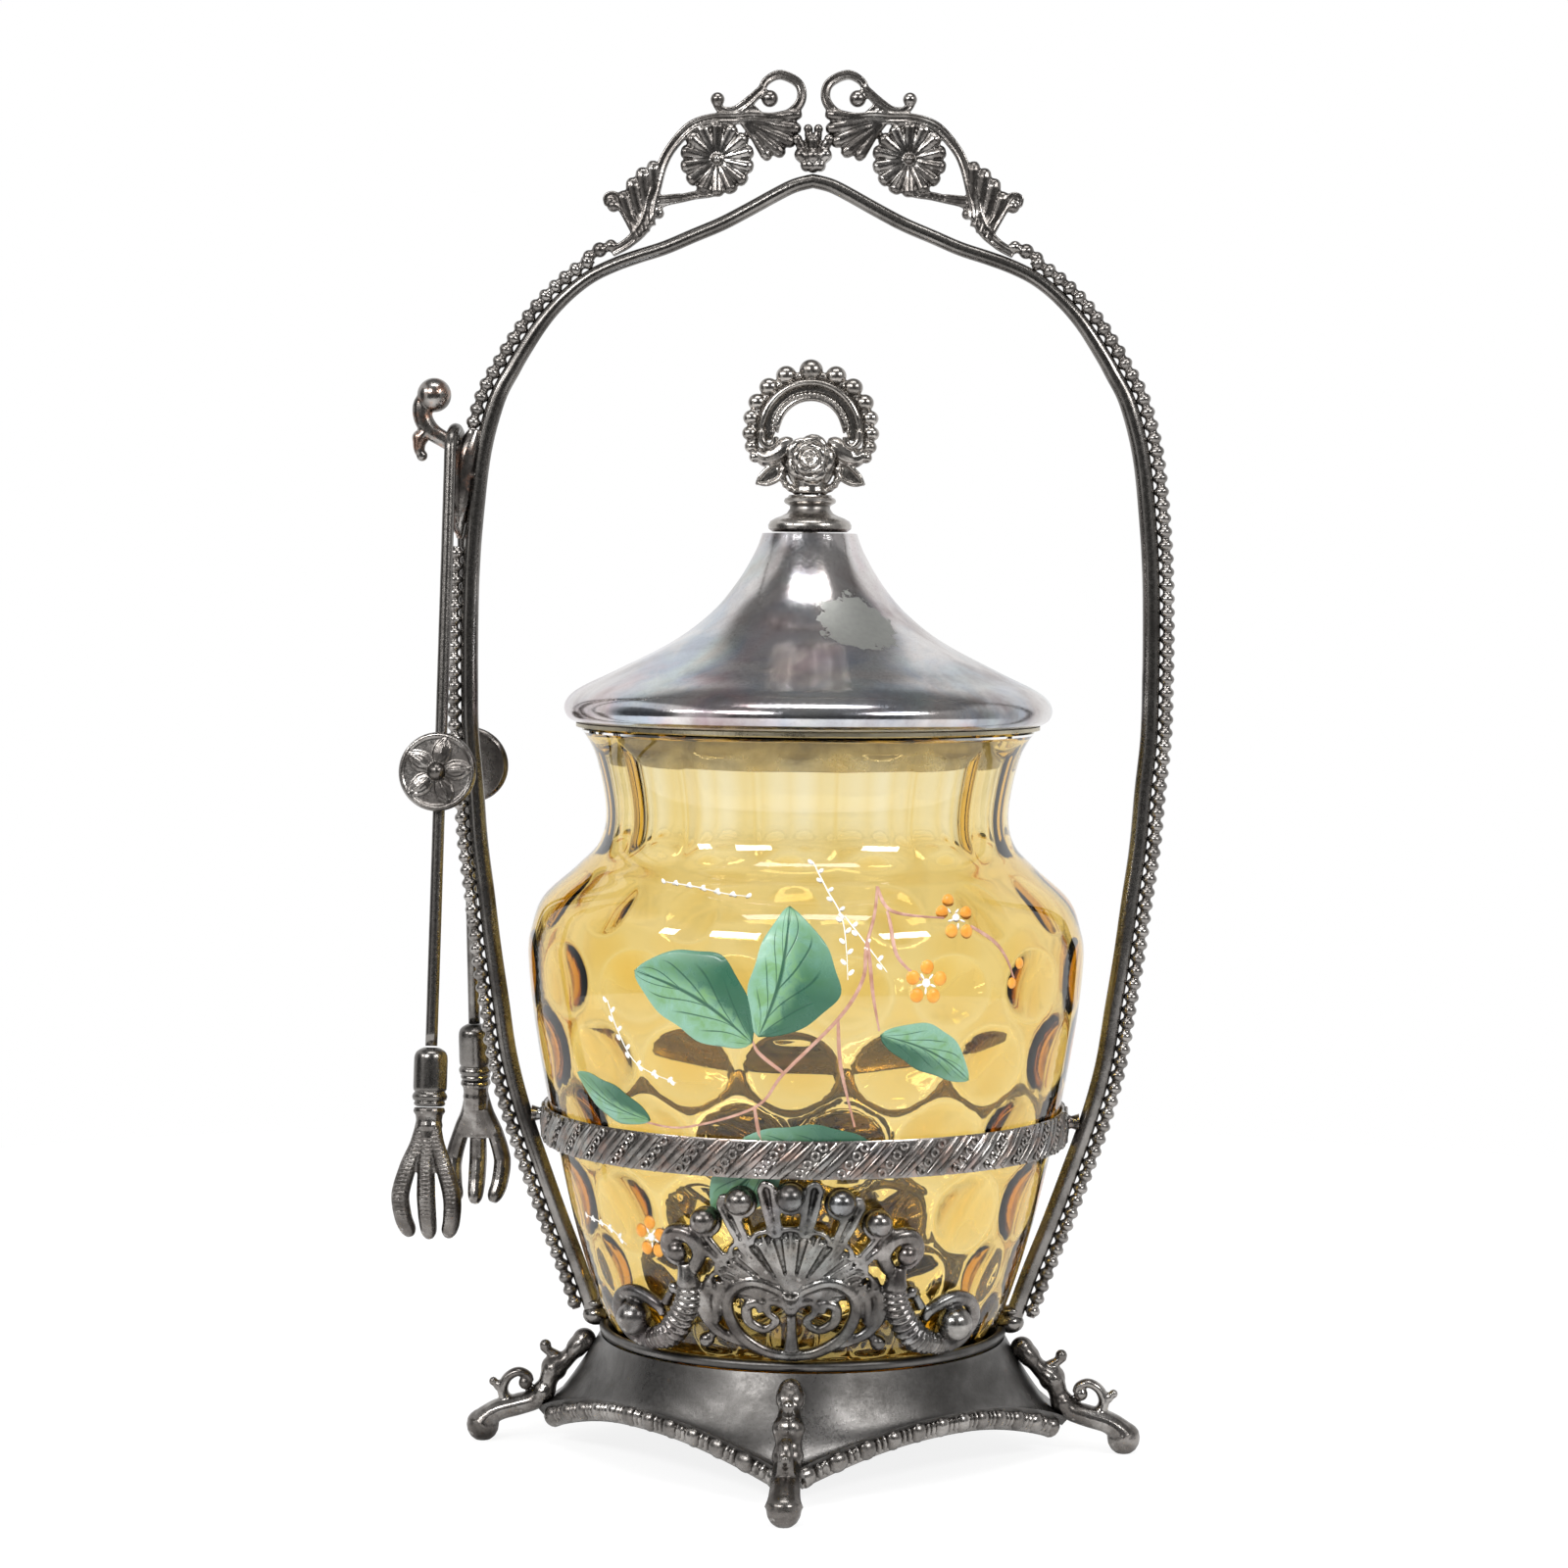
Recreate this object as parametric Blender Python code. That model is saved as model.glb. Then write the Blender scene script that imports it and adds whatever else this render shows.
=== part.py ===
"""Pickle castor: a silver-plated frame with a fixed arch handle, a glass jar, a lid and hanging tongs.

Metres, +Z up, the front towards -Y. The castor's axis stands beside the middle of the whole part,
because the tongs hang on one side only.
"""

import math

import bmesh
import bpy
from mathutils import Matrix, Vector

# Gaps
CLEAR = 0.0003
RUNNING_GAP = 0.00035
FULL_TURN = 2.0 * math.pi
CORNERS = 4

# Base plate with four drawn-out corners
SHEET = 0.0013
FLOOR_TOP = 0.017
WELL_ROOM = 0.00115
LIP_TOP = 0.0232
SIDE_REACH = 0.0035
CORNER_REACH = 0.0092
CORNER_LIFT = 0.0019
EDGE_RISE = 0.0078
BASE_STEPS = 40
CORNER_POWER = 1.5
RISE_POWER = 0.7
DOME_POWER = 1.38
DOME_SHARES = (0.0, 0.18, 0.45, 0.75, 1.0)

# Seat ring on the base's lip
SEAT_WIRE = 0.0009

# Border mouldings between the corners
BORDER_HEIGHT = 0.0044
BORDER_BEADS = 11
BORDER_NECK_SHARE = 0.74
BORDER_END_ANGLE = math.radians(4.6)

# Cast feet, outlines as shares of the foot's span
FOOT_SPAN = 0.0252
FOOT_SET = 0.0020
FOOT_SPINE_SHARES = (
    (0.016, 0.873, 0.036), (0.111, 0.766, 0.067), (0.210, 0.659, 0.056), (0.321, 0.571, 0.091),
    (0.353, 0.484, 0.056), (0.377, 0.405, 0.080), (0.464, 0.327, 0.062), (0.599, 0.286, 0.073),
    (0.746, 0.242, 0.075), (0.837, 0.183, 0.087), (0.873, 0.150, 0.095),
)
FOOT_SCROLL_SHARES = (
    (0.667, 0.302, 0.044), (0.714, 0.397, 0.036), (0.679, 0.500, 0.032),
    (0.591, 0.552, 0.032), (0.512, 0.524, 0.028), (0.492, 0.472, 0.024),
)
FOOT_BALL_SHARES = ((0.532, 0.464, 0.052), (0.746, 0.437, 0.044))
FOOT_PAD_SHARES = ((0.060, 0.0), (0.111, 0.052), (0.131, 0.123), (0.099, 0.206), (0.036, 0.246))
FOOT_PAD_PLACE_SHARE = 0.873

# Arch handle, its centre line as shares of its half width and rise
HANDLE_HALF_WIDTH = 0.06785
HANDLE_RISE = 0.2274
HANDLE_FOOT = 0.0252
ROD_RADIUS = 0.00175
ROD_TOP_RADIUS = 0.0014
ROD_TAPER_START_SHARE = 0.80
HANDLE_SHARES = (
    (0.614, 0.0), (0.670, 0.048), (0.727, 0.092), (0.784, 0.139), (0.838, 0.186), (0.879, 0.233),
    (0.904, 0.282), (0.928, 0.329), (0.948, 0.376), (0.969, 0.423), (0.982, 0.472), (0.997, 0.519),
    (1.000, 0.567), (1.000, 0.613), (0.996, 0.662), (0.985, 0.708), (0.963, 0.764), (0.923, 0.809),
    (0.876, 0.836), (0.849, 0.850), (0.799, 0.873), (0.753, 0.890), (0.697, 0.906), (0.641, 0.918),
    (0.578, 0.927), (0.513, 0.934), (0.430, 0.942), (0.351, 0.952), (0.264, 0.963), (0.181, 0.976),
    (0.108, 0.988), (0.053, 0.996), (0.0, 1.0),
)

# Beaded wires along the handle's outer edge
BEAD_RADIUS = 0.0013
BEAD_PITCH = 0.00265
BEAD_NECK_SHARE = 0.62
BEAD_START_SHARE = 0.012
BEAD_END_SHARE = 0.924
HOOK_LOW_SHARE = 0.668
HOOK_HIGH_SHARE = 0.802

# Crest castings, outlines as shares of the crest's half span, which is a share of the handle's half width
CREST_SPAN_SHARE = 0.59838
CREST_FOOT = 0.2364
CREST_THICK_SHARE = 0.9
CREST_STEM_SHARES = (
    (0.982, 0.050, 0.025), (0.896, 0.100, 0.028), (0.818, 0.186, 0.034), (0.776, 0.330, 0.030),
    (0.737, 0.469, 0.027), (0.689, 0.561, 0.027), (0.598, 0.657, 0.030), (0.492, 0.695, 0.030),
    (0.367, 0.700, 0.030), (0.291, 0.705, 0.030), (0.199, 0.700, 0.030), (0.113, 0.724, 0.027),
    (0.060, 0.791, 0.025), (0.074, 0.868, 0.025), (0.161, 0.911, 0.025), (0.228, 0.883, 0.022),
    (0.250, 0.839, 0.020), (0.233, 0.800, 0.020),
)
CREST_TAIL_SHARES = (
    (0.243, 0.849, 0.022), (0.319, 0.777, 0.025), (0.382, 0.738, 0.022), (0.444, 0.738, 0.020),
    (0.478, 0.772, 0.015),
)
CREST_LOWER_SHARES = (
    (0.420, 0.369, 0.022), (0.492, 0.340, 0.022), (0.574, 0.328, 0.022), (0.646, 0.312, 0.022),
    (0.723, 0.292, 0.020), (0.761, 0.262, 0.017),
)
CREST_CURL_SHARES = (
    (0.862, 0.155, 0.030), (0.925, 0.263, 0.027), (0.968, 0.325, 0.022), (1.006, 0.316, 0.020),
    (1.001, 0.277, 0.017),
)
CREST_LINK_SHARES = ((0.600, 0.655, 0.024), (0.560, 0.560, 0.027))
CREST_BRACE_SHARES = ((0.645, 0.315, 0.024), (0.790, 0.300, 0.026))
CREST_BALL_SHARES = (
    (0.214, 0.796, 0.040), (0.454, 0.786, 0.033), (0.973, 0.277, 0.033), (0.752, 0.240, 0.030),
)
PALMETTE_ROOT_SHARES = (0.305, 0.695, 0.020)
PALMETTE_TIP_SHARES = (
    (0.066, 0.712, 0.028), (0.078, 0.647, 0.030), (0.106, 0.584, 0.031), (0.154, 0.530, 0.030),
    (0.214, 0.518, 0.024),
)
FAN_ROOT_SHARES = (0.830, 0.170, 0.022)
FAN_TIP_SHARES = ((0.780, 0.493, 0.030), (0.848, 0.445, 0.030), (0.896, 0.388, 0.028))
ROSETTE_PLACE_SHARES = (0.468, 0.503)
ROSETTE_RADIUS_SHARE = 0.182
ROSETTE_PETALS = 13
ROSETTE_VALLEY_SHARE = 0.86
ROSETTE_RELIEF_SHARES = ((1.0, 0.14), (0.42, 0.22))
ROSETTE_BOSS_SHARE = 0.30
ROSETTE_BOSS_RELIEF_SHARE = 1.25

# Bud cluster at the arch's apex
BUD_HEIGHT = 0.0102
BUD_ROOT_SHARES = (0.0, 0.10, 0.11)
BUD_CORE_SHARES = (0.0, 0.16, 0.143)
BUD_TIP_SHARES = (
    (-0.045, 0.78, 0.075), (0.045, 0.78, 0.075), (-0.17, 0.33, 0.10), (0.17, 0.33, 0.10), (0.0, 0.50, 0.12),
)

# Collar ring that steadies the jar
COLLAR_BOTTOM = 0.063
COLLAR_HEIGHT = 0.006
COLLAR_ROOM = 0.0004
COLLAR_THICK = 0.0014
COLLAR_STEPS = 64
ROPE_RELIEF = 0.0005
LUG_RADIUS = 0.0016
LUG_TAPER_SHARE = 0.8
LUG_PLACE_SHARE = 0.58

# Medallions, outlines as shares of their height, wrapped around the jar
MEDALLION_HEIGHT = 0.0351
MEDALLION_STAND = 0.0007
MEDALLION_WRAP_SHARE = 0.81193
MEDALLION_PEARL_SHARES = ((0.0, 0.953, 0.071), (0.254, 0.925, 0.071), (0.461, 0.800, 0.068))
MEDALLION_SPOKE_SHARES = (
    (0.054, 0.720, 0.076, 0.985, 0.023), (0.130, 0.700, 0.172, 0.985, 0.023),
    (0.222, 0.660, 0.322, 0.925, 0.023), (0.275, 0.610, 0.414, 0.866, 0.023),
    (0.355, 0.560, 0.525, 0.790, 0.023), (0.405, 0.490, 0.585, 0.740, 0.023),
)
SPOKE_LIFT_SHARE = 2.2
SHELL_ROOT_SHARES = (0.0, 0.375)
SHELL_EDGE_SHARES = (
    (0.0, 0.772), (0.068, 0.735), (0.136, 0.742), (0.192, 0.682), (0.252, 0.672), (0.300, 0.600),
    (0.357, 0.575), (0.385, 0.505), (0.445, 0.478), (0.420, 0.420),
)
SHELL_THICK_SHARES = (0.030, 0.075)
RIM_SHARES = (
    (0.0, 0.035, 0.028), (0.150, 0.060, 0.026), (0.285, 0.150, 0.026), (0.345, 0.290, 0.026),
    (0.315, 0.410, 0.026), (0.205, 0.475, 0.026), (0.070, 0.430, 0.026),
)
SPIRAL_SHARES = (
    (0.0, 0.335, 0.022), (0.085, 0.350, 0.022), (0.160, 0.375, 0.020), (0.225, 0.325, 0.020),
    (0.185, 0.255, 0.018), (0.130, 0.290, 0.016),
)
STEM_SHARES = ((0.0, 0.390, 0.045), (0.0, 0.310, 0.030), (0.0, 0.190, 0.030), (0.0, 0.070, 0.042))
ARC_SHARES = (
    (0.235, 0.090, 0.026), (0.420, 0.165, 0.028), (0.510, 0.300, 0.030), (0.440, 0.430, 0.030),
)
HORN_SHARES = (
    (0.549, 0.552, 0.036), (0.535, 0.660, 0.034), (0.600, 0.730, 0.030), (0.690, 0.700, 0.028),
    (0.718, 0.615, 0.026), (0.656, 0.580, 0.022),
)
VOLUTE_SHARES = (
    (0.545, 0.560, 0.042), (0.532, 0.430, 0.050), (0.560, 0.290, 0.056), (0.680, 0.130, 0.062),
    (0.875, 0.045, 0.050), (1.050, 0.055, 0.045), (1.140, 0.150, 0.040), (1.070, 0.265, 0.036),
    (0.910, 0.325, 0.034), (0.740, 0.290, 0.030),
)
MEDALLION_BALL_SHARES = ((0.953, 0.175, 0.105), (0.640, 0.640, 0.070), (0.498, 0.107, 0.040))
MEDALLION_CURL_SHARES = ((0.560, 0.300, 0.022), (0.655, 0.390, 0.026))
BALL_LINK_SHARES = ((0.953, 0.175, 0.035), (1.000, 0.050, 0.035))
BALL_ARC_LINK_SHARES = ((0.498, 0.107, 0.028), (0.430, 0.175, 0.028))
HORN_LINK_SHARES = ((0.640, 0.640, 0.030), (0.545, 0.600, 0.030))

# Glass jar, its outside as shares of its radius and height, and its radius as a share of the handle's
JAR_WIDTH_SHARE = 0.81503
JAR_HEIGHT = 0.127
JAR_WALL = 0.0022
JAR_FLOOR = 0.004
JAR_STEPS = 30
JAR_SHARES = (
    (0.620, 0.0), (0.651, 0.006), (0.688, 0.055), (0.745, 0.108), (0.832, 0.231), (0.910, 0.383),
    (0.973, 0.533), (1.000, 0.643), (0.986, 0.692), (0.944, 0.737), (0.823, 0.785), (0.745, 0.823),
    (0.725, 0.876), (0.763, 0.958), (0.817, 1.0),
)
JAR_INSIDE_ROWS = (3, 4, 6, 7, 8, 9, 10, 11, 12, 14)

# Lid, its outside as shares of its radius and rise
LID_OVERHANG = 0.00332
LID_RISE = 0.0375
LID_SHEET = 0.0009
LID_STEPS = 28
LID_INSIDE_ROWS = (0, 1, 3, 5, 7, 8, 9)
LID_SHARES = (
    (0.194, 1.0), (0.225, 0.896), (0.296, 0.740), (0.396, 0.584), (0.550, 0.430), (0.784, 0.272),
    (0.918, 0.189), (0.977, 0.136), (1.000, 0.080), (0.988, 0.027), (0.957, 0.0),
)
FLANGE_ROOM = 0.00219
FLANGE_DEPTH = 0.0066
FLANGE_SHEET = 0.0007
FLANGE_RIM_INSET = 0.0003

# Finial on the lid
FINIAL_DISC_RADIUS = 0.0083
FINIAL_DISC_THICK = 0.0028
FINIAL_NECK_RADIUS = 0.0040
FINIAL_NECK_HEIGHT = 0.0045
FINIAL_COLLAR_RADIUS = 0.0050
STUD_RADIUS = 0.0016
NUT_RADIUS = 0.0042
NUT_THICK = 0.0022
STUD_END_SHARE = 1.5
LOOP_RADIUS = 0.0121
LOOP_RISE = 0.0122
LOOP_BEADS = 15
LOOP_TOP_BEAD = 0.00205
LOOP_END_BEAD = 0.0009
LOOP_SPREAD_SHARE = 1.12
LOOP_BAND_SHARES = ((0.93, 0.085, 0.060), (0.75, 0.11, 0.13), (0.57, 0.08, 0.085))
LOOP_END_ANGLE = math.radians(18.0)
ROSE_RADIUS = 0.0034
ROSE_LIFT_SHARE = 0.60
ROSE_LEAF_SHARES = (
    ((0.10, 0.36, 0.10), (0.45, 0.42, 0.16), (0.80, 0.22, 0.04)),
    ((0.10, 0.30, 0.10), (0.34, 0.10, 0.13), (0.58, -0.02, 0.04)),
    ((0.10, 0.50, 0.10), (0.45, 0.64, 0.13), (0.74, 0.80, 0.11)),
)
LOOP_BAR_SHARES = ((-0.68, 0.82, 0.09), (0.0, 0.74, 0.12), (0.68, 0.82, 0.09))
CALYX_SHARES = ((0.0, -0.06, 0.24), (0.0, 0.20, 0.26), (0.0, 0.45, 0.30))

# Hook for the tongs, outlines as shares of its reach
HOOK_REACH = 0.012
HOOK_ROOT_SHARE = 0.94326
HOOK_HEIGHT = 0.196
HOOK_STEM_SHARES = (
    (0.440, 0.050, 0.115), (0.480, 0.240, 0.108), (0.567, 0.325, 0.108), (0.770, 0.440, 0.108),
    (0.960, 0.560, 0.113), (1.120, 0.740, 0.108), (1.180, 0.960, 0.108), (1.090, 1.130, 0.108),
)
HOOK_BALL_SHARES = (0.945, 1.150, 0.240)
HOOK_BACK_SHARES = ((1.040, 0.600, 0.083), (1.160, 0.470, 0.067))
HOOK_TIP_SHARES = (1.160, 0.470, 0.087)
HOOK_LEAF_DEPTH_SHARE = 1.3
HOOK_LEAF_SHARES = (
    (0.500, -1.208, 0.042), (0.520, -0.792, 0.090), (0.500, -0.375, 0.115), (0.465, 0.020, 0.125),
    (0.400, 0.310, 0.115), (0.275, 0.620, 0.055),
)

# Tongs
TONGS_TWIST = math.radians(-4.5)
WIRE_RADIUS = 0.0012
BOW_RADIUS = 0.0050
BOW_STEPS = 14
LEG_SPREAD = math.radians(7.1)
SQUEEZE_ANGLE = math.radians(6.0)
TONGS_HANG_SHARE = 0.567
LEG_LENGTH = 0.1180
DISC_DROP = 0.0640
DISC_RADIUS = 0.0078
DISC_THICK = 0.0015
DISC_STEPS = 20
DISC_BACK_SHARE = 0.94
PETALS = 5
PETAL_SHARES = ((0.16, 0.07), (0.48, 0.20), (0.84, 0.05))
PETAL_RELIEF_SHARE = 0.07
DISC_BALL_SHARE = 0.22
FERRULE_RADIUS = 0.0033
FERRULE_LENGTH = 0.0115
FERRULE_SHARES = ((0.80, 0.0), (1.0, 0.06), (1.0, 0.60), (0.92, 0.66), (1.0, 0.72), (0.92, 1.0))
CLAW_LENGTH = 0.0255
CLAW_HEAD_SHARES = ((0.0, 0.0, 0.115), (0.0, -0.10, 0.085), (0.0, -0.24, 0.095))
TALON_SHARES = (
    ((0.045, -0.12, 0.050), (0.118, -0.28, 0.052), (0.184, -0.451, 0.059), (0.196, -0.667, 0.059),
     (0.173, -0.843, 0.047), (0.153, -0.980, 0.020)),
    ((0.0, -0.12, 0.060), (0.0, -0.28, 0.055), (0.0, -0.451, 0.059), (0.0, -0.667, 0.059),
     (0.0, -0.843, 0.047), (0.0, -0.996, 0.020)),
    ((-0.045, -0.12, 0.050), (-0.118, -0.28, 0.052), (-0.184, -0.451, 0.059), (-0.196, -0.667, 0.059),
     (-0.173, -0.843, 0.047), (-0.153, -0.980, 0.020)),
)
TALON_BEND_SHARES = ((0.0, 0.0), (0.25, 0.035), (0.45, 0.050), (0.67, 0.024), (0.84, -0.047), (1.0, -0.145))

# Worked out from the sizes above
JAR_RADIUS = HANDLE_HALF_WIDTH * JAR_WIDTH_SHARE
CREST_SPAN = HANDLE_HALF_WIDTH * CREST_SPAN_SHARE
HOOK_ROOT_RADIUS = HANDLE_HALF_WIDTH * HOOK_ROOT_SHARE
WELL_RADIUS = JAR_RADIUS * JAR_SHARES[2][0] + WELL_ROOM
LIP_RADIUS = WELL_RADIUS + SHEET
SIDE_RADIUS = LIP_RADIUS + SIDE_REACH
CORNER_RADIUS = SIDE_RADIUS + CORNER_REACH
FOOT_INNER = LIP_RADIUS + FOOT_SET
BORDER_RADIUS = BORDER_HEIGHT / 2.0
SEAT_TOP = LIP_TOP + CLEAR + 2.0 * SEAT_WIRE
MEDALLION_WRAP_RADIUS = JAR_RADIUS * MEDALLION_WRAP_SHARE
JAR_BOTTOM = FLOOR_TOP + CLEAR
JAR_TOP = JAR_BOTTOM + JAR_HEIGHT
FLANGE_SEAT = JAR_TOP + CLEAR
LID_BOTTOM = FLANGE_SEAT + FLANGE_SHEET + CLEAR
LID_RADIUS = JAR_RADIUS * JAR_SHARES[-1][0] + LID_OVERHANG
FLANGE_RADIUS = JAR_RADIUS * JAR_SHARES[-2][0] - JAR_WALL - FLANGE_ROOM
FLANGE_RIM = LID_RADIUS * LID_SHARES[-1][0] - FLANGE_RIM_INSET
LID_TOP = LID_BOTTOM + LID_RISE
LID_HOLE = LID_RADIUS * LID_SHARES[0][0]
FINIAL_BOTTOM = LID_TOP + CLEAR
FINIAL_NECK_TOP = FINIAL_BOTTOM + FINIAL_DISC_THICK + FINIAL_NECK_HEIGHT
CASTING_BOTTOM = FINIAL_NECK_TOP + CLEAR
LOOP_HEIGHT = CASTING_BOTTOM + LOOP_RISE
HANDLE_APEX = HANDLE_FOOT + HANDLE_RISE
TONGS_HANG_RADIUS = HOOK_ROOT_RADIUS + HOOK_REACH * TONGS_HANG_SHARE
HOOK_SEAT_SHARES = HOOK_STEM_SHARES[2]
HOOK_SLOPE = math.atan2(
    HOOK_STEM_SHARES[3][1] - HOOK_STEM_SHARES[1][1], HOOK_STEM_SHARES[3][0] - HOOK_STEM_SHARES[1][0],
)
HOOK_SEAT_HEIGHT = HOOK_HEIGHT + HOOK_REACH * HOOK_SEAT_SHARES[1]
BOW_LIFT = (HOOK_REACH * HOOK_SEAT_SHARES[2] + CLEAR + WIRE_RADIUS) / math.cos(HOOK_SLOPE)
BOW_CENTRE = HOOK_SEAT_HEIGHT + BOW_LIFT - BOW_RADIUS
LEG_TOP_HEIGHT = BOW_CENTRE + BOW_RADIUS * math.sin(LEG_SPREAD)
LEG_TOP_OFFSET = BOW_RADIUS * math.cos(LEG_SPREAD)
DISC_OFFSET = LEG_TOP_OFFSET + DISC_DROP * math.sin(LEG_SPREAD)
LEFT_REACH = TONGS_HANG_RADIUS + DISC_RADIUS + DISC_OFFSET * abs(math.sin(TONGS_TWIST))
RIGHT_REACH = HANDLE_HALF_WIDTH + ROD_RADIUS + CLEAR + 2.0 * BEAD_RADIUS
AXIS_X = (LEFT_REACH - RIGHT_REACH) / 2.0

UP = Vector((0.0, 0.0, 1.0))
FRONTWARD = Vector((0.0, -1.0, 0.0))


# Scene and materials
def clear_scene():
    for item in list(bpy.data.objects):
        bpy.data.objects.remove(item, do_unlink=True)


def principled(name, colour, roughness, metallic, transmission=0.0, ior=1.5):
    material = bpy.data.materials.new(name)
    material.use_nodes = True
    shader = material.node_tree.nodes["Principled BSDF"]
    shader.inputs["Base Color"].default_value = (*colour, 1.0)
    shader.inputs["Roughness"].default_value = roughness
    shader.inputs["Metallic"].default_value = metallic
    shader.inputs["Transmission Weight"].default_value = transmission
    shader.inputs["IOR"].default_value = ior
    return material


def tarnished_plate(name):
    return principled(name, (0.30, 0.28, 0.27), 0.34, 1.0)


def dark_casting(name):
    return principled(name, (0.22, 0.20, 0.19), 0.40, 1.0)


def worn_casting(name):
    return principled(name, (0.34, 0.24, 0.19), 0.42, 1.0)


def bright_plate(name):
    return principled(name, (0.62, 0.60, 0.58), 0.14, 1.0)


def brass_plate(name):
    return principled(name, (0.62, 0.52, 0.34), 0.30, 1.0)


def amber_glass(name):
    return principled(name, (0.92, 0.66, 0.24), 0.03, 0.0, 0.95, 1.5)


# Mesh helpers
def smooth_path(points, steps):
    """Catmull-Rom curve through the points, with the given number of steps between each two."""
    path = []
    last = len(points) - 1
    for index in range(last):
        before = points[max(index - 1, 0)]
        start = points[index]
        end = points[index + 1]
        after = points[min(index + 2, last)]
        for step in range(steps):
            t = step / steps
            path.append(tuple(
                0.5 * (2.0 * b + (c - a) * t + (2.0 * a - 5.0 * b + 4.0 * c - d) * t ** 2
                       + (3.0 * b - a - 3.0 * c + d) * t ** 3)
                for a, b, c, d in zip(before, start, end, after)
            ))
    path.append(tuple(points[last]))
    return path


def sweep(centres, widths, depths, outward, sides=6, closed=False, phase=0.5):
    """Closed tube whose section is as wide as widths and as deep as depths along outward."""
    count = len(centres)
    grow = math.sqrt(2.0) if sides == 4 and phase > 0.0 else 1.0
    points = []
    for index, centre in enumerate(centres):
        if closed:
            tangent = centres[(index + 1) % count] - centres[index - 1]
        else:
            tangent = centres[min(index + 1, count - 1)] - centres[max(index - 1, 0)]
        tangent.normalize()
        facing = outward[index] if isinstance(outward, list) else outward
        facing = (facing - tangent * facing.dot(tangent)).normalized()
        across = tangent.cross(facing)
        for side in range(sides):
            turn = FULL_TURN * (side + phase) / sides
            sideways = across * (widths[index] * grow * math.cos(turn))
            forward = facing * (depths[index] * grow * math.sin(turn))
            points.append(centre + sideways + forward)
    faces = []
    for index in range(count if closed else count - 1):
        first = index * sides
        second = ((index + 1) % count) * sides
        for side in range(sides):
            after = (side + 1) % sides
            faces.append((first + side, first + after, second + after, second + side))
    if not closed:
        faces.append(tuple(reversed(range(sides))))
        faces.append(tuple(range((count - 1) * sides, count * sides)))
    return points, faces


def ball(centre, radius, around=8, rings=5, flat=1.0, facing=UP):
    """Ball about a centre, squashed along facing."""
    spin = UP.rotation_difference(facing).to_matrix()
    points = []
    for ring in range(1, rings):
        tilt = math.pi * ring / rings
        for step in range(around):
            turn = FULL_TURN * step / around
            reach = math.sin(tilt)
            points.append(Vector((reach * math.cos(turn), reach * math.sin(turn), math.cos(tilt))))
    points.append(Vector((0.0, 0.0, 1.0)))
    points.append(Vector((0.0, 0.0, -1.0)))
    faces = []
    for ring in range(rings - 2):
        for step in range(around):
            after = (step + 1) % around
            low = ring * around
            faces.append((low + step, low + around + step, low + around + after, low + after))
    top = len(points) - 2
    last = (rings - 2) * around
    for step in range(around):
        after = (step + 1) % around
        faces.append((top, step, after))
        faces.append((top + 1, last + after, last + step))
    scaled = [spin @ Vector((p.x * radius, p.y * radius, p.z * radius * flat)) + centre for p in points]
    return scaled, faces


def turned(profile, steps):
    """Solid of revolution about Z from a closed profile of radius and height."""
    points = []
    rings = []
    for radius, height in profile:
        if radius == 0.0:
            rings.append([len(points)] * steps)
            points.append(Vector((0.0, 0.0, height)))
        else:
            rings.append(list(range(len(points), len(points) + steps)))
            for step in range(steps):
                turn = FULL_TURN * step / steps
                points.append(Vector((radius * math.cos(turn), radius * math.sin(turn), height)))
    faces = []
    count = len(rings)
    for index in range(count):
        ring = rings[index]
        other = rings[(index + 1) % count]
        for step in range(steps):
            after = (step + 1) % steps
            corners = []
            for corner in (ring[step], ring[after], other[after], other[step]):
                if corner not in corners:
                    corners.append(corner)
            if len(corners) > 2:
                faces.append(tuple(corners))
    return points, faces


def offset_profile(profile, distance):
    """Outline moved sideways by a distance, to the left of its direction."""
    moved = []
    last = len(profile) - 1
    for index, (radius, height) in enumerate(profile):
        before = profile[max(index - 1, 0)]
        after = profile[min(index + 1, last)]
        run = Vector((after[0] - before[0], after[1] - before[1])).normalized()
        moved.append((radius - run.y * distance, height + run.x * distance))
    return moved


def place(solid, matrix):
    points, faces = solid
    return [matrix @ point for point in points], faces


def fill_mesh(mesh, solids):
    shape = bmesh.new()
    for points, faces in solids:
        corners = [shape.verts.new(point) for point in points]
        for face in faces:
            shape.faces.new([corners[index] for index in face])
    bmesh.ops.recalc_face_normals(shape, faces=shape.faces)
    shape.to_mesh(mesh)
    shape.free()


def add_object(name, solids, material, parent, smooth=True):
    """One named piece made of one or more separate closed solids."""
    mesh = bpy.data.meshes.new(name)
    fill_mesh(mesh, solids)
    mesh.materials.append(material)
    if smooth:
        for polygon in mesh.polygons:
            polygon.use_smooth = True
    item = bpy.data.objects.new(name, mesh)
    bpy.context.collection.objects.link(item)
    item.parent = parent
    return item


def add_casting(name, solids, material, parent):
    """One casting: its solids run into each other and are united into one closed body."""
    item = add_object(name, solids[:1], material, parent)
    additions = add_object(name + "_additions", solids[1:], material, parent)
    additions.hide_render = True
    additions.display_type = "WIRE"
    union = item.modifiers.new("union", "BOOLEAN")
    union.operation = "UNION"
    union.solver = "EXACT"
    union.use_self = True
    union.object = additions
    return item


def add_empty(name, location, parent=None, turn=0.0):
    item = bpy.data.objects.new(name, None)
    bpy.context.collection.objects.link(item)
    item.location = location
    item.rotation_euler = (0.0, 0.0, turn)
    item.parent = parent
    return item


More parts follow.
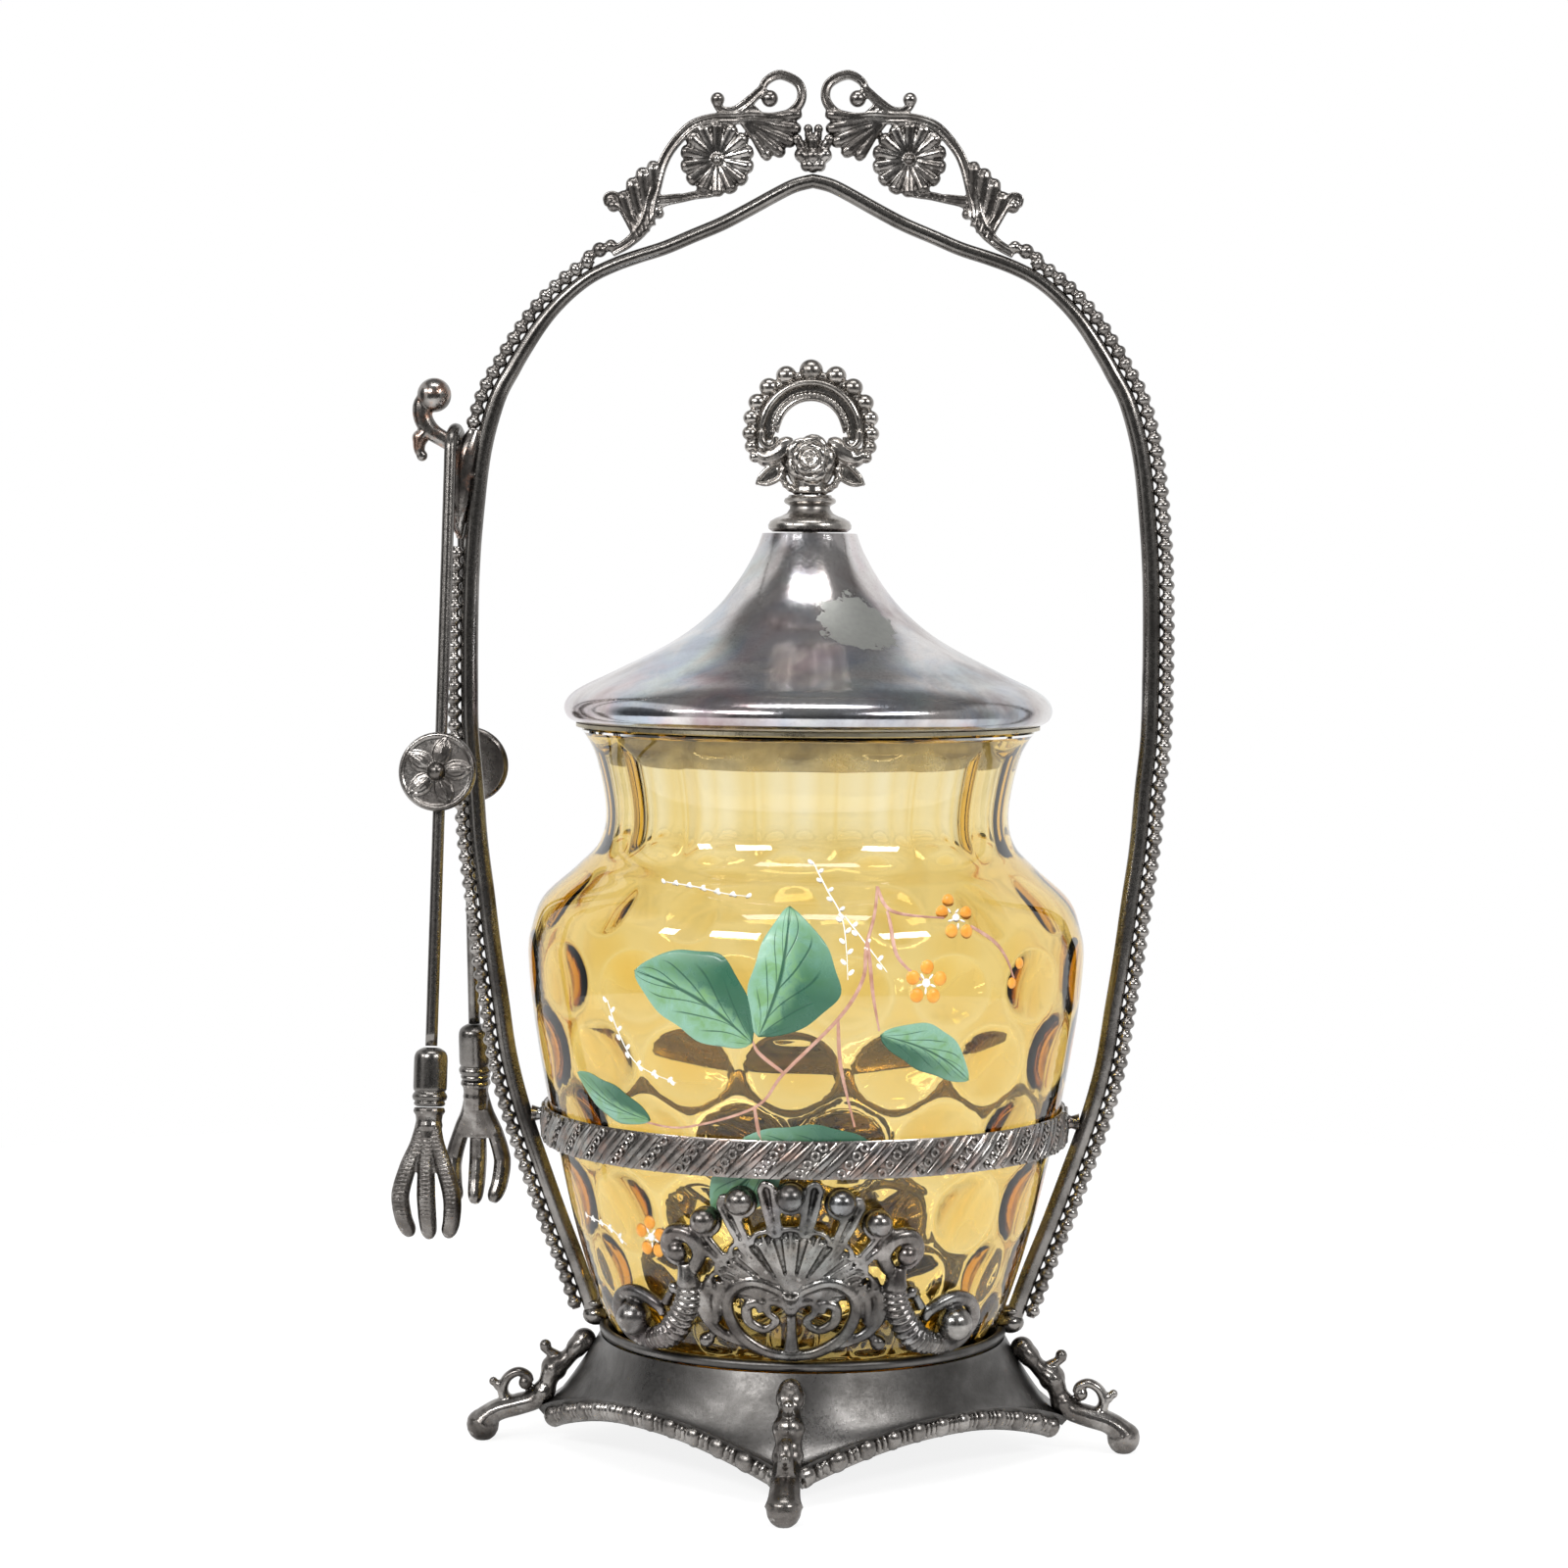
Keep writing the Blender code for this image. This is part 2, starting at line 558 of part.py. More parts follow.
def planar(share_points, size, origin, steps, flip=1.0, sides=6, thick=1.0):
    """Tube in the XZ plane through points given as shares: x, z and half width."""
    path = smooth_path(share_points, steps)
    centres = [Vector((origin.x + flip * x * size, origin.y, origin.z + z * size)) for x, z, _ in path]
    widths = [width * size for _, _, width in path]
    depths = [width * thick for width in widths]
    return sweep(centres, widths, depths, FRONTWARD, sides)


def leaf(root, tip, root_width, tip_width, thick, outward, sides=5):
    """Long petal that swells towards its tip."""
    stations = ((0.0, root_width), (0.80, tip_width), (1.0, 0.45 * tip_width))
    centres = [root.lerp(tip, along) for along, _ in stations]
    widths = [width for _, width in stations]
    return sweep(centres, widths, [width * thick for width in widths], outward, sides)


# Shape of the base
def corner_share(angle):
    return abs(math.sin(2.0 * angle))


def edge_radius(angle):
    return SIDE_RADIUS + (CORNER_RADIUS - SIDE_RADIUS) * (1.0 - corner_share(angle)) ** CORNER_POWER


def edge_height(angle):
    return CORNER_LIFT + EDGE_RISE * corner_share(angle) ** RISE_POWER


def base_section(angle):
    """Closed outline of the base sheet on one side of the axis, from the floor out and back."""
    reach = edge_radius(angle) - LIP_RADIUS
    drop = LIP_TOP - (edge_height(angle) + BORDER_HEIGHT + CLEAR)
    outside = [
        (LIP_RADIUS + reach * share, LIP_TOP - drop * (1.0 - (1.0 - share) ** DOME_POWER))
        for share in DOME_SHARES
    ]
    inside = offset_profile(outside, -SHEET)
    inside[0] = (WELL_RADIUS + SHEET, LIP_TOP - 2.0 * SHEET)
    well = [
        (0.0, FLOOR_TOP),
        (WELL_RADIUS - SHEET, FLOOR_TOP),
        (WELL_RADIUS, FLOOR_TOP + SHEET),
        (WELL_RADIUS, LIP_TOP),
    ]
    under = [
        (WELL_RADIUS + SHEET, FLOOR_TOP),
        (WELL_RADIUS, FLOOR_TOP - SHEET),
        (0.0, FLOOR_TOP - SHEET),
    ]
    return well + outside + list(reversed(inside)) + under


def make_base_plate(parent):
    sections = [base_section(FULL_TURN * step / BASE_STEPS) for step in range(BASE_STEPS)]
    rows = len(sections[0])
    points = []
    index_of = []
    for row in range(rows):
        if sections[0][row][0] == 0.0:
            index_of.append([len(points)] * BASE_STEPS)
            points.append(Vector((0.0, 0.0, sections[0][row][1])))
            continue
        index_of.append(list(range(len(points), len(points) + BASE_STEPS)))
        for step in range(BASE_STEPS):
            turn = FULL_TURN * step / BASE_STEPS
            radius, height = sections[step][row]
            points.append(Vector((radius * math.cos(turn), radius * math.sin(turn), height)))
    faces = []
    for row in range(rows - 1):
        for step in range(BASE_STEPS):
            after = (step + 1) % BASE_STEPS
            corners = []
            for corner in (
                index_of[row][step], index_of[row][after], index_of[row + 1][after], index_of[row + 1][step],
            ):
                if corner not in corners:
                    corners.append(corner)
            if len(corners) > 2:
                faces.append(tuple(corners))
    return add_object("base_plate", [(points, faces)], tarnished_plate("base_plate_metal"), parent)


def make_seat_ring(parent):
    centre = (WELL_RADIUS + LIP_RADIUS) / 2.0
    profile = []
    for step in range(6):
        turn = FULL_TURN * (step + 0.5) / 6
        profile.append((
            centre + SEAT_WIRE * math.cos(turn),
            SEAT_TOP - SEAT_WIRE + SEAT_WIRE * math.sin(turn),
        ))
    return add_object("seat_ring", [turned(profile, 32)], tarnished_plate("seat_ring_metal"), parent)


def make_borders(parent):
    sides = ("back_right", "back_left", "front_left", "front_right")
    for number, side in enumerate(sides):
        first = number * FULL_TURN / CORNERS + BORDER_END_ANGLE
        last = (number + 1) * FULL_TURN / CORNERS - BORDER_END_ANGLE
        centres = []
        radii = []
        rings = 2 * BORDER_BEADS
        for ring in range(rings + 1):
            angle = first + (last - first) * ring / rings
            radius = edge_radius(angle) - BORDER_RADIUS
            height = edge_height(angle) + BORDER_RADIUS
            centres.append(Vector((radius * math.cos(angle), radius * math.sin(angle), height)))
            radii.append(BORDER_RADIUS * (1.0 if ring % 2 else BORDER_NECK_SHARE))
        solid = sweep(centres, radii, radii, UP, 6)
        add_object("border_moulding_" + side, [solid], dark_casting("border_metal_" + side), parent)


def make_feet(parent):
    origin = Vector((FOOT_INNER, 0.0, 0.0))
    names = ("right", "back", "left", "front")
    pad = [(radius * FOOT_SPAN, height * FOOT_SPAN) for radius, height in FOOT_PAD_SHARES]
    pad = [(0.0, 0.0)] + pad + [(0.0, pad[-1][1])]
    pad_place = Vector((FOOT_INNER + FOOT_SPAN * FOOT_PAD_PLACE_SHARE, 0.0, 0.0))
    for number, name in enumerate(names):
        solids = [planar(FOOT_SPINE_SHARES, FOOT_SPAN, origin, 1, 1.0, 6, 1.1)]
        solids.append(planar(FOOT_SCROLL_SHARES, FOOT_SPAN, origin, 1, 1.0, 5, 1.2))
        for x, z, radius in FOOT_BALL_SHARES:
            solids.append(ball(origin + Vector((x, 0.0, z)) * FOOT_SPAN, radius * FOOT_SPAN, 6, 4))
        solids.append(place(turned(pad, 9), Matrix.Translation(pad_place)))
        turn = Matrix.Rotation(number * FULL_TURN / CORNERS, 4, "Z")
        solids = [place(solid, turn) for solid in solids]
        add_casting("foot_" + name, solids, dark_casting("foot_metal_" + name), parent)


# Handle
def handle_points(side):
    points = [
        (side * x * HANDLE_HALF_WIDTH, HANDLE_FOOT + z * HANDLE_RISE)
        for x, z in HANDLE_SHARES
    ]
    return points


def rod_radius(height):
    share = (height - HANDLE_FOOT) / HANDLE_RISE
    if share < ROD_TAPER_START_SHARE:
        return ROD_RADIUS
    along = (share - ROD_TAPER_START_SHARE) / (1.0 - ROD_TAPER_START_SHARE)
    return ROD_RADIUS + (ROD_TOP_RADIUS - ROD_RADIUS) * min(1.0, 2.0 * along)


def make_handle_rod(parent):
    left = handle_points(-1.0)
    right = handle_points(1.0)
    path = left + list(reversed(right[:-1]))
    centres = [Vector((x, 0.0, z)) for x, z in path]
    radii = [rod_radius(z) for _, z in path]
    solid = sweep(centres, radii, radii, FRONTWARD, 6)
    return add_object("handle_rod", [solid], tarnished_plate("handle_rod_metal"), parent)


def bead_line(side, low_share, high_share):
    """Centre line of a beaded wire outside the handle's rod, in steps of half a bead's pitch."""
    dense = smooth_path(handle_points(side), 12)
    outline = []
    for index, (x, z) in enumerate(dense):
        share = (z - HANDLE_FOOT) / HANDLE_RISE
        if share < low_share or share > high_share:
            continue
        before = dense[max(index - 1, 0)]
        after = dense[min(index + 1, len(dense) - 1)]
        run = Vector((after[0] - before[0], after[1] - before[1])).normalized()
        outward = Vector((run.y, -run.x)) * side
        away = rod_radius(z) + RUNNING_GAP + BEAD_RADIUS
        outline.append(Vector((x, 0.0, z)) + Vector((outward.x, 0.0, outward.y)) * away)
    step = BEAD_PITCH / 2.0
    line = [outline[0]]
    wait = step
    for start, end in zip(outline, outline[1:]):
        length = (end - start).length
        place_along = wait
        while place_along <= length:
            line.append(start.lerp(end, place_along / length))
            place_along += step
        wait = place_along - length
    if len(line) % 2 == 0:
        line.pop()
    return line


def make_beading(parent):
    runs = (
        ("beading_left_lower", -1.0, BEAD_START_SHARE, HOOK_LOW_SHARE),
        ("beading_left_upper", -1.0, HOOK_HIGH_SHARE, BEAD_END_SHARE),
        ("beading_right", 1.0, BEAD_START_SHARE, BEAD_END_SHARE),
    )
    for name, side, low, high in runs:
        line = bead_line(side, low, high)
        radii = [BEAD_RADIUS * (1.0 if index % 2 else BEAD_NECK_SHARE) for index in range(len(line))]
        solid = sweep(line, radii, radii, FRONTWARD, 4, False, 0.0)
        add_object(name, [solid], dark_casting(name + "_metal"), parent)


# Crest
def rosette(centre, radius):
    """Flower disc with raised petals on both faces."""
    around = 2 * ROSETTE_PETALS
    points = []
    rings = []
    layers = [(share, depth) for share, depth in ROSETTE_RELIEF_SHARES]
    order = [(share, -depth) for share, depth in reversed(layers)] + layers
    for share, depth in order:
        ring = []
        for step in range(around):
            turn = FULL_TURN * step / around
            reach = radius * share * (1.0 if step % 2 else ROSETTE_VALLEY_SHARE)
            ring.append(len(points))
            points.append(centre + Vector((math.cos(turn) * reach, -depth * radius, math.sin(turn) * reach)))
        rings.append(ring)
    faces = []
    for ring, other in zip(rings, rings[1:]):
        for step in range(around):
            after = (step + 1) % around
            faces.append((ring[step], ring[after], other[after], other[step]))
    faces.append(tuple(reversed(rings[0])))
    faces.append(tuple(rings[-1]))
    return points, faces


def make_crest(parent, name, side):
    size = CREST_SPAN
    origin = Vector((0.0, 0.0, CREST_FOOT))
    thick = CREST_THICK_SHARE
    solids = [planar(CREST_STEM_SHARES, size, origin, 1, side, 5, thick)]
    for shares in (CREST_TAIL_SHARES, CREST_LOWER_SHARES, CREST_CURL_SHARES):
        solids.append(planar(shares, size, origin, 1, side, 4, thick))
    for shares in (CREST_LINK_SHARES, CREST_BRACE_SHARES):
        solids.append(planar(shares, size, origin, 1, side, 4, thick))
    for x, z, radius in CREST_BALL_SHARES:
        solids.append(ball(origin + Vector((side * x, 0.0, z)) * size, radius * size, 6, 4))
    for root, tips in ((PALMETTE_ROOT_SHARES, PALMETTE_TIP_SHARES), (FAN_ROOT_SHARES, FAN_TIP_SHARES)):
        start = origin + Vector((side * root[0], 0.0, root[1])) * size
        for x, z, width in tips:
            end = origin + Vector((side * x, 0.0, z)) * size
            solids.append(leaf(start, end, root[2] * size, width * size, thick, FRONTWARD))
    centre = origin + Vector((side * ROSETTE_PLACE_SHARES[0], 0.0, ROSETTE_PLACE_SHARES[1])) * size
    radius = ROSETTE_RADIUS_SHARE * size
    solids.append(rosette(centre, radius))
    solids.append(ball(centre, radius * ROSETTE_BOSS_SHARE, 6, 4, ROSETTE_BOSS_RELIEF_SHARE, FRONTWARD))
    add_casting(name, solids, dark_casting(name + "_metal"), parent)


def make_crest_bud(parent):
    size = BUD_HEIGHT
    origin = Vector((0.0, 0.0, HANDLE_APEX + ROD_TOP_RADIUS + CLEAR))
    root = origin + Vector((BUD_ROOT_SHARES[0], 0.0, BUD_ROOT_SHARES[1])) * size
    core_x, core_z, core_radius = BUD_CORE_SHARES
    solids = [ball(origin + Vector((core_x, 0.0, core_z)) * size, core_radius * size, 6, 4)]
    for x, z, width in BUD_TIP_SHARES:
        tip = origin + Vector((x, 0.0, z)) * size
        solids.append(leaf(root, tip, BUD_ROOT_SHARES[2] * size, width * size, 1.0, FRONTWARD))
    add_casting("crest_bud", solids, dark_casting("crest_bud_metal"), parent)


# Collar ring and its lugs
def collar_inner():
    return jar_radius_at(COLLAR_BOTTOM + COLLAR_HEIGHT) + COLLAR_ROOM


def make_collar_ring(parent):
    inner = collar_inner()
    outer = inner + COLLAR_THICK
    levels = ((0.10, 0.0), (0.50, 1.0), (0.90, 2.0))
    points = []
    for step in range(COLLAR_STEPS):
        turn = FULL_TURN * step / COLLAR_STEPS
        column = [(inner, 0.0)]
        for level, lean in levels:
            raised = 1.0 if (step + int(lean)) % 4 < 2 else 0.0
            column.append((outer - ROPE_RELIEF * (1.0 - raised), level * COLLAR_HEIGHT))
        column.append((inner, COLLAR_HEIGHT))
        for radius, height in column:
            points.append(Vector((radius * math.cos(turn), radius * math.sin(turn), COLLAR_BOTTOM + height)))
    rows = len(levels) + 2
    faces = []
    for step in range(COLLAR_STEPS):
        here = step * rows
        there = ((step + 1) % COLLAR_STEPS) * rows
        for row in range(rows):
            up = (row + 1) % rows
            faces.append((here + row, there + row, there + up, here + up))
    add_object("collar_ring", [(points, faces)], dark_casting("collar_ring_metal"), parent)


def arm_radius_at(height):
    points = smooth_path(handle_points(1.0), 8)
    for (x, z), (next_x, next_z) in zip(points, points[1:]):
        if z <= height <= next_z:
            return x + (next_x - x) * (height - z) / (next_z - z)
    return HANDLE_HALF_WIDTH


def make_collar_lugs(parent):
    height = COLLAR_BOTTOM + COLLAR_HEIGHT * LUG_PLACE_SHARE
    start = collar_inner() + COLLAR_THICK + CLEAR
    end = arm_radius_at(height - LUG_RADIUS) - ROD_RADIUS - CLEAR
    for name, side in (("left", -1.0), ("right", 1.0)):
        centres = [Vector((side * start, 0.0, height)), Vector((side * end, 0.0, height))]
        radii = [LUG_RADIUS, LUG_RADIUS * LUG_TAPER_SHARE]
        solid = sweep(centres, radii, radii, UP, 10)
        add_object("collar_lug_" + name, [solid], dark_casting("collar_lug_metal_" + name), parent)


# Medallions
def jar_radius_at(height):
    share = (height - JAR_BOTTOM) / JAR_HEIGHT
    for (radius, low), (next_radius, high) in zip(JAR_SHARES, JAR_SHARES[1:]):
        if low <= share <= high:
            return JAR_RADIUS * (radius + (next_radius - radius) * (share - low) / (high - low))
    return JAR_RADIUS * JAR_SHARES[0][0]


def around_jar(across, up, away, flip):
    """Point on the medallion's cone, from shares of its height and a distance off the glass."""
    height = SEAT_TOP + CLEAR + MEDALLION_HEIGHT * up
    radius = jar_radius_at(height) + MEDALLION_STAND + away
    angle = flip * across * MEDALLION_HEIGHT / MEDALLION_WRAP_RADIUS
    return Vector((radius * math.sin(angle), -radius * math.cos(angle), height))


def facing_at(across, flip):
    angle = flip * across * MEDALLION_HEIGHT / MEDALLION_WRAP_RADIUS
    return Vector((math.sin(angle), -math.cos(angle), 0.0))


def wrapped(share_points, steps, flip, sides=6, lift=1.0):
    path = smooth_path(share_points, steps)
    widths = [width * MEDALLION_HEIGHT for _, _, width in path]
    centres = [around_jar(x, z, width * lift, flip) for (x, z, _), width in zip(path, widths)]
    outward = [facing_at(x, flip) for x, _, _ in path]
    return sweep(centres, widths, widths, outward, sides)


def shell_half(flip):
    """Scalloped half of the shell: a fan plate, thin at its root and raised at its edge ribs."""
    low, high = SHELL_THICK_SHARES
    points = []
    stations = []
    root_x, root_z = SHELL_ROOT_SHARES
    for number, (x, z) in enumerate(SHELL_EDGE_SHARES):
        rib = high if number % 2 == 0 else low
        middle_x = root_x + (x - root_x) * 0.5
        middle_z = root_z + (z - root_z) * 0.5
        column = []
        for across, up, depth in ((x, z, rib), (middle_x, middle_z, (rib + low) / 2.0)):
            column.append(len(points))
            points.append(around_jar(across, up, 0.0, flip))
            column.append(len(points))
            points.append(around_jar(across, up, depth * MEDALLION_HEIGHT, flip))
        stations.append(column)
    root_back = len(points)
    points.append(around_jar(root_x, root_z, 0.0, flip))
    root_front = len(points)
    points.append(around_jar(root_x, root_z, low * MEDALLION_HEIGHT, flip))
    faces = []
    for first, second in zip(stations, stations[1:]):
        edge_back, edge_front, middle_back, middle_front = first
        next_back, next_front, next_middle_back, next_middle_front = second
        faces.append((edge_front, next_front, next_middle_front, middle_front))
        faces.append((middle_front, next_middle_front, root_front))
        faces.append((edge_back, middle_back, next_middle_back, next_back))
        faces.append((middle_back, root_back, next_middle_back))
        faces.append((edge_back, next_back, next_front, edge_front))
    for column in (stations[0], stations[-1]):
        edge_back, edge_front, middle_back, middle_front = column
        faces.append((edge_back, edge_front, middle_front, middle_back))
        faces.append((middle_back, middle_front, root_front, root_back))
    return points, faces


def medallion_side(flip):
    size = MEDALLION_HEIGHT
    solids = [wrapped(RIM_SHARES, 1, flip, 4)]
    for x, z, radius in MEDALLION_PEARL_SHARES:
        if x > 0.0:
            solids.append(ball(around_jar(x, z, radius * size, flip), radius * size, 6, 4))
    for x, z, end_x, end_z, width in MEDALLION_SPOKE_SHARES:
        spoke = ((x, z, width), (end_x, end_z, width))
        solids.append(wrapped(spoke, 1, flip, 4, SPOKE_LIFT_SHARE))
    solids.append(wrapped(SPIRAL_SHARES, 1, flip, 4))
    solids.append(wrapped(ARC_SHARES, 1, flip, 4))
    solids.append(wrapped(HORN_SHARES, 1, flip, 4))
    solids.append(wrapped(VOLUTE_SHARES, 1, flip, 5))
    solids.append(wrapped(MEDALLION_CURL_SHARES, 1, flip, 4))
    for shares in (BALL_LINK_SHARES, BALL_ARC_LINK_SHARES, HORN_LINK_SHARES):
        solids.append(wrapped(shares, 1, flip, 4))
    for x, z, radius in MEDALLION_BALL_SHARES:
        solids.append(ball(around_jar(x, z, radius * size, flip), radius * size, 6, 4))
    return solids


def make_medallions(parent):
    for name, turn in (("front", 0.0), ("back", math.pi)):
        x, z, radius = MEDALLION_PEARL_SHARES[0]
        size = MEDALLION_HEIGHT
        solids = [wrapped(STEM_SHARES, 1, 1.0, 6)]
        solids.append(ball(around_jar(x, z, radius * size, 1.0), radius * size, 6, 4))
        solids.append(shell_half(1.0))
        solids.append(shell_half(-1.0))
        solids += medallion_side(1.0)
        solids += medallion_side(-1.0)
        spin = Matrix.Rotation(turn, 4, "Z")
        solids = [place(solid, spin) for solid in solids]
        add_casting("medallion_" + name, solids, dark_casting("medallion_metal_" + name), parent)


# Jar and lid
def make_jar(parent):
    outside = [(radius * JAR_RADIUS, JAR_BOTTOM + height * JAR_HEIGHT) for radius, height in JAR_SHARES]
    inside = offset_profile(outside, JAR_WALL)
    inside[-1] = (outside[-1][0] - JAR_WALL, outside[-1][1])
    inside = [inside[row] for row in JAR_INSIDE_ROWS]
    profile = [(0.0, JAR_BOTTOM)] + outside + list(reversed(inside))
    profile.append((inside[0][0] - JAR_WALL, JAR_BOTTOM + JAR_FLOOR))
    profile.append((0.0, JAR_BOTTOM + JAR_FLOOR))
    return add_object("jar", [turned(profile, JAR_STEPS)], amber_glass("jar_glass"), parent)


def lid_outline():
    return [(radius * LID_RADIUS, LID_BOTTOM + height * LID_RISE) for radius, height in LID_SHARES]


def make_lid(parent):
    outside = lid_outline()
    under = offset_profile(outside[:-1], -LID_SHEET)
    hole = STUD_RADIUS + CLEAR
    top = outside[0][1]
    under[0] = (under[0][0] + LID_SHEET, top - LID_SHEET)
    under = [under[row] for row in LID_INSIDE_ROWS]
    profile = [(hole, top)] + outside + list(reversed(under)) + [(hole, top - LID_SHEET)]
    add_object("lid_shell", [turned(profile, LID_STEPS)], bright_plate("lid_shell_metal"), parent)
    make_lid_flange(parent)


def make_lid_flange(parent):
    """Plug ring in the jar's neck, with the shelf that rests on the jar's rim."""
    bottom = JAR_TOP - FLANGE_DEPTH
    inner = FLANGE_RADIUS - FLANGE_SHEET
    top = FLANGE_SEAT + FLANGE_SHEET
    profile = [
        (FLANGE_RADIUS, bottom), (FLANGE_RADIUS, FLANGE_SEAT), (FLANGE_RIM, FLANGE_SEAT), (FLANGE_RIM, top),
        (inner, top), (inner, bottom),
    ]
    add_object("lid_flange", [turned(profile, LID_STEPS)], brass_plate("lid_flange_metal"), parent)


def make_finial_base(parent):
    top = FINIAL_BOTTOM + FINIAL_DISC_THICK
    edge = FINIAL_DISC_THICK / 4.0
    profile = [
        (STUD_RADIUS + CLEAR, FINIAL_BOTTOM),
        (FINIAL_DISC_RADIUS - edge, FINIAL_BOTTOM),
        (FINIAL_DISC_RADIUS, FINIAL_BOTTOM + edge),
        (FINIAL_DISC_RADIUS, top - edge),
        (FINIAL_DISC_RADIUS - edge, top),
        (FINIAL_NECK_RADIUS, top + edge),
        (FINIAL_NECK_RADIUS, FINIAL_NECK_TOP - 3.0 * edge),
        (FINIAL_COLLAR_RADIUS, FINIAL_NECK_TOP - 2.0 * edge),
        (FINIAL_COLLAR_RADIUS, FINIAL_NECK_TOP - edge),
        (FINIAL_NECK_RADIUS, FINIAL_NECK_TOP),
        (STUD_RADIUS + CLEAR, FINIAL_NECK_TOP),
    ]
    add_object("finial_base", [turned(profile, 16)], bright_plate("finial_base_metal"), parent)


def make_finial_nut(parent):
    top = LID_TOP - LID_SHEET - CLEAR
    profile = [
        (STUD_RADIUS + CLEAR, top), (NUT_RADIUS, top), (NUT_RADIUS, top - NUT_THICK),
        (STUD_RADIUS + CLEAR, top - NUT_THICK),
    ]
    add_object("finial_nut", [turned(profile, 6)], brass_plate("finial_nut_metal"), parent, False)


def loop_point(radius, angle):
    return Vector((radius * math.cos(angle), 0.0, LOOP_HEIGHT + radius * math.sin(angle)))


def make_finial_loop(parent):
    """Cast ring of graded beads with its band, rose, leaves and threaded stud."""
    stud_bottom = LID_TOP - LID_SHEET - CLEAR - STUD_END_SHARE * NUT_THICK
    stud = sweep(
        [Vector((0.0, 0.0, stud_bottom)), Vector((0.0, 0.0, CASTING_BOTTOM + STUD_RADIUS))],
        [STUD_RADIUS] * 2, [STUD_RADIUS] * 2, FRONTWARD, 10,
    )
    solids = [stud]
    first = -LOOP_END_ANGLE
    last = math.pi + LOOP_END_ANGLE
    for radius_share, half_width, half_depth in LOOP_BAND_SHARES:
        angles = [first + (last - first) * step / 12 for step in range(13)]
        centres = [loop_point(LOOP_RADIUS * radius_share, angle) for angle in angles]
        widths = [half_width * LOOP_RADIUS] * len(centres)
        depths = [half_depth * LOOP_RADIUS] * len(centres)
        solids.append(sweep(centres, widths, depths, FRONTWARD, 4))
    half = LOOP_BEADS // 2
    angle = math.pi / 2.0
    for number in range(half + 1):
        radius = LOOP_TOP_BEAD + (LOOP_END_BEAD - LOOP_TOP_BEAD) * number / half
        for side in ((1.0,) if number == 0 else (1.0, -1.0)):
            centre = loop_point(LOOP_RADIUS, angle)
            centre.x *= side
            solids.append(ball(centre, radius, 6, 4))
        following = LOOP_TOP_BEAD + (LOOP_END_BEAD - LOOP_TOP_BEAD) * (number + 1) / half
        angle -= LOOP_SPREAD_SHARE * (radius + following) / LOOP_RADIUS
    origin = Vector((0.0, 0.0, CASTING_BOTTOM))
    calyx = [origin + Vector((x, 0.0, z)) * LOOP_RADIUS for x, z, _ in CALYX_SHARES]
    calyx[0].z = CASTING_BOTTOM
    widths = [width * LOOP_RADIUS for _, _, width in CALYX_SHARES]
    solids.append(sweep(calyx, widths, widths, FRONTWARD, 8))
    solids.append(planar(LOOP_BAR_SHARES, LOOP_RADIUS, origin, 1, 1.0, 4))
    for shares in ROSE_LEAF_SHARES:
        for side in (1.0, -1.0):
            solids.append(planar(shares, LOOP_RADIUS, origin, 1, side, 5, 0.55))
    rose = origin + Vector((0.0, 0.0, ROSE_LIFT_SHARE)) * LOOP_RADIUS
    solids.append(ball(rose, ROSE_RADIUS, 8, 5, 0.8, FRONTWARD))
    add_casting("finial_loop", solids, bright_plate("finial_loop_metal"), parent)


# Hook and tongs
def make_hook(parent):
    size = HOOK_REACH
    origin = Vector((-HOOK_ROOT_RADIUS, 0.0, HOOK_HEIGHT))
    solids = [planar(HOOK_STEM_SHARES, size, origin, 2, -1.0, 8)]
    x, z, radius = HOOK_BALL_SHARES
    solids.append(ball(origin + Vector((-x, 0.0, z)) * size, radius * size, 10, 6))
    solids.append(planar(HOOK_BACK_SHARES, size, origin, 1, -1.0, 6))
    x, z, radius = HOOK_TIP_SHARES
    solids.append(ball(origin + Vector((-x, 0.0, z)) * size, radius * size, 8, 4))
    solids.append(planar(HOOK_LEAF_SHARES, size, origin, 1, -1.0, 6, HOOK_LEAF_DEPTH_SHARE))
    add_casting("tongs_hook", solids, worn_casting("tongs_hook_metal"), parent)


def make_bow(tongs):
    centres = []
    for step in range(BOW_STEPS + 1):
        turn = LEG_SPREAD + (math.pi - 2.0 * LEG_SPREAD) * step / BOW_STEPS
        centres.append(Vector((0.0, BOW_RADIUS * math.cos(turn), BOW_CENTRE + BOW_RADIUS * math.sin(turn))))
    radii = [WIRE_RADIUS] * len(centres)
    solid = sweep(centres, radii, radii, Vector((1.0, 0.0, 0.0)), 8)
    add_object("tongs_bow", [solid], tarnished_plate("tongs_bow_metal"), tongs)


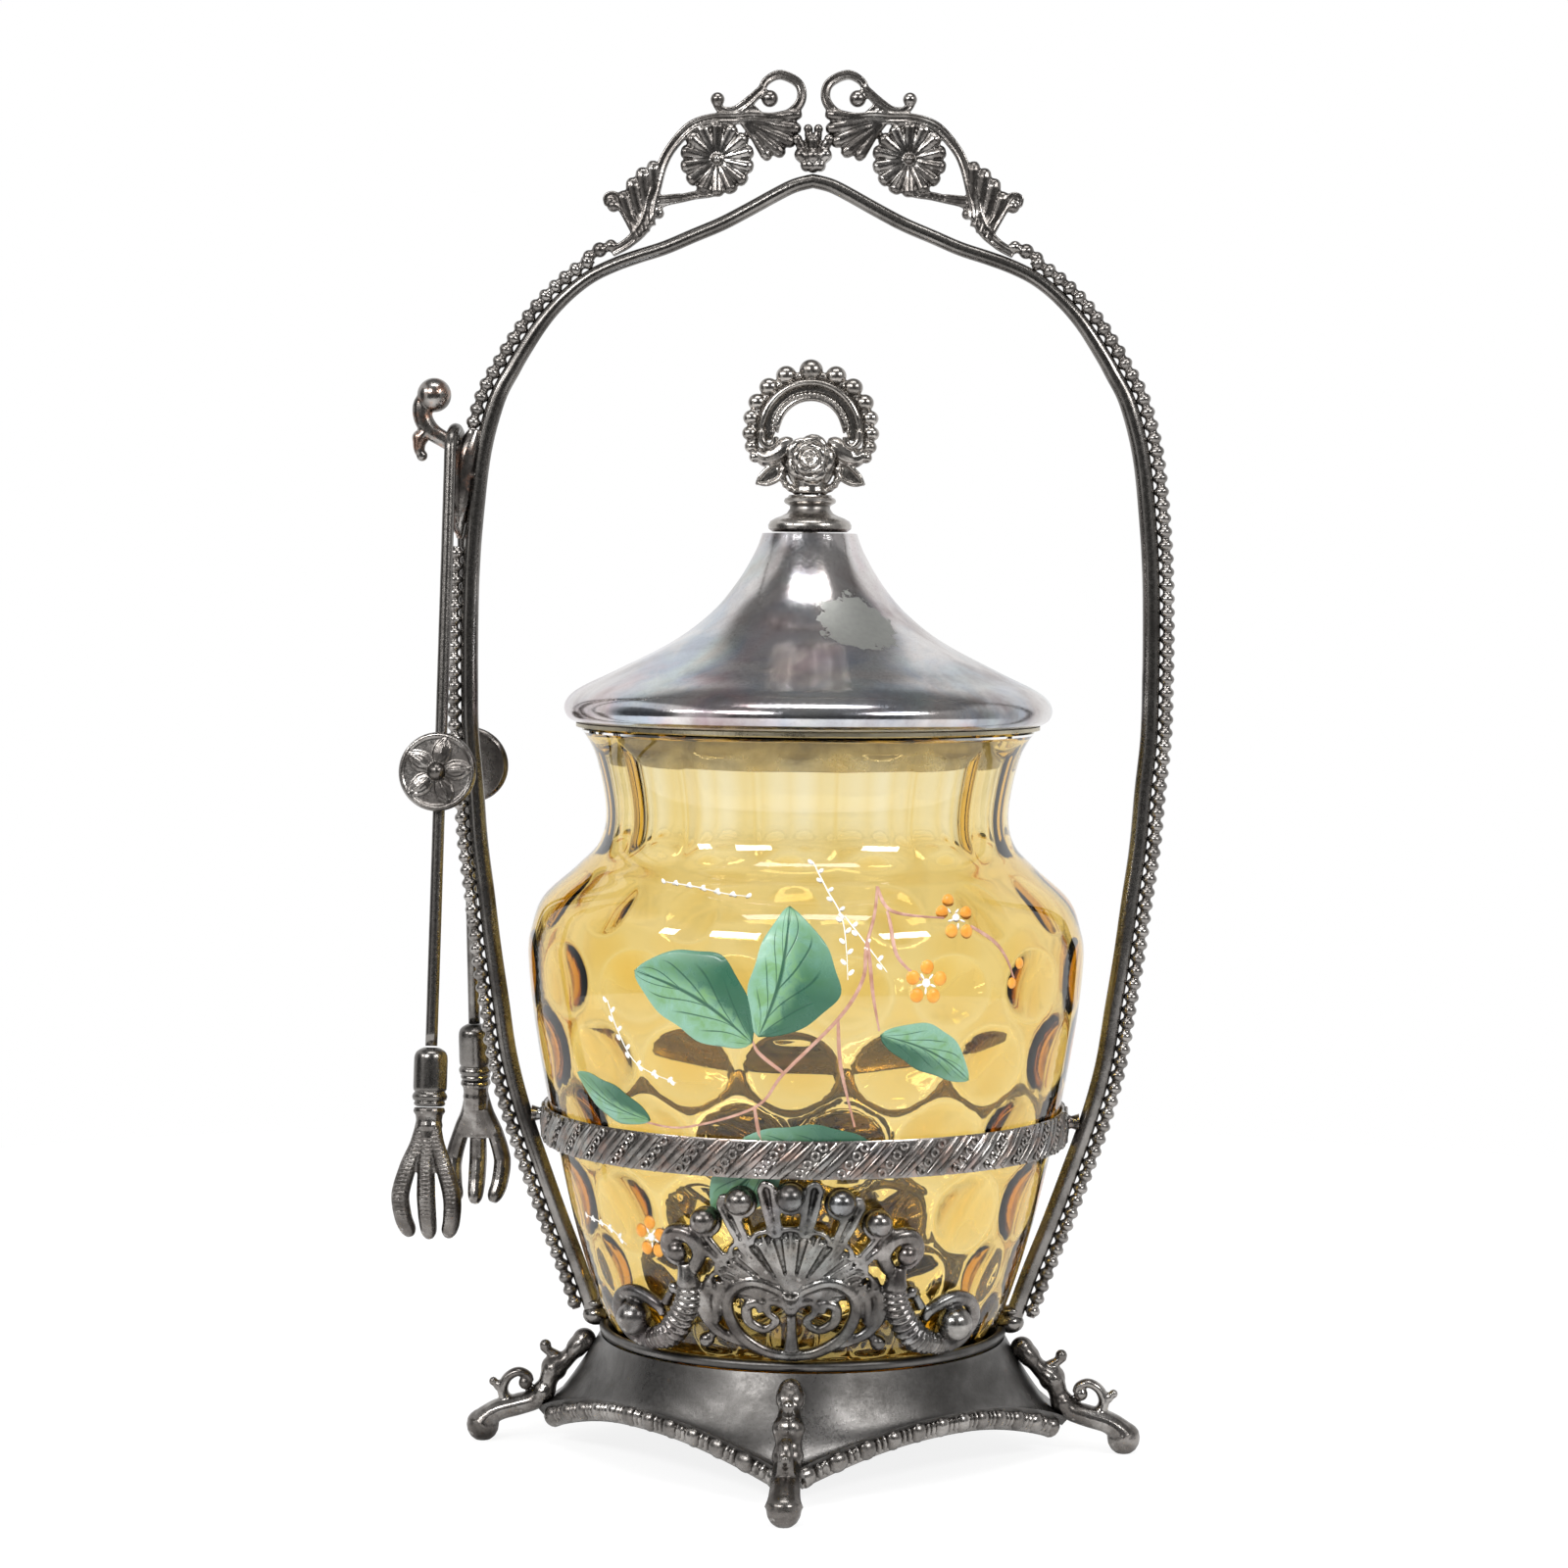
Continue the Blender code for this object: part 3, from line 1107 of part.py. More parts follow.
def make_leg(tongs, name, side):
    """One leg, built straight down from its pivot with its outside towards -Y, then splayed."""
    pivot = add_empty("tongs_pivot_" + name, (0.0, -side * LEG_TOP_OFFSET, LEG_TOP_HEIGHT), tongs)
    pivot.rotation_euler = (-LEG_SPREAD * side, 0.0, 0.0)
    outside = Vector((0.0, -side, 0.0))
    bottom = -LEG_LENGTH
    wire = sweep(
        [Vector((0.0, 0.0, -RUNNING_GAP)), Vector((0.0, 0.0, bottom + CLEAR))],
        [WIRE_RADIUS] * 2, [WIRE_RADIUS] * 2, outside, 8,
    )
    add_object("tongs_leg_" + name, [wire], tarnished_plate("tongs_leg_metal_" + name), pivot)
    make_disc(pivot, name, outside)
    ferrule = [
        (radius * FERRULE_RADIUS, bottom - height * FERRULE_LENGTH)
        for radius, height in FERRULE_SHARES
    ]
    solid = turned([(0.0, ferrule[0][1])] + ferrule + [(0.0, ferrule[-1][1])], 12)
    add_object("tongs_ferrule_" + name, [solid], tarnished_plate("ferrule_metal_" + name), pivot)
    make_claw(pivot, name, outside, bottom - FERRULE_LENGTH - CLEAR)


def make_disc(pivot, name, outside):
    start = outside * (WIRE_RADIUS + CLEAR)
    drop = Vector((0.0, 0.0, -DISC_DROP))
    radii = [DISC_RADIUS * DISC_BACK_SHARE, DISC_RADIUS, DISC_RADIUS]
    depths = (0.0, DISC_THICK / 3.0, DISC_THICK)
    centres = [start + drop + outside * depth for depth in depths]
    solids = [sweep(centres, radii, radii, UP, DISC_STEPS)]
    face = start + drop + outside * (DISC_THICK - DISC_RADIUS * PETAL_RELIEF_SHARE / 4.0)
    for petal in range(PETALS):
        turn = FULL_TURN * (petal + 0.75) / PETALS
        along = Vector((math.cos(turn), 0.0, math.sin(turn)))
        points = [face + along * (share * DISC_RADIUS) for share, _ in PETAL_SHARES]
        widths = [width * DISC_RADIUS for _, width in PETAL_SHARES]
        solids.append(sweep(points, widths, [PETAL_RELIEF_SHARE * DISC_RADIUS] * 3, outside, 6))
    solids.append(ball(face, DISC_BALL_SHARE * DISC_RADIUS, 8, 5))
    add_casting("tongs_disc_" + name, solids, dark_casting("tongs_disc_metal_" + name), pivot)


def talon_bend(share):
    for (low, bend), (high, next_bend) in zip(TALON_BEND_SHARES, TALON_BEND_SHARES[1:]):
        if low <= share <= high:
            return bend + (next_bend - bend) * (share - low) / (high - low)
    return 0.0


def make_claw(pivot, name, outside, top):
    size = CLAW_LENGTH
    origin = Vector((0.0, 0.0, top))
    head = [origin + Vector((0.0, 0.0, z * size)) for _, z, _ in CLAW_HEAD_SHARES]
    widths = [width * size for _, _, width in CLAW_HEAD_SHARES]
    solids = [sweep(head, widths, widths, outside, 8)]
    for shares in TALON_SHARES:
        path = smooth_path(shares, 1)
        centres = [
            origin + Vector((x * size, 0.0, z * size)) + outside * (talon_bend(-z) * size)
            for x, z, _ in path
        ]
        widths = [width * size for _, _, width in path]
        solids.append(sweep(centres, widths, widths, outside, 6))
    add_casting("tongs_claw_" + name, solids, dark_casting("tongs_claw_metal_" + name), pivot)


def make_tongs(parent):
    tongs = add_empty("tongs_hang", (-TONGS_HANG_RADIUS, 0.0, 0.0), parent, TONGS_TWIST)
    make_bow(tongs)
    make_leg(tongs, "front", 1.0)
    make_leg(tongs, "back", -1.0)


def main():
    clear_scene()
    castor = add_empty("castor_axis", (AXIS_X, 0.0, 0.0))
    make_base_plate(castor)
    make_seat_ring(castor)
    make_borders(castor)
    make_feet(castor)
    make_medallions(castor)
    make_handle_rod(castor)
    make_beading(castor)
    make_crest(castor, "crest_left", -1.0)
    make_crest(castor, "crest_right", 1.0)
    make_crest_bud(castor)
    make_collar_ring(castor)
    make_collar_lugs(castor)
    make_jar(castor)
    make_lid(castor)
    make_finial_base(castor)
    make_finial_nut(castor)
    make_finial_loop(castor)
    make_hook(castor)
    make_tongs(castor)
    bpy.context.view_layer.update()


main()
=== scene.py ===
"""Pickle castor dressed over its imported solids: castings, beaded wires, spun lid, dimpled glass and enamel.

Metres, +Z up, the front towards -Y, in the same frame as the solids.
"""

from __future__ import annotations

import logging
import math
from dataclasses import dataclass, field
from enum import Enum
from typing import Callable, Iterable, Sequence

import bmesh
import bpy
from mathutils import Matrix, Vector


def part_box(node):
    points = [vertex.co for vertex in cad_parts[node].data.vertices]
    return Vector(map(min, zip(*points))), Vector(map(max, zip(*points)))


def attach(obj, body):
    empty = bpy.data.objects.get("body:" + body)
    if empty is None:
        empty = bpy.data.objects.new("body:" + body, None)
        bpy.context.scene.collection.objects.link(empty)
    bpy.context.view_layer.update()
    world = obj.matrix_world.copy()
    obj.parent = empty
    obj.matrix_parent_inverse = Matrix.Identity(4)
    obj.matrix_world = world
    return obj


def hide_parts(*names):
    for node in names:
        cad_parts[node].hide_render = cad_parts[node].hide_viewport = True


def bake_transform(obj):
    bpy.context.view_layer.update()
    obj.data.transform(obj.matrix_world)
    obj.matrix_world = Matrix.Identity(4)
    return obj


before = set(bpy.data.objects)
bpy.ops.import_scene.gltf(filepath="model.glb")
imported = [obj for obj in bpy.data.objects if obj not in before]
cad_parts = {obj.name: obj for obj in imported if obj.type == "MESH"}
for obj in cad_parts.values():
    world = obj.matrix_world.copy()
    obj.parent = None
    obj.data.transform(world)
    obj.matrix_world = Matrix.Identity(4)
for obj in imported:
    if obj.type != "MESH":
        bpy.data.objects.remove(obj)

LOG = logging.getLogger("castor")
FULL_TURN = 2.0 * math.pi
UP = Vector((0.0, 0.0, 1.0))
FRONT = Vector((0.0, -1.0, 0.0))
PICTURE_SIZE = 1600.0
SENSOR_WIDTH = 36.0

Points = Sequence[Sequence[float]]
Colour = tuple[float, float, float]
Material = bpy.types.Material
Socket = bpy.types.NodeSocket


class Body(str, Enum):
    """Moving bodies of the castor."""

    FRAME = "frame"
    JAR = "jar"
    LID = "lid"
    TONGS = "tongs"
    FRONT_LEG = "tongs_front_leg"
    BACK_LEG = "tongs_back_leg"


class Slot(str, Enum):
    """Material slots of the record."""

    TARNISHED = "tarnished_plate"
    CASTING = "dark_casting"
    WORN = "worn_casting"
    BRIGHT = "bright_plate"
    BRASS = "brass_parts"
    GLASS = "amber_glass"


# Curves

def flow(points: Points, steps: int) -> list[tuple[float, ...]]:
    """Smooth curve through points of any number of values.

    Args:
        points: The points that the curve passes through.
        steps: Number of pieces between each two points.

    Returns:
        The points of the curve, ends included.
    """
    path = []
    last = len(points) - 1
    for index in range(last):
        before = points[max(index - 1, 0)]
        start, end = points[index], points[index + 1]
        after = points[min(index + 2, last)]
        for step in range(steps):
            t = step / steps
            path.append(tuple(
                0.5 * (2.0 * b + (c - a) * t + (2.0 * a - 5.0 * b + 4.0 * c - d) * t ** 2
                       + (3.0 * b - a - 3.0 * c + d) * t ** 3)
                for a, b, c, d in zip(before, start, end, after)
            ))
    path.append(tuple(points[last]))
    return path


def between(table: Sequence[tuple[float, float]], place: float) -> float:
    """Value at a place in a table of places and values, in straight lines between them.

    Args:
        table: Places and values, in rising order of place.
        place: Where the value is wanted.

    Returns:
        The value there.
    """
    for (low, value), (high, following) in zip(table, table[1:]):
        if place <= high:
            return value + (following - value) * max(0.0, place - low) / (high - low)
    return table[-1][1]


def even(line: Sequence[Vector], step: float) -> list[Vector]:
    """Points at even distances along a line.

    Args:
        line: The line's points.
        step: The distance between two points.

    Returns:
        The evenly spaced points.
    """
    spaced = [line[0]]
    wait = step
    for start, end in zip(line, line[1:]):
        length = (end - start).length
        while wait <= length:
            spaced.append(start.lerp(end, wait / length))
            wait += step
        wait -= length
    return spaced


def smoothstep(value: float) -> float:
    """Soft step from 0 to 1."""
    t = min(1.0, max(0.0, value))
    return t * t * (3.0 - 2.0 * t)


# Shapes

class Shape:
    """Mesh of one piece while it is modelled, about the castor's axis."""

    def __init__(self) -> None:
        """Starts an empty shape."""
        self.mesh = bmesh.new()

    def take(self, part: bmesh.types.BMesh, matrix: Matrix | None = None) -> None:
        """Adds a part to the shape and frees it.

        Args:
            part: The part to add.
            matrix: Where it goes, or None to leave it in its place.
        """
        shell = bpy.data.meshes.new("part")
        part.to_mesh(shell)
        part.free()
        if matrix is not None:
            shell.transform(matrix)
        self.mesh.from_mesh(shell)
        bpy.data.meshes.remove(shell)

    def copies(self, other: "Shape", places: Iterable[Matrix]) -> None:
        """Adds copies of another shape and leaves that shape as it is.

        Args:
            other: The shape to copy.
            places: The place of each copy.
        """
        for place in places:
            shell = bpy.data.meshes.new("copy")
            other.mesh.to_mesh(shell)
            shell.transform(place)
            if place.determinant() < 0.0:
                shell.flip_normals()
            self.mesh.from_mesh(shell)
            bpy.data.meshes.remove(shell)

    def ball(self, centre: Vector, radius: float, stretch: Sequence[float] = (1.0, 1.0, 1.0),
             turn: Matrix | None = None, around: int = 16, rings: int = 10) -> None:
        """Adds a ball or an oval.

        Args:
            centre: Its middle.
            radius: Its radius before the stretch.
            stretch: Its three half axes as shares of the radius.
            turn: Its rotation, or None.
            around: Faces round it.
            rings: Faces from pole to pole.
        """
        part = bmesh.new()
        place = Matrix.Translation(centre)
        if turn is not None:
            place = place @ turn.to_4x4()
        place = place @ Matrix.Diagonal((*(radius * share for share in stretch), 1.0))
        bmesh.ops.create_uvsphere(part, u_segments=around, v_segments=rings, radius=1.0, matrix=place)
        self.take(part)

    def tube(self, path: Sequence[Vector], widths: Sequence[float], facing: Vector | Sequence[Vector] = FRONT,
             flat: float = 1.0, sides: int = 12) -> None:
        """Adds a closed tube along a path.

        Args:
            path: Its centre line.
            widths: Its half width at each point.
            facing: Direction in which the flattening is measured, one or one for each point.
            flat: Half depth along facing as a share of the half width.
            sides: Faces round it.
        """
        part = bmesh.new()
        last = len(path) - 1
        unit: list[Vector] = []
        cap = None
        for index, centre in enumerate(path):
            tangent = (path[min(index + 1, last)] - path[max(index - 1, 0)]).normalized()
            front = facing if isinstance(facing, Vector) else facing[index]
            front = (front - tangent * front.dot(tangent)).normalized()
            across = front.cross(tangent)
            if cap is None:
                bmesh.ops.create_circle(part, cap_ends=True, segments=sides, radius=1.0)
                part.faces.ensure_lookup_table()
                cap = part.faces[0]
                unit = [vert.co.copy() for vert in cap.verts]
            else:
                grown = bmesh.ops.extrude_face_region(part, geom=[cap])
                if index > 1:
                    bmesh.ops.delete(part, geom=[cap], context="FACES_ONLY")
                cap = next(item for item in grown["geom"] if isinstance(item, bmesh.types.BMFace))
            width = widths[index]
            for vert, place in zip(cap.verts, unit):
                vert.co = centre + across * (place.x * width) + front * (place.y * width * flat)
        bmesh.ops.recalc_face_normals(part, faces=part.faces)
        self.take(part)

    def turned(self, profile: Points, steps: int, closed: bool = True) -> None:
        """Adds a turned piece.

        Args:
            profile: Its outline as radii and heights.
            steps: Faces round the axis.
            closed: Whether the outline runs back to its start.
        """
        part = bmesh.new()
        verts = [part.verts.new((radius, 0.0, height)) for radius, height in profile]
        edges = [part.edges.new(pair) for pair in zip(verts, verts[1:])]
        if closed:
            edges.append(part.edges.new((verts[-1], verts[0])))
        bmesh.ops.spin(
            part, geom=verts + edges, cent=(0.0, 0.0, 0.0), axis=UP, angle=FULL_TURN, steps=steps,
            use_merge=True
        )
        bmesh.ops.remove_doubles(part, verts=part.verts, dist=1e-7)
        bmesh.ops.recalc_face_normals(part, faces=part.faces)
        self.take(part)

    def formed(self, rows: Sequence[Callable[[float], tuple[float, float]]], steps: int) -> None:
        """Adds a closed sheet of rings whose radius and height vary round the axis.

        Args:
            rows: For each ring, its radius and height at an angle. The first and last meet on the axis.
            steps: Faces round the axis.
        """
        part = bmesh.new()
        bmesh.ops.create_circle(part, segments=steps, radius=1.0)
        angles = {vert: math.atan2(vert.co.y, vert.co.x) for vert in part.verts}
        edges = list(part.edges)
        for number, row in enumerate(rows):
            if number:
                grown = bmesh.ops.extrude_edge_only(part, edges=edges)["geom"]
                edges = [item for item in grown if isinstance(item, bmesh.types.BMEdge)]
                fresh = {item for item in grown if isinstance(item, bmesh.types.BMVert)}
                side = {vert: edge.other_vert(vert) for vert in fresh for edge in vert.link_edges
                        if edge.other_vert(vert) in angles}
                angles = {vert: angles[side[vert]] for vert in fresh}
            for vert, angle in angles.items():
                radius, height = row(angle)
                vert.co = (radius * math.cos(angle), radius * math.sin(angle), height)
        bmesh.ops.remove_doubles(part, verts=part.verts, dist=1e-7)
        bmesh.ops.recalc_face_normals(part, faces=part.faces)
        self.take(part)

    def fuse(self, voxel: float, rounds: int = 2) -> "Shape":
        """Joins the overlapping forms into one skin, as in a casting.

        Args:
            voxel: Size of the skin's faces.
            rounds: How often the skin is smoothed.

        Returns:
            The shape itself.
        """
        mesh = bpy.data.meshes.new("forms")
        self.mesh.to_mesh(mesh)
        item = bpy.data.objects.new("forms", mesh)
        bpy.context.collection.objects.link(item)
        skin = item.modifiers.new("skin", "REMESH")
        skin.mode = "VOXEL"
        skin.voxel_size = voxel
        graph = bpy.context.evaluated_depsgraph_get()
        fused = bpy.data.meshes.new_from_object(item.evaluated_get(graph))
        self.mesh.clear()
        self.mesh.from_mesh(fused)
        bpy.data.objects.remove(item, do_unlink=True)
        bpy.data.meshes.remove(mesh)
        bpy.data.meshes.remove(fused)
        for _ in range(rounds):
            bmesh.ops.smooth_vert(
                self.mesh, verts=self.mesh.verts, factor=0.5, use_axis_x=True, use_axis_y=True,
                use_axis_z=True
            )
        return self

    def move(self, matrix: Matrix) -> "Shape":
        """Turns or moves the whole shape and returns it.

        Args:
            matrix: The turn or move.

        Returns:
            The shape itself.
        """
        bmesh.ops.transform(self.mesh, matrix=matrix, verts=self.mesh.verts)
        if matrix.determinant() < 0.0:
            bmesh.ops.reverse_faces(self.mesh, faces=self.mesh.faces)
        return self


@dataclass(frozen=True)
class Bench:
    """Sets finished shapes down in the frame.

    Args:
        axis: The castor's upright axis in the frame.
    """

    axis: Vector

    def piece(self, shape: Shape, name: str, material: Material) -> bpy.types.Object:
        """Turns a shape into an object in its place, and frees the shape.

        Args:
            shape: The shape to turn into an object.
            name: Name of the object.
            material: Its finish.

        Returns:
            The object.
        """
        shape.move(Matrix.Translation(self.axis))
        mesh = bpy.data.meshes.new(name)
        shape.mesh.to_mesh(mesh)
        shape.mesh.free()
        mesh.materials.append(material)
        mesh.shade_smooth()
        piece = bpy.data.objects.new(name, mesh)
        bpy.context.collection.objects.link(piece)
        LOG.info("%s: %d faces", name, len(mesh.polygons))
        return piece

    def set_down(self, shape: Shape, name: str, body: Body, material: Material,
                 nodes: Sequence[str], slot: Slot, crease: float = 50.0) -> None:
        """Makes a piece of a shape, in its place, riding on its body.

        Args:
            shape: The shape, about the castor's axis.
            name: The piece's name.
            body: The body that carries it.
            material: Its finish.
            nodes: The solids that it stands for.
            slot: The record's material slot. It is not used.
            crease: Angle in degrees over which an edge stays sharp.
        """
        piece = self.piece(shape, name, material)
        piece.data.set_sharp_from_angle(angle=math.radians(crease))
        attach(piece, body.value)
        if nodes:
            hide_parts(*nodes)


@dataclass
class SubAssembly:
    """Part of the castor that holds its sizes and makes its pieces.

    Args:
        bench: Where the pieces are set down.
    """

    bench: Bench


# Finishes

class Wiring:
    """Node tree while it is written."""

    def __init__(self, tree: bpy.types.NodeTree) -> None:
        """Starts on a tree."""
        self.tree = tree

    def node(self, kind: str, **settings: object) -> bpy.types.Node:
        """Adds a node with some of its settings and returns it.

        Args:
            kind: Type of the node.
            **settings: Its settings by name.

        Returns:
            The node.
        """
        made = self.tree.nodes.new(kind)
        for key, value in settings.items():
            setattr(made, key, value)
        return made

    def feed(self, socket: Socket, value: object) -> None:
        """Links a socket to another, or sets its value.

        Args:
            socket: The input to fill.
            value: Another socket, or a number or colour.
        """
        if isinstance(value, Socket):
            self.tree.links.new(value, socket)
        elif isinstance(value, tuple) and len(value) == 3 and socket.type == "RGBA":
            socket.default_value = (*value, 1.0)
        else:
            socket.default_value = value

    def scaled(self, value: object, low: float, high: float, to_low: float, to_high: float,
               soft: bool = False) -> Socket:
        """Maps a value from one range to another, held inside it.

        Args:
            value: Socket or number to map.
            low: Start of its range.
            high: End of its range.
            to_low: Value at the start.
            to_high: Value at the end.
            soft: Whether the change is soft at both ends.

        Returns:
            The mapped value.
        """
        made = self.node("ShaderNodeMapRange")
        if soft:
            made.interpolation_type = "SMOOTHSTEP"
        for socket, amount in zip(made.inputs[0:5], (value, low, high, to_low, to_high)):
            self.feed(socket, amount)
        return made.outputs["Result"]

    def maths(self, kind: str, first: object, second: object = 0.0) -> Socket:
        """Sum, product or other operation on two values.

        Args:
            kind: Name of the operation.
            first: First value.
            second: Second value.

        Returns:
            The result.
        """
        made = self.node("ShaderNodeMath", operation=kind)
        self.feed(made.inputs[0], first)
        self.feed(made.inputs[1], second)
        return made.outputs[0]


class Recipe(Wiring):
    """Node tree of one material while it is written."""

    def __init__(self, name: str) -> None:
        """Starts a material with a plain shader.

        Args:
            name: The material's name.
        """
        self.material = bpy.data.materials.new(name)
        self.material.use_nodes = True
        super().__init__(self.material.node_tree)
        self.shader = self.tree.nodes["Principled BSDF"]
        self.place = self.node("ShaderNodeTexCoord").outputs["Object"]

    def noise(self, scale: float, detail: float = 5.0, roughness: float = 0.55, warp: float = 0.0) -> Socket:
        """Cloudy pattern.

        Args:
            scale: Its scale in clouds per metre.
            detail: Number of finer layers.
            roughness: Strength of the finer layers.
            warp: How far it is twisted.

        Returns:
            The pattern's value.
        """
        made = self.node("ShaderNodeTexNoise")
        values = {
            "Vector": self.place, "Scale": scale, "Detail": detail, "Roughness": roughness, "Distortion": warp
        }
        for key, value in values.items():
            self.feed(made.inputs[key], value)
        return made.outputs["Fac"]

    def ramp(self, value: Socket, stops: Sequence[tuple[float, Colour]]) -> Socket:
        """Colours by value.

        Args:
            value: What the colour follows.
            stops: Places and colours.

        Returns:
            The colour.
        """
        made = self.node("ShaderNodeValToRGB")
        elements = made.color_ramp.elements
        while len(elements) < len(stops):
            elements.new(0.5)
        for element, (place, colour) in zip(elements, stops):
            element.position = place
            element.color = (*colour, 1.0)
        self.feed(made.inputs["Fac"], value)
        return made.outputs["Color"]

    def blend(self, share: object, first: object, second: object, mode: str = "MIX") -> Socket:
        """Mixes two colours and returns the result.

        Args:
            share: Share of the second colour.
            first: First colour.
            second: Second colour.
            mode: How they mix.

        Returns:
            The mixed colour.
        """
        made = self.node("ShaderNodeMix", data_type="RGBA", blend_type=mode)
        self.feed(made.inputs[0], share)
        self.feed(made.inputs[6], first)
        self.feed(made.inputs[7], second)
        return made.outputs[2]

    def bump(self, height: Socket, strength: float, depth: float) -> None:
        """Adds fine relief to the shader.

        Args:
            height: The relief.
            strength: How strong it is.
            depth: Its depth.
        """
        made = self.node("ShaderNodeBump")
        made.inputs["Strength"].default_value = strength
        made.inputs["Distance"].default_value = depth
        self.feed(made.inputs["Height"], height)
        self.feed(self.shader.inputs["Normal"], made.outputs["Normal"])

    def near(self, centre: Vector, reach: float, ragged: float) -> Socket:
        """Mask of a ragged patch round a point, 1 inside it.

        Args:
            centre: Middle of the patch.
            reach: Its radius.
            ragged: How far its edge wanders.

        Returns:
            The mask.
        """
        away = self.node("ShaderNodeVectorMath", operation="DISTANCE")
        self.feed(away.inputs[0], self.place)
        away.inputs[1].default_value = centre
        wander = self.scaled(self.noise(420.0, 4.0), 0.3, 0.7, -ragged, ragged)
        distance = self.maths("ADD", away.outputs["Value"], wander)
        return self.scaled(distance, reach * 0.86, reach, 1.0, 0.0, True)


@dataclass(frozen=True)
class SilverPlate:
    """Tarnished silver plate.

    Args:
        name: The finish's name.
        dark: Colour of the heaviest tarnish.
        middle: Colour of most of the surface.
        light: Colour of the lightest clouds, and of the painted highlight on edges, which is partly wear.
        shade_tarnish_colour: Colour of the painted shade in the recesses, with tarnish there.
        wear_and_highlight: How much edges are brightened, as a painted highlight that is partly wear.
        shade_and_tarnish: How much recesses are darkened, as painted shade with some tarnish.
        clouds: Scale of the clouds of tarnish per metre.
        smooth: Roughness where it is bright.
        rough: Roughness where it is tarnished.
        rainbow: Strength of the blue and pink film.
        copper: Share of bare copper where the plate is rubbed through.
        relief: Strength of the fine relief.
    """

    name: str
    dark: Colour = (0.055, 0.049, 0.045)
    middle: Colour = (0.175, 0.161, 0.15)
    light: Colour = (0.44, 0.42, 0.4)
    shade_tarnish_colour: Colour = (0.012, 0.01, 0.009)
    wear_and_highlight: float = 0.6
    shade_and_tarnish: float = 0.9
    clouds: float = 130.0
    smooth: float = 0.17
    rough: float = 0.34
    rainbow: float = 0.0
    copper: float = 0.0
    relief: float = 0.12

    def recipe(self) -> Recipe:
        """Writes the finish and returns it open for more.

        Returns:
            The recipe, with its shader linked.
        """
        recipe = Recipe(self.name)
        cloud = recipe.noise(self.clouds, 7.0, 0.6, 0.4)
        grain = recipe.noise(1500.0, 6.0, 0.6)
        colour = recipe.ramp(cloud, [(0.3, self.dark), (0.5, self.middle), (0.72, self.light)])
        speck = recipe.scaled(recipe.noise(2600.0, 4.0, 0.7), 0.56, 0.7, 0.0, 0.5)
        colour = recipe.blend(speck, colour, self.dark)
        if self.rainbow:
            film = recipe.ramp(recipe.noise(34.0, 3.0, 0.5, 0.8), [
                (0.3, (0.78, 0.66, 0.6)), (0.42, (0.86, 0.7, 0.78)), (0.52, (0.62, 0.74, 0.9)),
                (0.62, (0.74, 0.88, 0.9)), (0.74, (0.92, 0.84, 0.72)),
            ])
            mask = recipe.scaled(recipe.noise(58.0, 5.0, 0.55, 0.5), 0.4, 0.62, 0.0, self.rainbow)
            colour = recipe.blend(mask, colour, recipe.blend(1.0, colour, film, "MULTIPLY"))
        # Pointiness paints a highlight onto raised edges, partly wear, and paints shade into recesses, partly
        # tarnish kept in the hollows.
        point = recipe.node("ShaderNodeNewGeometry").outputs["Pointiness"]
        edge = recipe.scaled(recipe.maths("ADD", point, recipe.scaled(grain, 0.3, 0.7, -0.01, 0.01)),
                             0.515, 0.6, 0.0, self.wear_and_highlight)
        recess = recipe.scaled(point, 0.49, 0.42, 0.0, self.shade_and_tarnish)
        if self.copper:
            bare = recipe.scaled(recipe.noise(310.0, 5.0, 0.6), 0.5, 0.62, 0.0, self.copper)
            colour = recipe.blend(bare, colour, (0.52, 0.25, 0.15))
        # Painted highlight on the raised edges, partly wear.
        colour = recipe.blend(edge, colour, self.light)
        # Painted shade darkens the recesses, with tarnish kept in the hollows.
        colour = recipe.blend(recess, colour, self.shade_tarnish_colour)
        recipe.feed(recipe.shader.inputs["Base Color"], colour)
        rough = recipe.scaled(cloud, 0.35, 0.7, self.rough, self.smooth)
        rough = recipe.maths("ADD", rough, recipe.scaled(grain, 0.35, 0.65, -0.03, 0.05))
        recipe.feed(
            recipe.shader.inputs["Roughness"],
            recipe.maths("ADD", rough, recipe.scaled(recess, 0.0, 1.0, 0.0, 0.3))
        )
        recipe.shader.inputs["Metallic"].default_value = 1.0
        recipe.bump(recipe.maths("ADD", grain, cloud), self.relief, 0.0002)
        return recipe

    def material(self) -> Material:
        """The finished material."""
        return self.recipe().material


@dataclass(frozen=True)
class SpunPlate(SilverPlate):
    """Bright spun plate of the lid, with a rubbed patch.

    Args:
        patch: Middle of the rubbed patch.
        reach: Radius of the rubbed patch.
    """

    patch: Vector = field(default_factory=lambda: Vector((0.014, -0.019, 0.1656)))
    reach: float = 0.0085

    def material(self) -> Material:
        """The finished material, with the patch over the plate.

        Returns:
            The material.
        """
        recipe = self.recipe()
        mask = recipe.near(self.patch, self.reach, 0.0016)
        colour = recipe.shader.inputs["Base Color"].links[0].from_socket
        rubbed = recipe.blend(recipe.noise(900.0, 4.0), (0.33, 0.335, 0.32), (0.44, 0.445, 0.42))
        recipe.feed(recipe.shader.inputs["Base Color"], recipe.blend(mask, colour, rubbed))
        rough = recipe.shader.inputs["Roughness"].links[0].from_socket
        recipe.feed(
            recipe.shader.inputs["Roughness"],
            recipe.maths("MAXIMUM", rough, recipe.scaled(mask, 0.0, 1.0, 0.0, 0.5))
        )
        return recipe.material


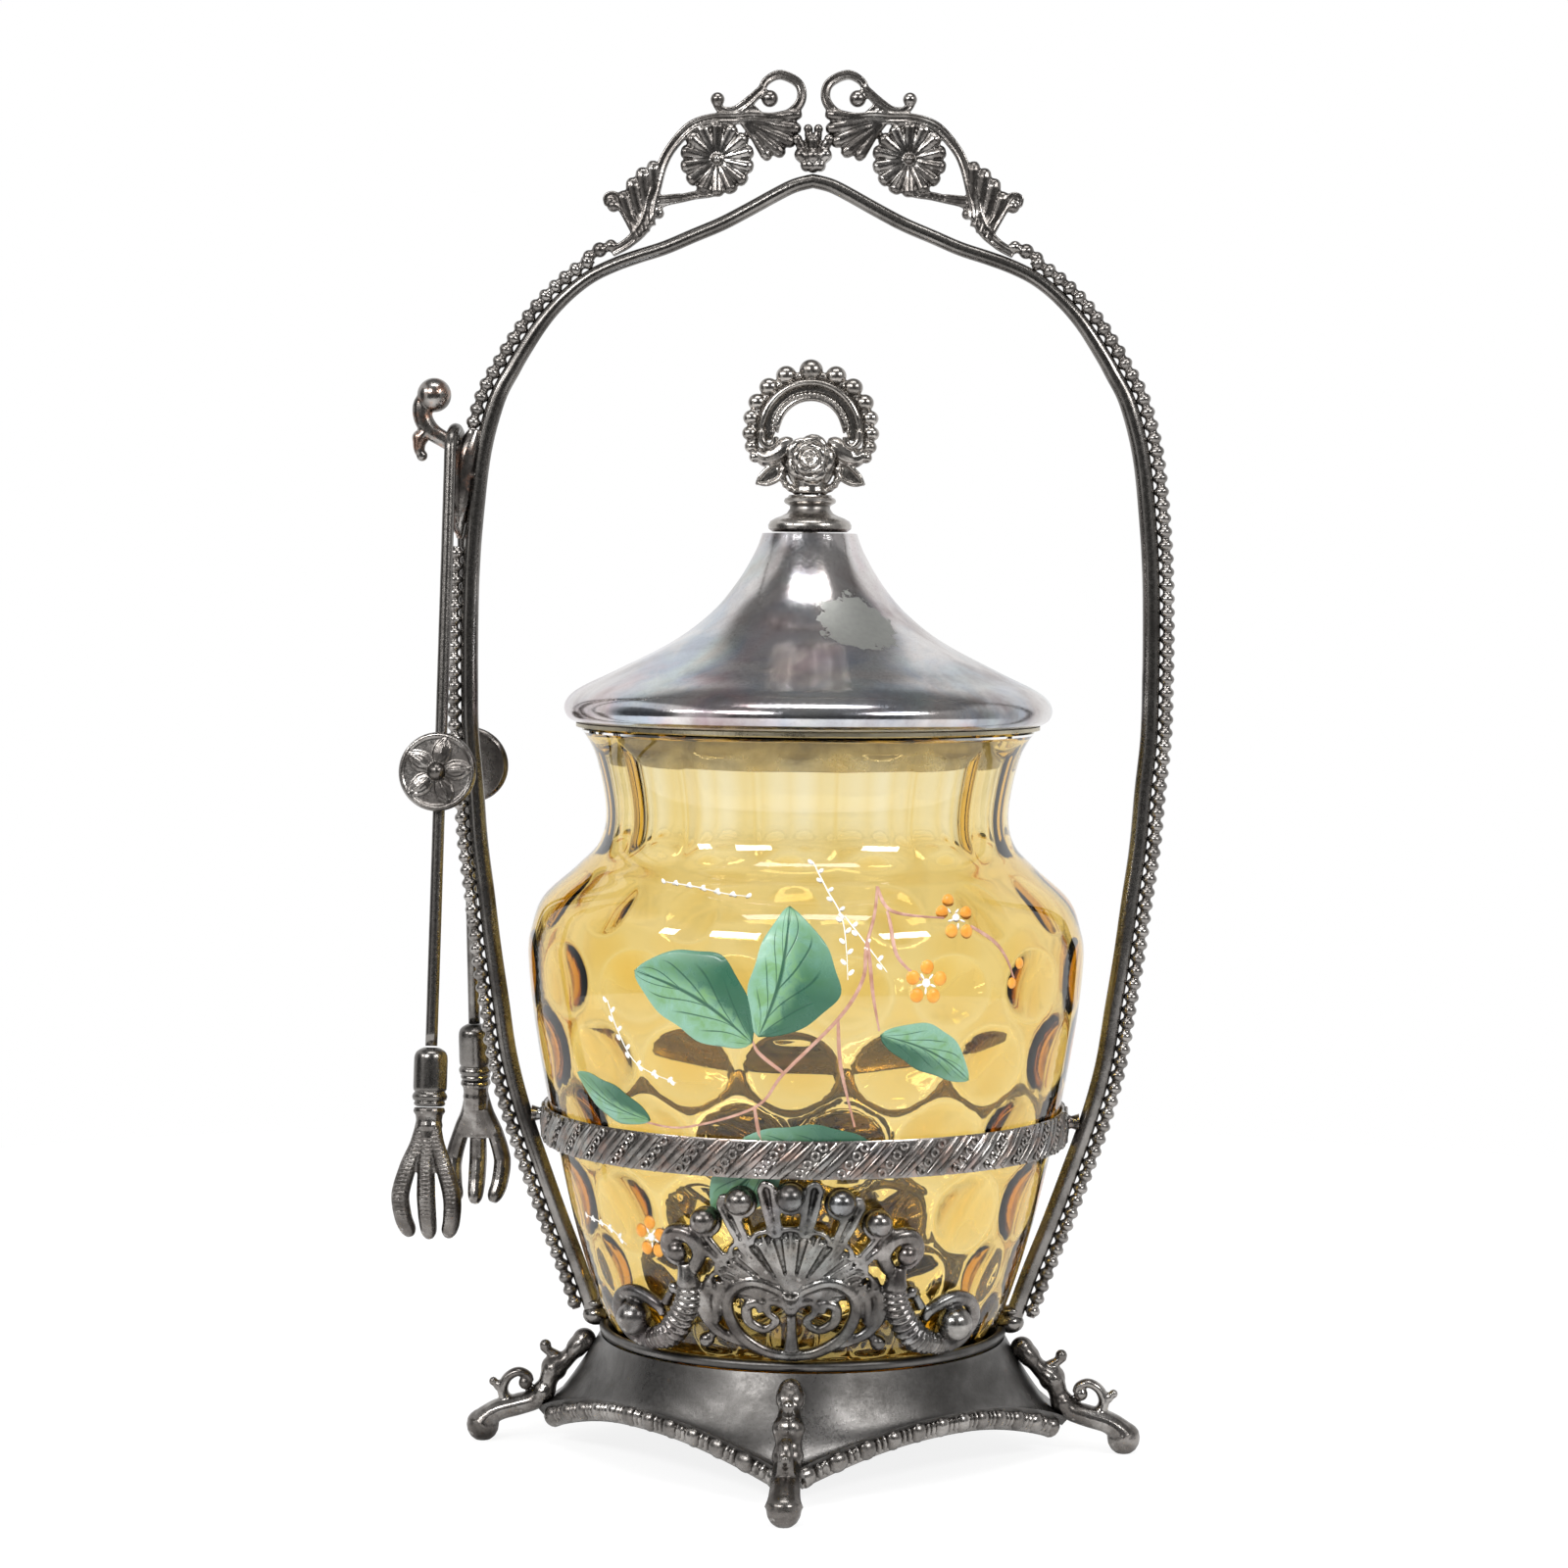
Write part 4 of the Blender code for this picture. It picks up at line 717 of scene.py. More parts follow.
@dataclass(frozen=True)
class AmberGlass:
    """Clear amber glass that deepens with its thickness.

    Args:
        name: The finish's name.
        tint: Colour left after light has crossed much glass.
        density: How fast it takes the tint, per metre.
    """

    name: str = "amber_glass"
    tint: Colour = (0.915, 0.745, 0.1)
    density: float = 330.0

    def material(self) -> Material:
        """The finished material.

        Returns:
            The material.
        """
        recipe = Recipe(self.name)
        shader = recipe.shader
        shader.inputs["Transmission Weight"].default_value = 1.0
        shader.inputs["IOR"].default_value = 1.5
        haze = recipe.scaled(recipe.noise(160.0, 5.0, 0.6), 0.45, 0.75, 0.0, 0.035)
        recipe.feed(shader.inputs["Roughness"], haze)
        colour = recipe.ramp(recipe.noise(26.0, 3.0), [(0.3, (1.0, 1.0, 1.0)), (0.7, (0.99, 0.985, 0.97))])
        recipe.feed(shader.inputs["Base Color"], colour)
        recipe.bump(recipe.noise(95.0, 2.0, 0.4), 0.05, 0.0004)
        depth = recipe.node("ShaderNodeVolumeAbsorption")
        depth.inputs["Color"].default_value = (*self.tint, 1.0)
        depth.inputs["Density"].default_value = self.density
        output = recipe.tree.nodes["Material Output"]
        recipe.feed(output.inputs["Volume"], depth.outputs["Volume"])
        return recipe.material


@dataclass(frozen=True)
class Enamel:
    """Fired enamel paint on the glass.

    Args:
        name: The finish's name.
        body: Its main colour.
        second: The colour that it drifts to.
        gloss: Its roughness.
    """

    name: str
    body: Colour
    second: Colour
    gloss: float = 0.28

    def material(self) -> Material:
        """The finished material.

        Returns:
            The material.
        """
        recipe = Recipe(self.name)
        colour = recipe.ramp(recipe.noise(420.0, 5.0, 0.6), [(0.36, self.body), (0.66, self.second)])
        recipe.feed(recipe.shader.inputs["Base Color"], colour)
        recipe.feed(
            recipe.shader.inputs["Roughness"],
            recipe.scaled(recipe.noise(900.0), 0.3, 0.7, self.gloss, self.gloss + 0.15)
        )
        recipe.bump(recipe.noise(1300.0, 3.0), 0.25, 0.0001)
        return recipe.material


@dataclass(frozen=True)
class LeafEnamel:
    """Enamel of the leaves, with a pale half, a deep half and veins drawn along the leaf.

    Args:
        name: The finish's name.
        pale: Colour of the lit half.
        fresh: Yellower green in the middle.
        deep: Colour of the shaded half.
        vein: Colour of the veins.
    """

    name: str
    pale: Colour = (0.215, 0.4, 0.3)
    fresh: Colour = (0.15, 0.31, 0.13)
    deep: Colour = (0.012, 0.085, 0.045)
    vein: Colour = (0.012, 0.07, 0.04)

    def material(self) -> Material:
        """The finished material.

        Returns:
            The material.
        """
        recipe = Recipe(self.name)
        uv = recipe.node("ShaderNodeUVMap", uv_map="leaf")
        split = recipe.node("ShaderNodeSeparateXYZ")
        recipe.feed(split.inputs[0], uv.outputs["UV"])
        long, wide = split.outputs["X"], split.outputs["Y"]
        brush = recipe.noise(330.0, 4.0, 0.6, 0.6)
        colour = recipe.blend(recipe.scaled(brush, 0.35, 0.65, 0.0, 1.0), self.pale, self.fresh)
        edge = recipe.maths("ABSOLUTE", recipe.maths("SUBTRACT", wide, 0.5))
        colour = recipe.blend(recipe.scaled(edge, 0.28, 0.5, 0.0, 0.8), colour, self.pale)
        wave = recipe.maths("ADD", wide, recipe.scaled(brush, 0.3, 0.7, -0.07, 0.07))
        shade = recipe.maths("MULTIPLY", recipe.scaled(wave, 0.5, 0.3, 0.0, 0.92, True),
                             recipe.scaled(long, 0.4, 0.95, 1.0, 0.2))
        colour = recipe.blend(shade, colour, self.deep)
        middle = recipe.scaled(edge, 0.012, 0.03, 0.9, 0.0)
        bowed = recipe.maths("MULTIPLY", recipe.maths("POWER", edge, 0.75), 4.6)
        slant = recipe.maths("SUBTRACT", recipe.maths("MULTIPLY", long, 4.3), bowed)
        beat = recipe.maths("ABSOLUTE", recipe.maths("SUBTRACT", recipe.maths("FRACT", slant), 0.5))
        side = recipe.maths(
            "MULTIPLY", recipe.scaled(beat, 0.035, 0.075, 0.8, 0.0), recipe.scaled(edge, 0.28, 0.36, 1.0, 0.0)
        )
        veins = recipe.maths("MAXIMUM", middle, side)
        colour = recipe.blend(veins, colour, self.vein)
        recipe.feed(recipe.shader.inputs["Base Color"], colour)
        recipe.feed(recipe.shader.inputs["Roughness"], recipe.scaled(brush, 0.3, 0.7, 0.22, 0.38))
        recipe.bump(recipe.maths("ADD", brush, veins), 0.25, 0.00012)
        return recipe.material


# Handle and crest

@dataclass
class ArchHandle(SubAssembly):
    """Plain rod bent to an arch, with a beaded wire along its outside."""

    half_width: float = 0.06785
    foot: float = 0.0252
    rise: float = 0.2274
    rod: float = 0.00175
    rod_top: float = 0.0014
    taper_start: float = 0.8
    bead: float = 0.0015
    pitch: float = 0.00265
    waist_share: float = 0.58
    seat_share: float = 0.92
    hook_low: float = 0.689
    hook_high: float = 0.78
    bead_low: float = 0.012
    bead_high: float = 0.924
    line: Points = (
        (0.614, 0.0), (0.67, 0.048), (0.727, 0.092), (0.784, 0.139), (0.838, 0.186), (0.879, 0.233),
        (0.904, 0.282), (0.928, 0.329), (0.948, 0.376), (0.969, 0.423), (0.982, 0.472), (0.997, 0.519),
        (1.0, 0.567), (1.0, 0.613), (0.996, 0.662), (0.985, 0.708), (0.963, 0.764), (0.923, 0.809),
        (0.876, 0.836), (0.849, 0.85), (0.799, 0.873), (0.753, 0.89), (0.697, 0.906), (0.641, 0.918),
        (0.578, 0.927), (0.513, 0.934), (0.43, 0.942), (0.351, 0.952), (0.264, 0.963), (0.181, 0.976),
        (0.108, 0.988), (0.053, 0.996), (0.0, 1.0),
    )

    def arm(self, side: float) -> list[Vector]:
        """Centre line of one arm from its foot to the apex.

        Args:
            side: 1 for the right and -1 for the left.

        Returns:
            The points of the line.
        """
        return [
            Vector((side * x * self.half_width, 0.0, self.foot + z * self.rise))
            for x, z in flow(self.line, 6)
        ]

    def radius(self, height: float) -> float:
        """Rod's radius at a height."""
        along = ((height - self.foot) / self.rise - self.taper_start) / (1.0 - self.taper_start)
        return self.rod + (self.rod_top - self.rod) * min(1.0, max(0.0, 2.0 * along))

    def make_rod(self, material: Material) -> None:
        """Makes the rod.

        Args:
            material: Its finish.
        """
        shape = Shape()
        path = self.arm(-1.0) + self.arm(1.0)[-2::-1]
        shape.tube(path, [self.radius(point.z) for point in path], FRONT, 1.0, 20)
        for end in (path[0], path[-1]):
            shape.ball(end + UP * (0.4 * self.rod), 1.55 * self.rod, (1.0, 1.0, 0.8))
            shape.ball(end + UP * (1.8 * self.rod), 1.3 * self.rod, (1.0, 1.0, 0.45))
        self.bench.set_down(shape, "arch_rod", Body.FRAME, material, ["handle_rod"], Slot.TARNISHED)

    def bead_width(self, share: float) -> float:
        """Half width of the beaded wire at a share of one bead's pitch."""
        off = min(1.0, abs(share - 0.5) / 0.46)
        return self.bead * max(self.waist_share, math.sqrt(1.0 - off * off))

    def make_beading(self, name: str, side: float, low: float, high: float, material: Material) -> None:
        """Makes one run of beaded wire.

        Args:
            name: The solid that it stands for.
            side: -1 for the left arm, 1 for the right.
            low: Where it starts, as a share of the rise.
            high: Where it ends.
            material: Its finish.
        """
        arm = self.arm(side)
        outline = []
        for before, here, after in zip(arm, arm[1:], arm[2:]):
            share = (here.z - self.foot) / self.rise
            if low <= share <= high:
                run = (after - before).normalized()
                outward = Vector((run.z, 0.0, -run.x)) * side
                outline.append(here + outward * (self.radius(here.z) + self.seat_share * self.bead))
        parts = 12
        line = even(outline, self.pitch / parts)
        line = line[:len(line) - (len(line) - 1) % parts]
        widths = [self.bead_width((index % parts) / parts) for index in range(len(line))]
        shape = Shape()
        shape.tube(line, widths, FRONT, 1.0, 12)
        self.bench.set_down(shape, name + "_wire", Body.FRAME, material, [name], Slot.CASTING, 70.0)

    def make(self, plain: Material, cast: Material) -> None:
        """Makes the rod and its three runs of beading.

        Args:
            plain: Finish of the rod.
            cast: Finish of the beading.
        """
        self.make_rod(plain)
        self.make_beading("beading_left_lower", -1.0, self.bead_low, self.hook_low, cast)
        self.make_beading("beading_left_upper", -1.0, self.hook_high, self.bead_high, cast)
        self.make_beading("beading_right", 1.0, self.bead_low, self.bead_high, cast)


@dataclass
class Crest(SubAssembly):
    """Pierced scroll castings on the arch, and the buds between them."""

    span: float = 0.0406
    foot: float = 0.2364
    thick: float = 0.9
    voxel: float = 0.00021
    stem: Points = (
        (0.982, 0.05, 0.025), (0.896, 0.1, 0.028), (0.818, 0.186, 0.034), (0.776, 0.33, 0.03),
        (0.737, 0.469, 0.027), (0.689, 0.561, 0.027), (0.598, 0.657, 0.03), (0.492, 0.695, 0.03),
        (0.367, 0.7, 0.03), (0.291, 0.705, 0.03), (0.199, 0.7, 0.03), (0.113, 0.724, 0.027),
        (0.06, 0.791, 0.025), (0.074, 0.868, 0.025), (0.161, 0.911, 0.025), (0.228, 0.883, 0.022),
        (0.25, 0.839, 0.02), (0.233, 0.8, 0.02),
    )
    runners: tuple[Points, ...] = (
        ((0.243, 0.849, 0.022), (0.319, 0.777, 0.027), (0.382, 0.738, 0.024), (0.444, 0.738, 0.022),
         (0.478, 0.772, 0.018)),
        ((0.42, 0.369, 0.022), (0.492, 0.34, 0.022), (0.574, 0.328, 0.022), (0.646, 0.312, 0.022),
         (0.723, 0.292, 0.02), (0.761, 0.262, 0.017), (0.748, 0.226, 0.017)),
        ((0.862, 0.155, 0.03), (0.925, 0.263, 0.027), (0.968, 0.325, 0.022), (1.006, 0.316, 0.02),
         (1.001, 0.277, 0.017)),
        ((0.6, 0.655, 0.024), (0.56, 0.56, 0.027)),
        ((0.645, 0.315, 0.024), (0.79, 0.3, 0.026)),
        ((0.25, 0.705, 0.02), (0.3, 0.745, 0.024), (0.33, 0.775, 0.02)),
    )
    balls: Points = (
        (0.214, 0.796, 0.042), (0.468, 0.792, 0.035), (0.973, 0.277, 0.033), (0.752, 0.24, 0.028),
        (1.04, 0.062, 0.038), (0.985, 0.082, 0.032), (1.092, 0.03, 0.032),
    )
    palmette: tuple[Sequence[float], Points] = (
        (0.345, 0.69, 0.022),
        ((0.056, 0.722, 0.032), (0.06, 0.648, 0.036), (0.088, 0.578, 0.037), (0.142, 0.522, 0.036),
         (0.212, 0.5, 0.03)),
    )
    feather: Points = (
        (0.772, 0.215, 0.782, 0.495, 0.036), (0.796, 0.178, 0.838, 0.462, 0.038),
        (0.822, 0.145, 0.888, 0.412, 0.038), (0.85, 0.12, 0.934, 0.348, 0.036)
    )
    rosette: Sequence[float] = (0.468, 0.503, 0.182)
    petals: int = 14
    buds: float = 0.0102

    def at(self, x: float, z: float) -> Vector:
        """Place of a point given as shares of the span."""
        return Vector((x * self.span, 0.0, self.foot + z * self.span))

    def run(self, shape: Shape, shares: Points) -> None:
        """Adds a scroll with raised edges through points of place and half width.

        Args:
            shape: The shape to add it to.
            shares: Place and half width of each point, as shares of the span.
        """
        path = flow(shares, 6)
        line = [self.at(x, z) for x, z, _ in path]
        shape.tube(line, [w * self.span for _, _, w in path], FRONT, 0.8 * self.thick, 10)
        for edge in (-1.0, 1.0):
            for face in (-1.0, 1.0):
                rail = []
                for index, (point, (_, _, w)) in enumerate(zip(line, path)):
                    tangent = line[min(index + 1, len(line) - 1)] - line[max(index - 1, 0)]
                    across = FRONT.cross(tangent.normalized())
                    rail.append(point + (across * (0.62 * edge) + FRONT * (0.62 * face)) * (w * self.span))
                shape.tube(rail, [0.34 * w * self.span for _, _, w in path], FRONT, 1.0, 6)

    def petal(
        self, shape: Shape, root: Vector, tip: Vector, root_width: float, width: float, thick: float
    ) -> None:
        """Adds a petal that swells to a round tip.

        Args:
            shape: The shape to add it to.
            root: Where it starts.
            tip: Where it ends.
            root_width: Half width at the root.
            width: Largest half width.
            thick: Thickness as a share of its width.
        """
        stations = (
            (0.0, root_width), (0.35, 0.62 * width), (0.65, 0.84 * width), (0.85, width), (0.95, 0.8 * width),
            (1.0, 0.4 * width)
        )
        path = [root.lerp(tip, along) for along, _ in stations]
        shape.tube(path, [size for _, size in stations], FRONT, thick, 10)

    def make_side(self, name: str, side: float, material: Material) -> None:
        """Makes the scroll on one side of the arch.

        Args:
            name: Name of its node.
            side: 1 for the right and -1 for the left.
            material: Its finish.
        """
        shape = Shape()
        self.run(shape, self.stem)
        for shares in self.runners:
            self.run(shape, shares)
        for x, z, radius in self.balls:
            shape.ball(self.at(x, z), radius * self.span)
        root, tips = self.palmette
        for x, z, width in tips:
            self.petal(
                shape, self.at(root[0], root[1]), self.at(x, z), root[2] * self.span, width * self.span, 1.15
            )
        for x, z, tip_x, tip_z, width in self.feather:
            self.petal(
                shape, self.at(x, z), self.at(tip_x, tip_z), 0.9 * width * self.span, width * self.span, 1.05
            )
        x, z, radius = self.rosette
        centre = self.at(x, z)
        radius *= self.span
        shape.ball(centre, radius * 0.86, (1.0, 0.06, 1.0), None, 28, 8)
        for petal in range(self.petals):
            turn = FULL_TURN * (petal + 0.5) / self.petals
            out = Vector((math.cos(turn), 0.0, math.sin(turn)))
            inner, outer = centre + out * radius * 0.1, centre + out * radius
            self.petal(shape, inner, outer, radius * 0.075, radius * 0.205, 1.05)
        shape.ball(centre, radius * 0.16, (1.0, 1.6, 1.0))
        shape.fuse(self.voxel)
        if side < 0.0:
            shape.move(Matrix.Diagonal((-1.0, 1.0, 1.0, 1.0)))
        self.bench.set_down(shape, name + "_scroll", Body.FRAME, material, [name], Slot.CASTING)

    def make_buds(self, apex: float, material: Material) -> None:
        """Makes the cluster of buds at the apex.

        Args:
            apex: Height of the arch's top.
            material: Their finish.
        """
        shape = Shape()
        size = self.buds
        root = Vector((0.0, 0.0, apex + 0.1 * size))
        shape.ball(root + UP * (0.06 * size), 0.15 * size)
        tips = (
            (-0.1, 0.86, 0.09), (0.1, 0.86, 0.09), (-0.31, 0.66, 0.1), (0.31, 0.66, 0.1), (0.0, 0.62, 0.12),
            (-0.24, 0.36, 0.13), (0.24, 0.36, 0.13), (0.0, 0.34, 0.15), (-0.13, 0.16, 0.12),
            (0.13, 0.16, 0.12)
        )
        for x, z, width in tips:
            tip = Vector((x * size, 0.0, apex + z * size))
            for depth in (-1.0, 1.0):
                end = tip + FRONT * (depth * 0.07 * size)
                self.petal(shape, root, end, 0.09 * size, width * size, 1.0)
                shape.ball(end, width * size)
        self.bench.set_down(
            shape.fuse(self.voxel), "crest_buds", Body.FRAME, material, ["crest_bud"], Slot.CASTING
        )

    def make(self, apex: float, material: Material) -> None:
        """Makes both scrolls and the buds.

        Args:
            apex: Height of the arch's top.
            material: Their finish.
        """
        self.make_side("crest_left", -1.0, material)
        self.make_side("crest_right", 1.0, material)
        self.make_buds(apex, material)


# Base

@dataclass
class FootedBase(SubAssembly):
    """Domed base with drawn-out corners, its border mouldings, seat ring and four cast feet."""

    sheet: float = 0.0013
    floor_top: float = 0.017
    well: float = 0.0392
    lip: float = 0.0405
    lip_top: float = 0.0232
    side_radius: float = 0.044
    corner_radius: float = 0.0532
    corner_lift: float = 0.0019
    edge_rise: float = 0.0078
    border: float = 0.0022
    beads: int = 11
    end_angle: float = math.radians(2.6)
    seat_wire: float = 0.0009
    span: float = 0.0252
    inner: float = 0.0425
    spine: Points = (
        (0.016, 0.873, 0.04), (0.07, 0.815, 0.08), (0.125, 0.752, 0.084), (0.165, 0.705, 0.066),
        (0.222, 0.648, 0.074), (0.3, 0.59, 0.098), (0.33, 0.53, 0.084), (0.352, 0.47, 0.076),
        (0.378, 0.405, 0.094), (0.42, 0.36, 0.084), (0.47, 0.325, 0.084), (0.599, 0.286, 0.088),
        (0.746, 0.242, 0.088), (0.837, 0.183, 0.096), (0.873, 0.14, 0.112),
    )
    scroll: Points = (
        (0.667, 0.302, 0.052), (0.714, 0.397, 0.044), (0.679, 0.5, 0.04),
        (0.591, 0.552, 0.038), (0.512, 0.524, 0.034), (0.492, 0.472, 0.03),
    )
    curl: Points = ((0.23, 0.64, 0.05), (0.29, 0.69, 0.044), (0.35, 0.725, 0.036), (0.4, 0.76, 0.03))
    knobs: Points = (
        (0.532, 0.464, 0.056), (0.746, 0.437, 0.044), (0.79, 0.47, 0.036), (0.3, 0.59, 0.108),
        (0.06, 0.82, 0.096), (0.372, 0.77, 0.048), (0.385, 0.4, 0.092),
    )
    pad: Points = (
        (0.0, 0.0), (0.06, 0.0), (0.098, 0.03), (0.123, 0.075), (0.131, 0.123), (0.122, 0.175),
        (0.099, 0.206), (0.06, 0.235), (0.0, 0.246)
    )
    voxel: float = 0.00024

    def corner(self, angle: float) -> float:
        """1 midway between two corners and 0 at a corner."""
        return abs(math.sin(2.0 * angle))

    def edge(self, angle: float) -> tuple[float, float]:
        """Radius and height of the base's edge at an angle.

        Args:
            angle: Angle round the axis.

        Returns:
            The radius and the height.
        """
        share = self.corner(angle)
        radius = self.side_radius + (self.corner_radius - self.side_radius) * (1.0 - share) ** 1.5
        return radius, self.corner_lift + self.edge_rise * share ** 0.7

    def dome(self, angle: float, share: float) -> tuple[float, float]:
        """Point of the dome's top from the lip to the edge.

        Args:
            angle: Angle round the axis.
            share: 0 at the lip and 1 at the edge.

        Returns:
            The radius and the height.
        """
        radius, height = self.edge(angle)
        drop = self.lip_top - (height + 2.0 * self.border + 0.0001)
        return self.lip + (radius - self.lip) * share, self.lip_top - drop * (1.0 - (1.0 - share) ** 1.38)

    def under(self, angle: float, share: float) -> tuple[float, float]:
        """Point of the dome's underside."""
        radius, height = self.dome(angle, share)
        return max(self.well + self.sheet * 0.4, radius - self.sheet * 0.8), height - self.sheet * 0.9

    def make_plate(self, material: Material) -> None:
        """Makes the base plate.

        Args:
            material: Its finish.
        """
        fixed = [
            (0.0, self.floor_top), (0.012, self.floor_top), (0.024, self.floor_top), (0.034, self.floor_top)
        ]
        for step in range(5):
            turn = math.pi / 2.0 * step / 4
            fixed.append((
                self.well - self.sheet * (1.0 - math.sin(turn)),
                self.floor_top + self.sheet * (1.0 - math.cos(turn))
            ))
        fixed += [(self.well, self.lip_top - 0.0006), (self.well + 0.0003, self.lip_top - 0.0001)]
        rows: list[Callable[[float], tuple[float, float]]] = [lambda _, spot=spot: spot for spot in fixed]
        rows += [lambda angle, share=step / 18: self.dome(angle, share) for step in range(19)]
        rows += [lambda angle, share=step / 10: self.under(angle, share) for step in range(10, -1, -1)]
        bottom = [
            (self.well + self.sheet, self.floor_top), (self.well, self.floor_top - self.sheet),
            (0.0, self.floor_top - self.sheet)
        ]
        rows += [lambda _, spot=spot: spot for spot in bottom]
        shape = Shape()
        shape.formed(rows, 256)
        self.bench.set_down(shape, "base_dome", Body.FRAME, material, ["base_plate"], Slot.TARNISHED, 35.0)

    def make_seat(self, material: Material) -> None:
        """Makes the seat ring.

        Args:
            material: Its finish.
        """
        centre = self.well + self.sheet / 2.0
        middle = self.lip_top + 0.0003 + self.seat_wire
        profile = []
        for step in range(14):
            turn = FULL_TURN * step / 14
            profile.append((
                centre + self.seat_wire * math.cos(turn), middle + self.seat_wire * 1.15 * math.sin(turn)
            ))
        shape = Shape()
        shape.turned(profile, 128)
        self.bench.set_down(shape, "seat_bead", Body.FRAME, material, ["seat_ring"], Slot.TARNISHED)

    def bead_width(self, share: float) -> float:
        """Half width of the moulding at a share of one bead: a barrel, then two rings.

        Args:
            share: Place along one bead and its reel, from 0 to 1.

        Returns:
            The half width.
        """
        if share < 0.56:
            off = (share / 0.56 - 0.5) / 0.5
            return self.border * (0.55 + 0.51 * math.sqrt(max(0.0, 1.0 - off * off)))
        ring = ((share - 0.56) / 0.44 * 2.0) % 1.0
        return self.border * (0.52 + 0.36 * math.sin(math.pi * ring))

    def make_border(self, number: int, name: str, material: Material) -> None:
        """Makes the bead and reel moulding of one side.

        Args:
            number: Number of the side.
            name: Name of its node.
            material: Its finish.
        """
        first = number * FULL_TURN / 4.0 + self.end_angle
        last = (number + 1) * FULL_TURN / 4.0 - self.end_angle
        parts = 22
        count = self.beads * parts
        line, widths = [], []
        for index in range(count + 1):
            angle = first + (last - first) * index / count
            radius, height = self.edge(angle)
            radius -= self.border
            line.append(Vector((radius * math.cos(angle), radius * math.sin(angle), height + self.border)))
            share = (index / parts + 0.21) % 1.0
            widths.append(self.bead_width(share))
        shape = Shape()
        shape.tube(line, widths, UP, 1.0, 16)
        rail = [point - UP * (0.62 * self.border) for point in line[::4]]
        shape.tube(rail, [0.45 * self.border] * len(rail), UP, 1.0, 8)
        self.bench.set_down(shape, name + "_beads", Body.FRAME, material, [name], Slot.CASTING, 60.0)

    def make_foot(self, number: int, name: str, material: Material) -> None:
        """Makes one cast foot.

        Args:
            number: Number of the corner.
            name: Name of its node.
            material: Its finish.
        """
        shape = Shape()
        origin = Vector((self.inner, 0.0, 0.0))
        for shares, flat in ((self.spine, 1.3), (self.scroll, 1.4), (self.curl, 1.2)):
            path = flow(shares, 5)
            line = [origin + Vector((x, 0.0, z)) * self.span for x, z, _ in path]
            shape.tube(line, [w * self.span for _, _, w in path], FRONT, flat, 14)
        for x, z, radius in self.knobs:
            shape.ball(origin + Vector((x, 0.0, z)) * self.span, radius * self.span)
        start = origin + Vector((0.02, 0.0, 0.87)) * self.span
        for spread in (-0.055, 0.0, 0.055):
            end = origin + Vector((0.15, spread, 0.72)) * self.span
            middle = start.lerp(end, 0.5) + Vector((1.0, 0.0, 1.0)) * (0.026 * self.span)
            shape.tube(
                [start, middle, end], [0.034 * self.span, 0.052 * self.span, 0.026 * self.span], FRONT, 1.0, 8
            )
        for x, z, width in (
            (0.185, 0.69, 0.08), (0.338, 0.5, 0.092), (0.356, 0.452, 0.098), (0.43, 0.355, 0.09)
        ):
            centre = origin + Vector((x, 0.0, z)) * self.span
            turn = Matrix.Rotation(math.radians(48.0), 3, "Y")
            shape.ball(centre, width * self.span, (1.0, 1.1, 0.3), turn)
        pad = Shape()
        pad.turned([(radius * self.span, height * self.span) for radius, height in self.pad], 24, False)
        shape.copies(pad, [Matrix.Translation(origin + Vector((0.873 * self.span, 0.0, 0.0)))])
        shape.fuse(self.voxel)
        shape.move(Matrix.Rotation(number * FULL_TURN / 4.0, 4, "Z"))
        self.bench.set_down(shape, name + "_scroll", Body.FRAME, material, [name], Slot.CASTING)

    def make(self, plain: Material, cast: Material) -> None:
        """Makes the whole base.

        Args:
            plain: Finish of the plate and the seat.
            cast: Finish of the moulding and the feet.
        """
        self.make_plate(plain)
        self.make_seat(plain)
        for number, side in enumerate(("back_right", "back_left", "front_left", "front_right")):
            self.make_border(number, "border_moulding_" + side, cast)
        for number, side in enumerate(("right", "back", "left", "front")):
            self.make_foot(number, "foot_" + side, cast)


# Jar

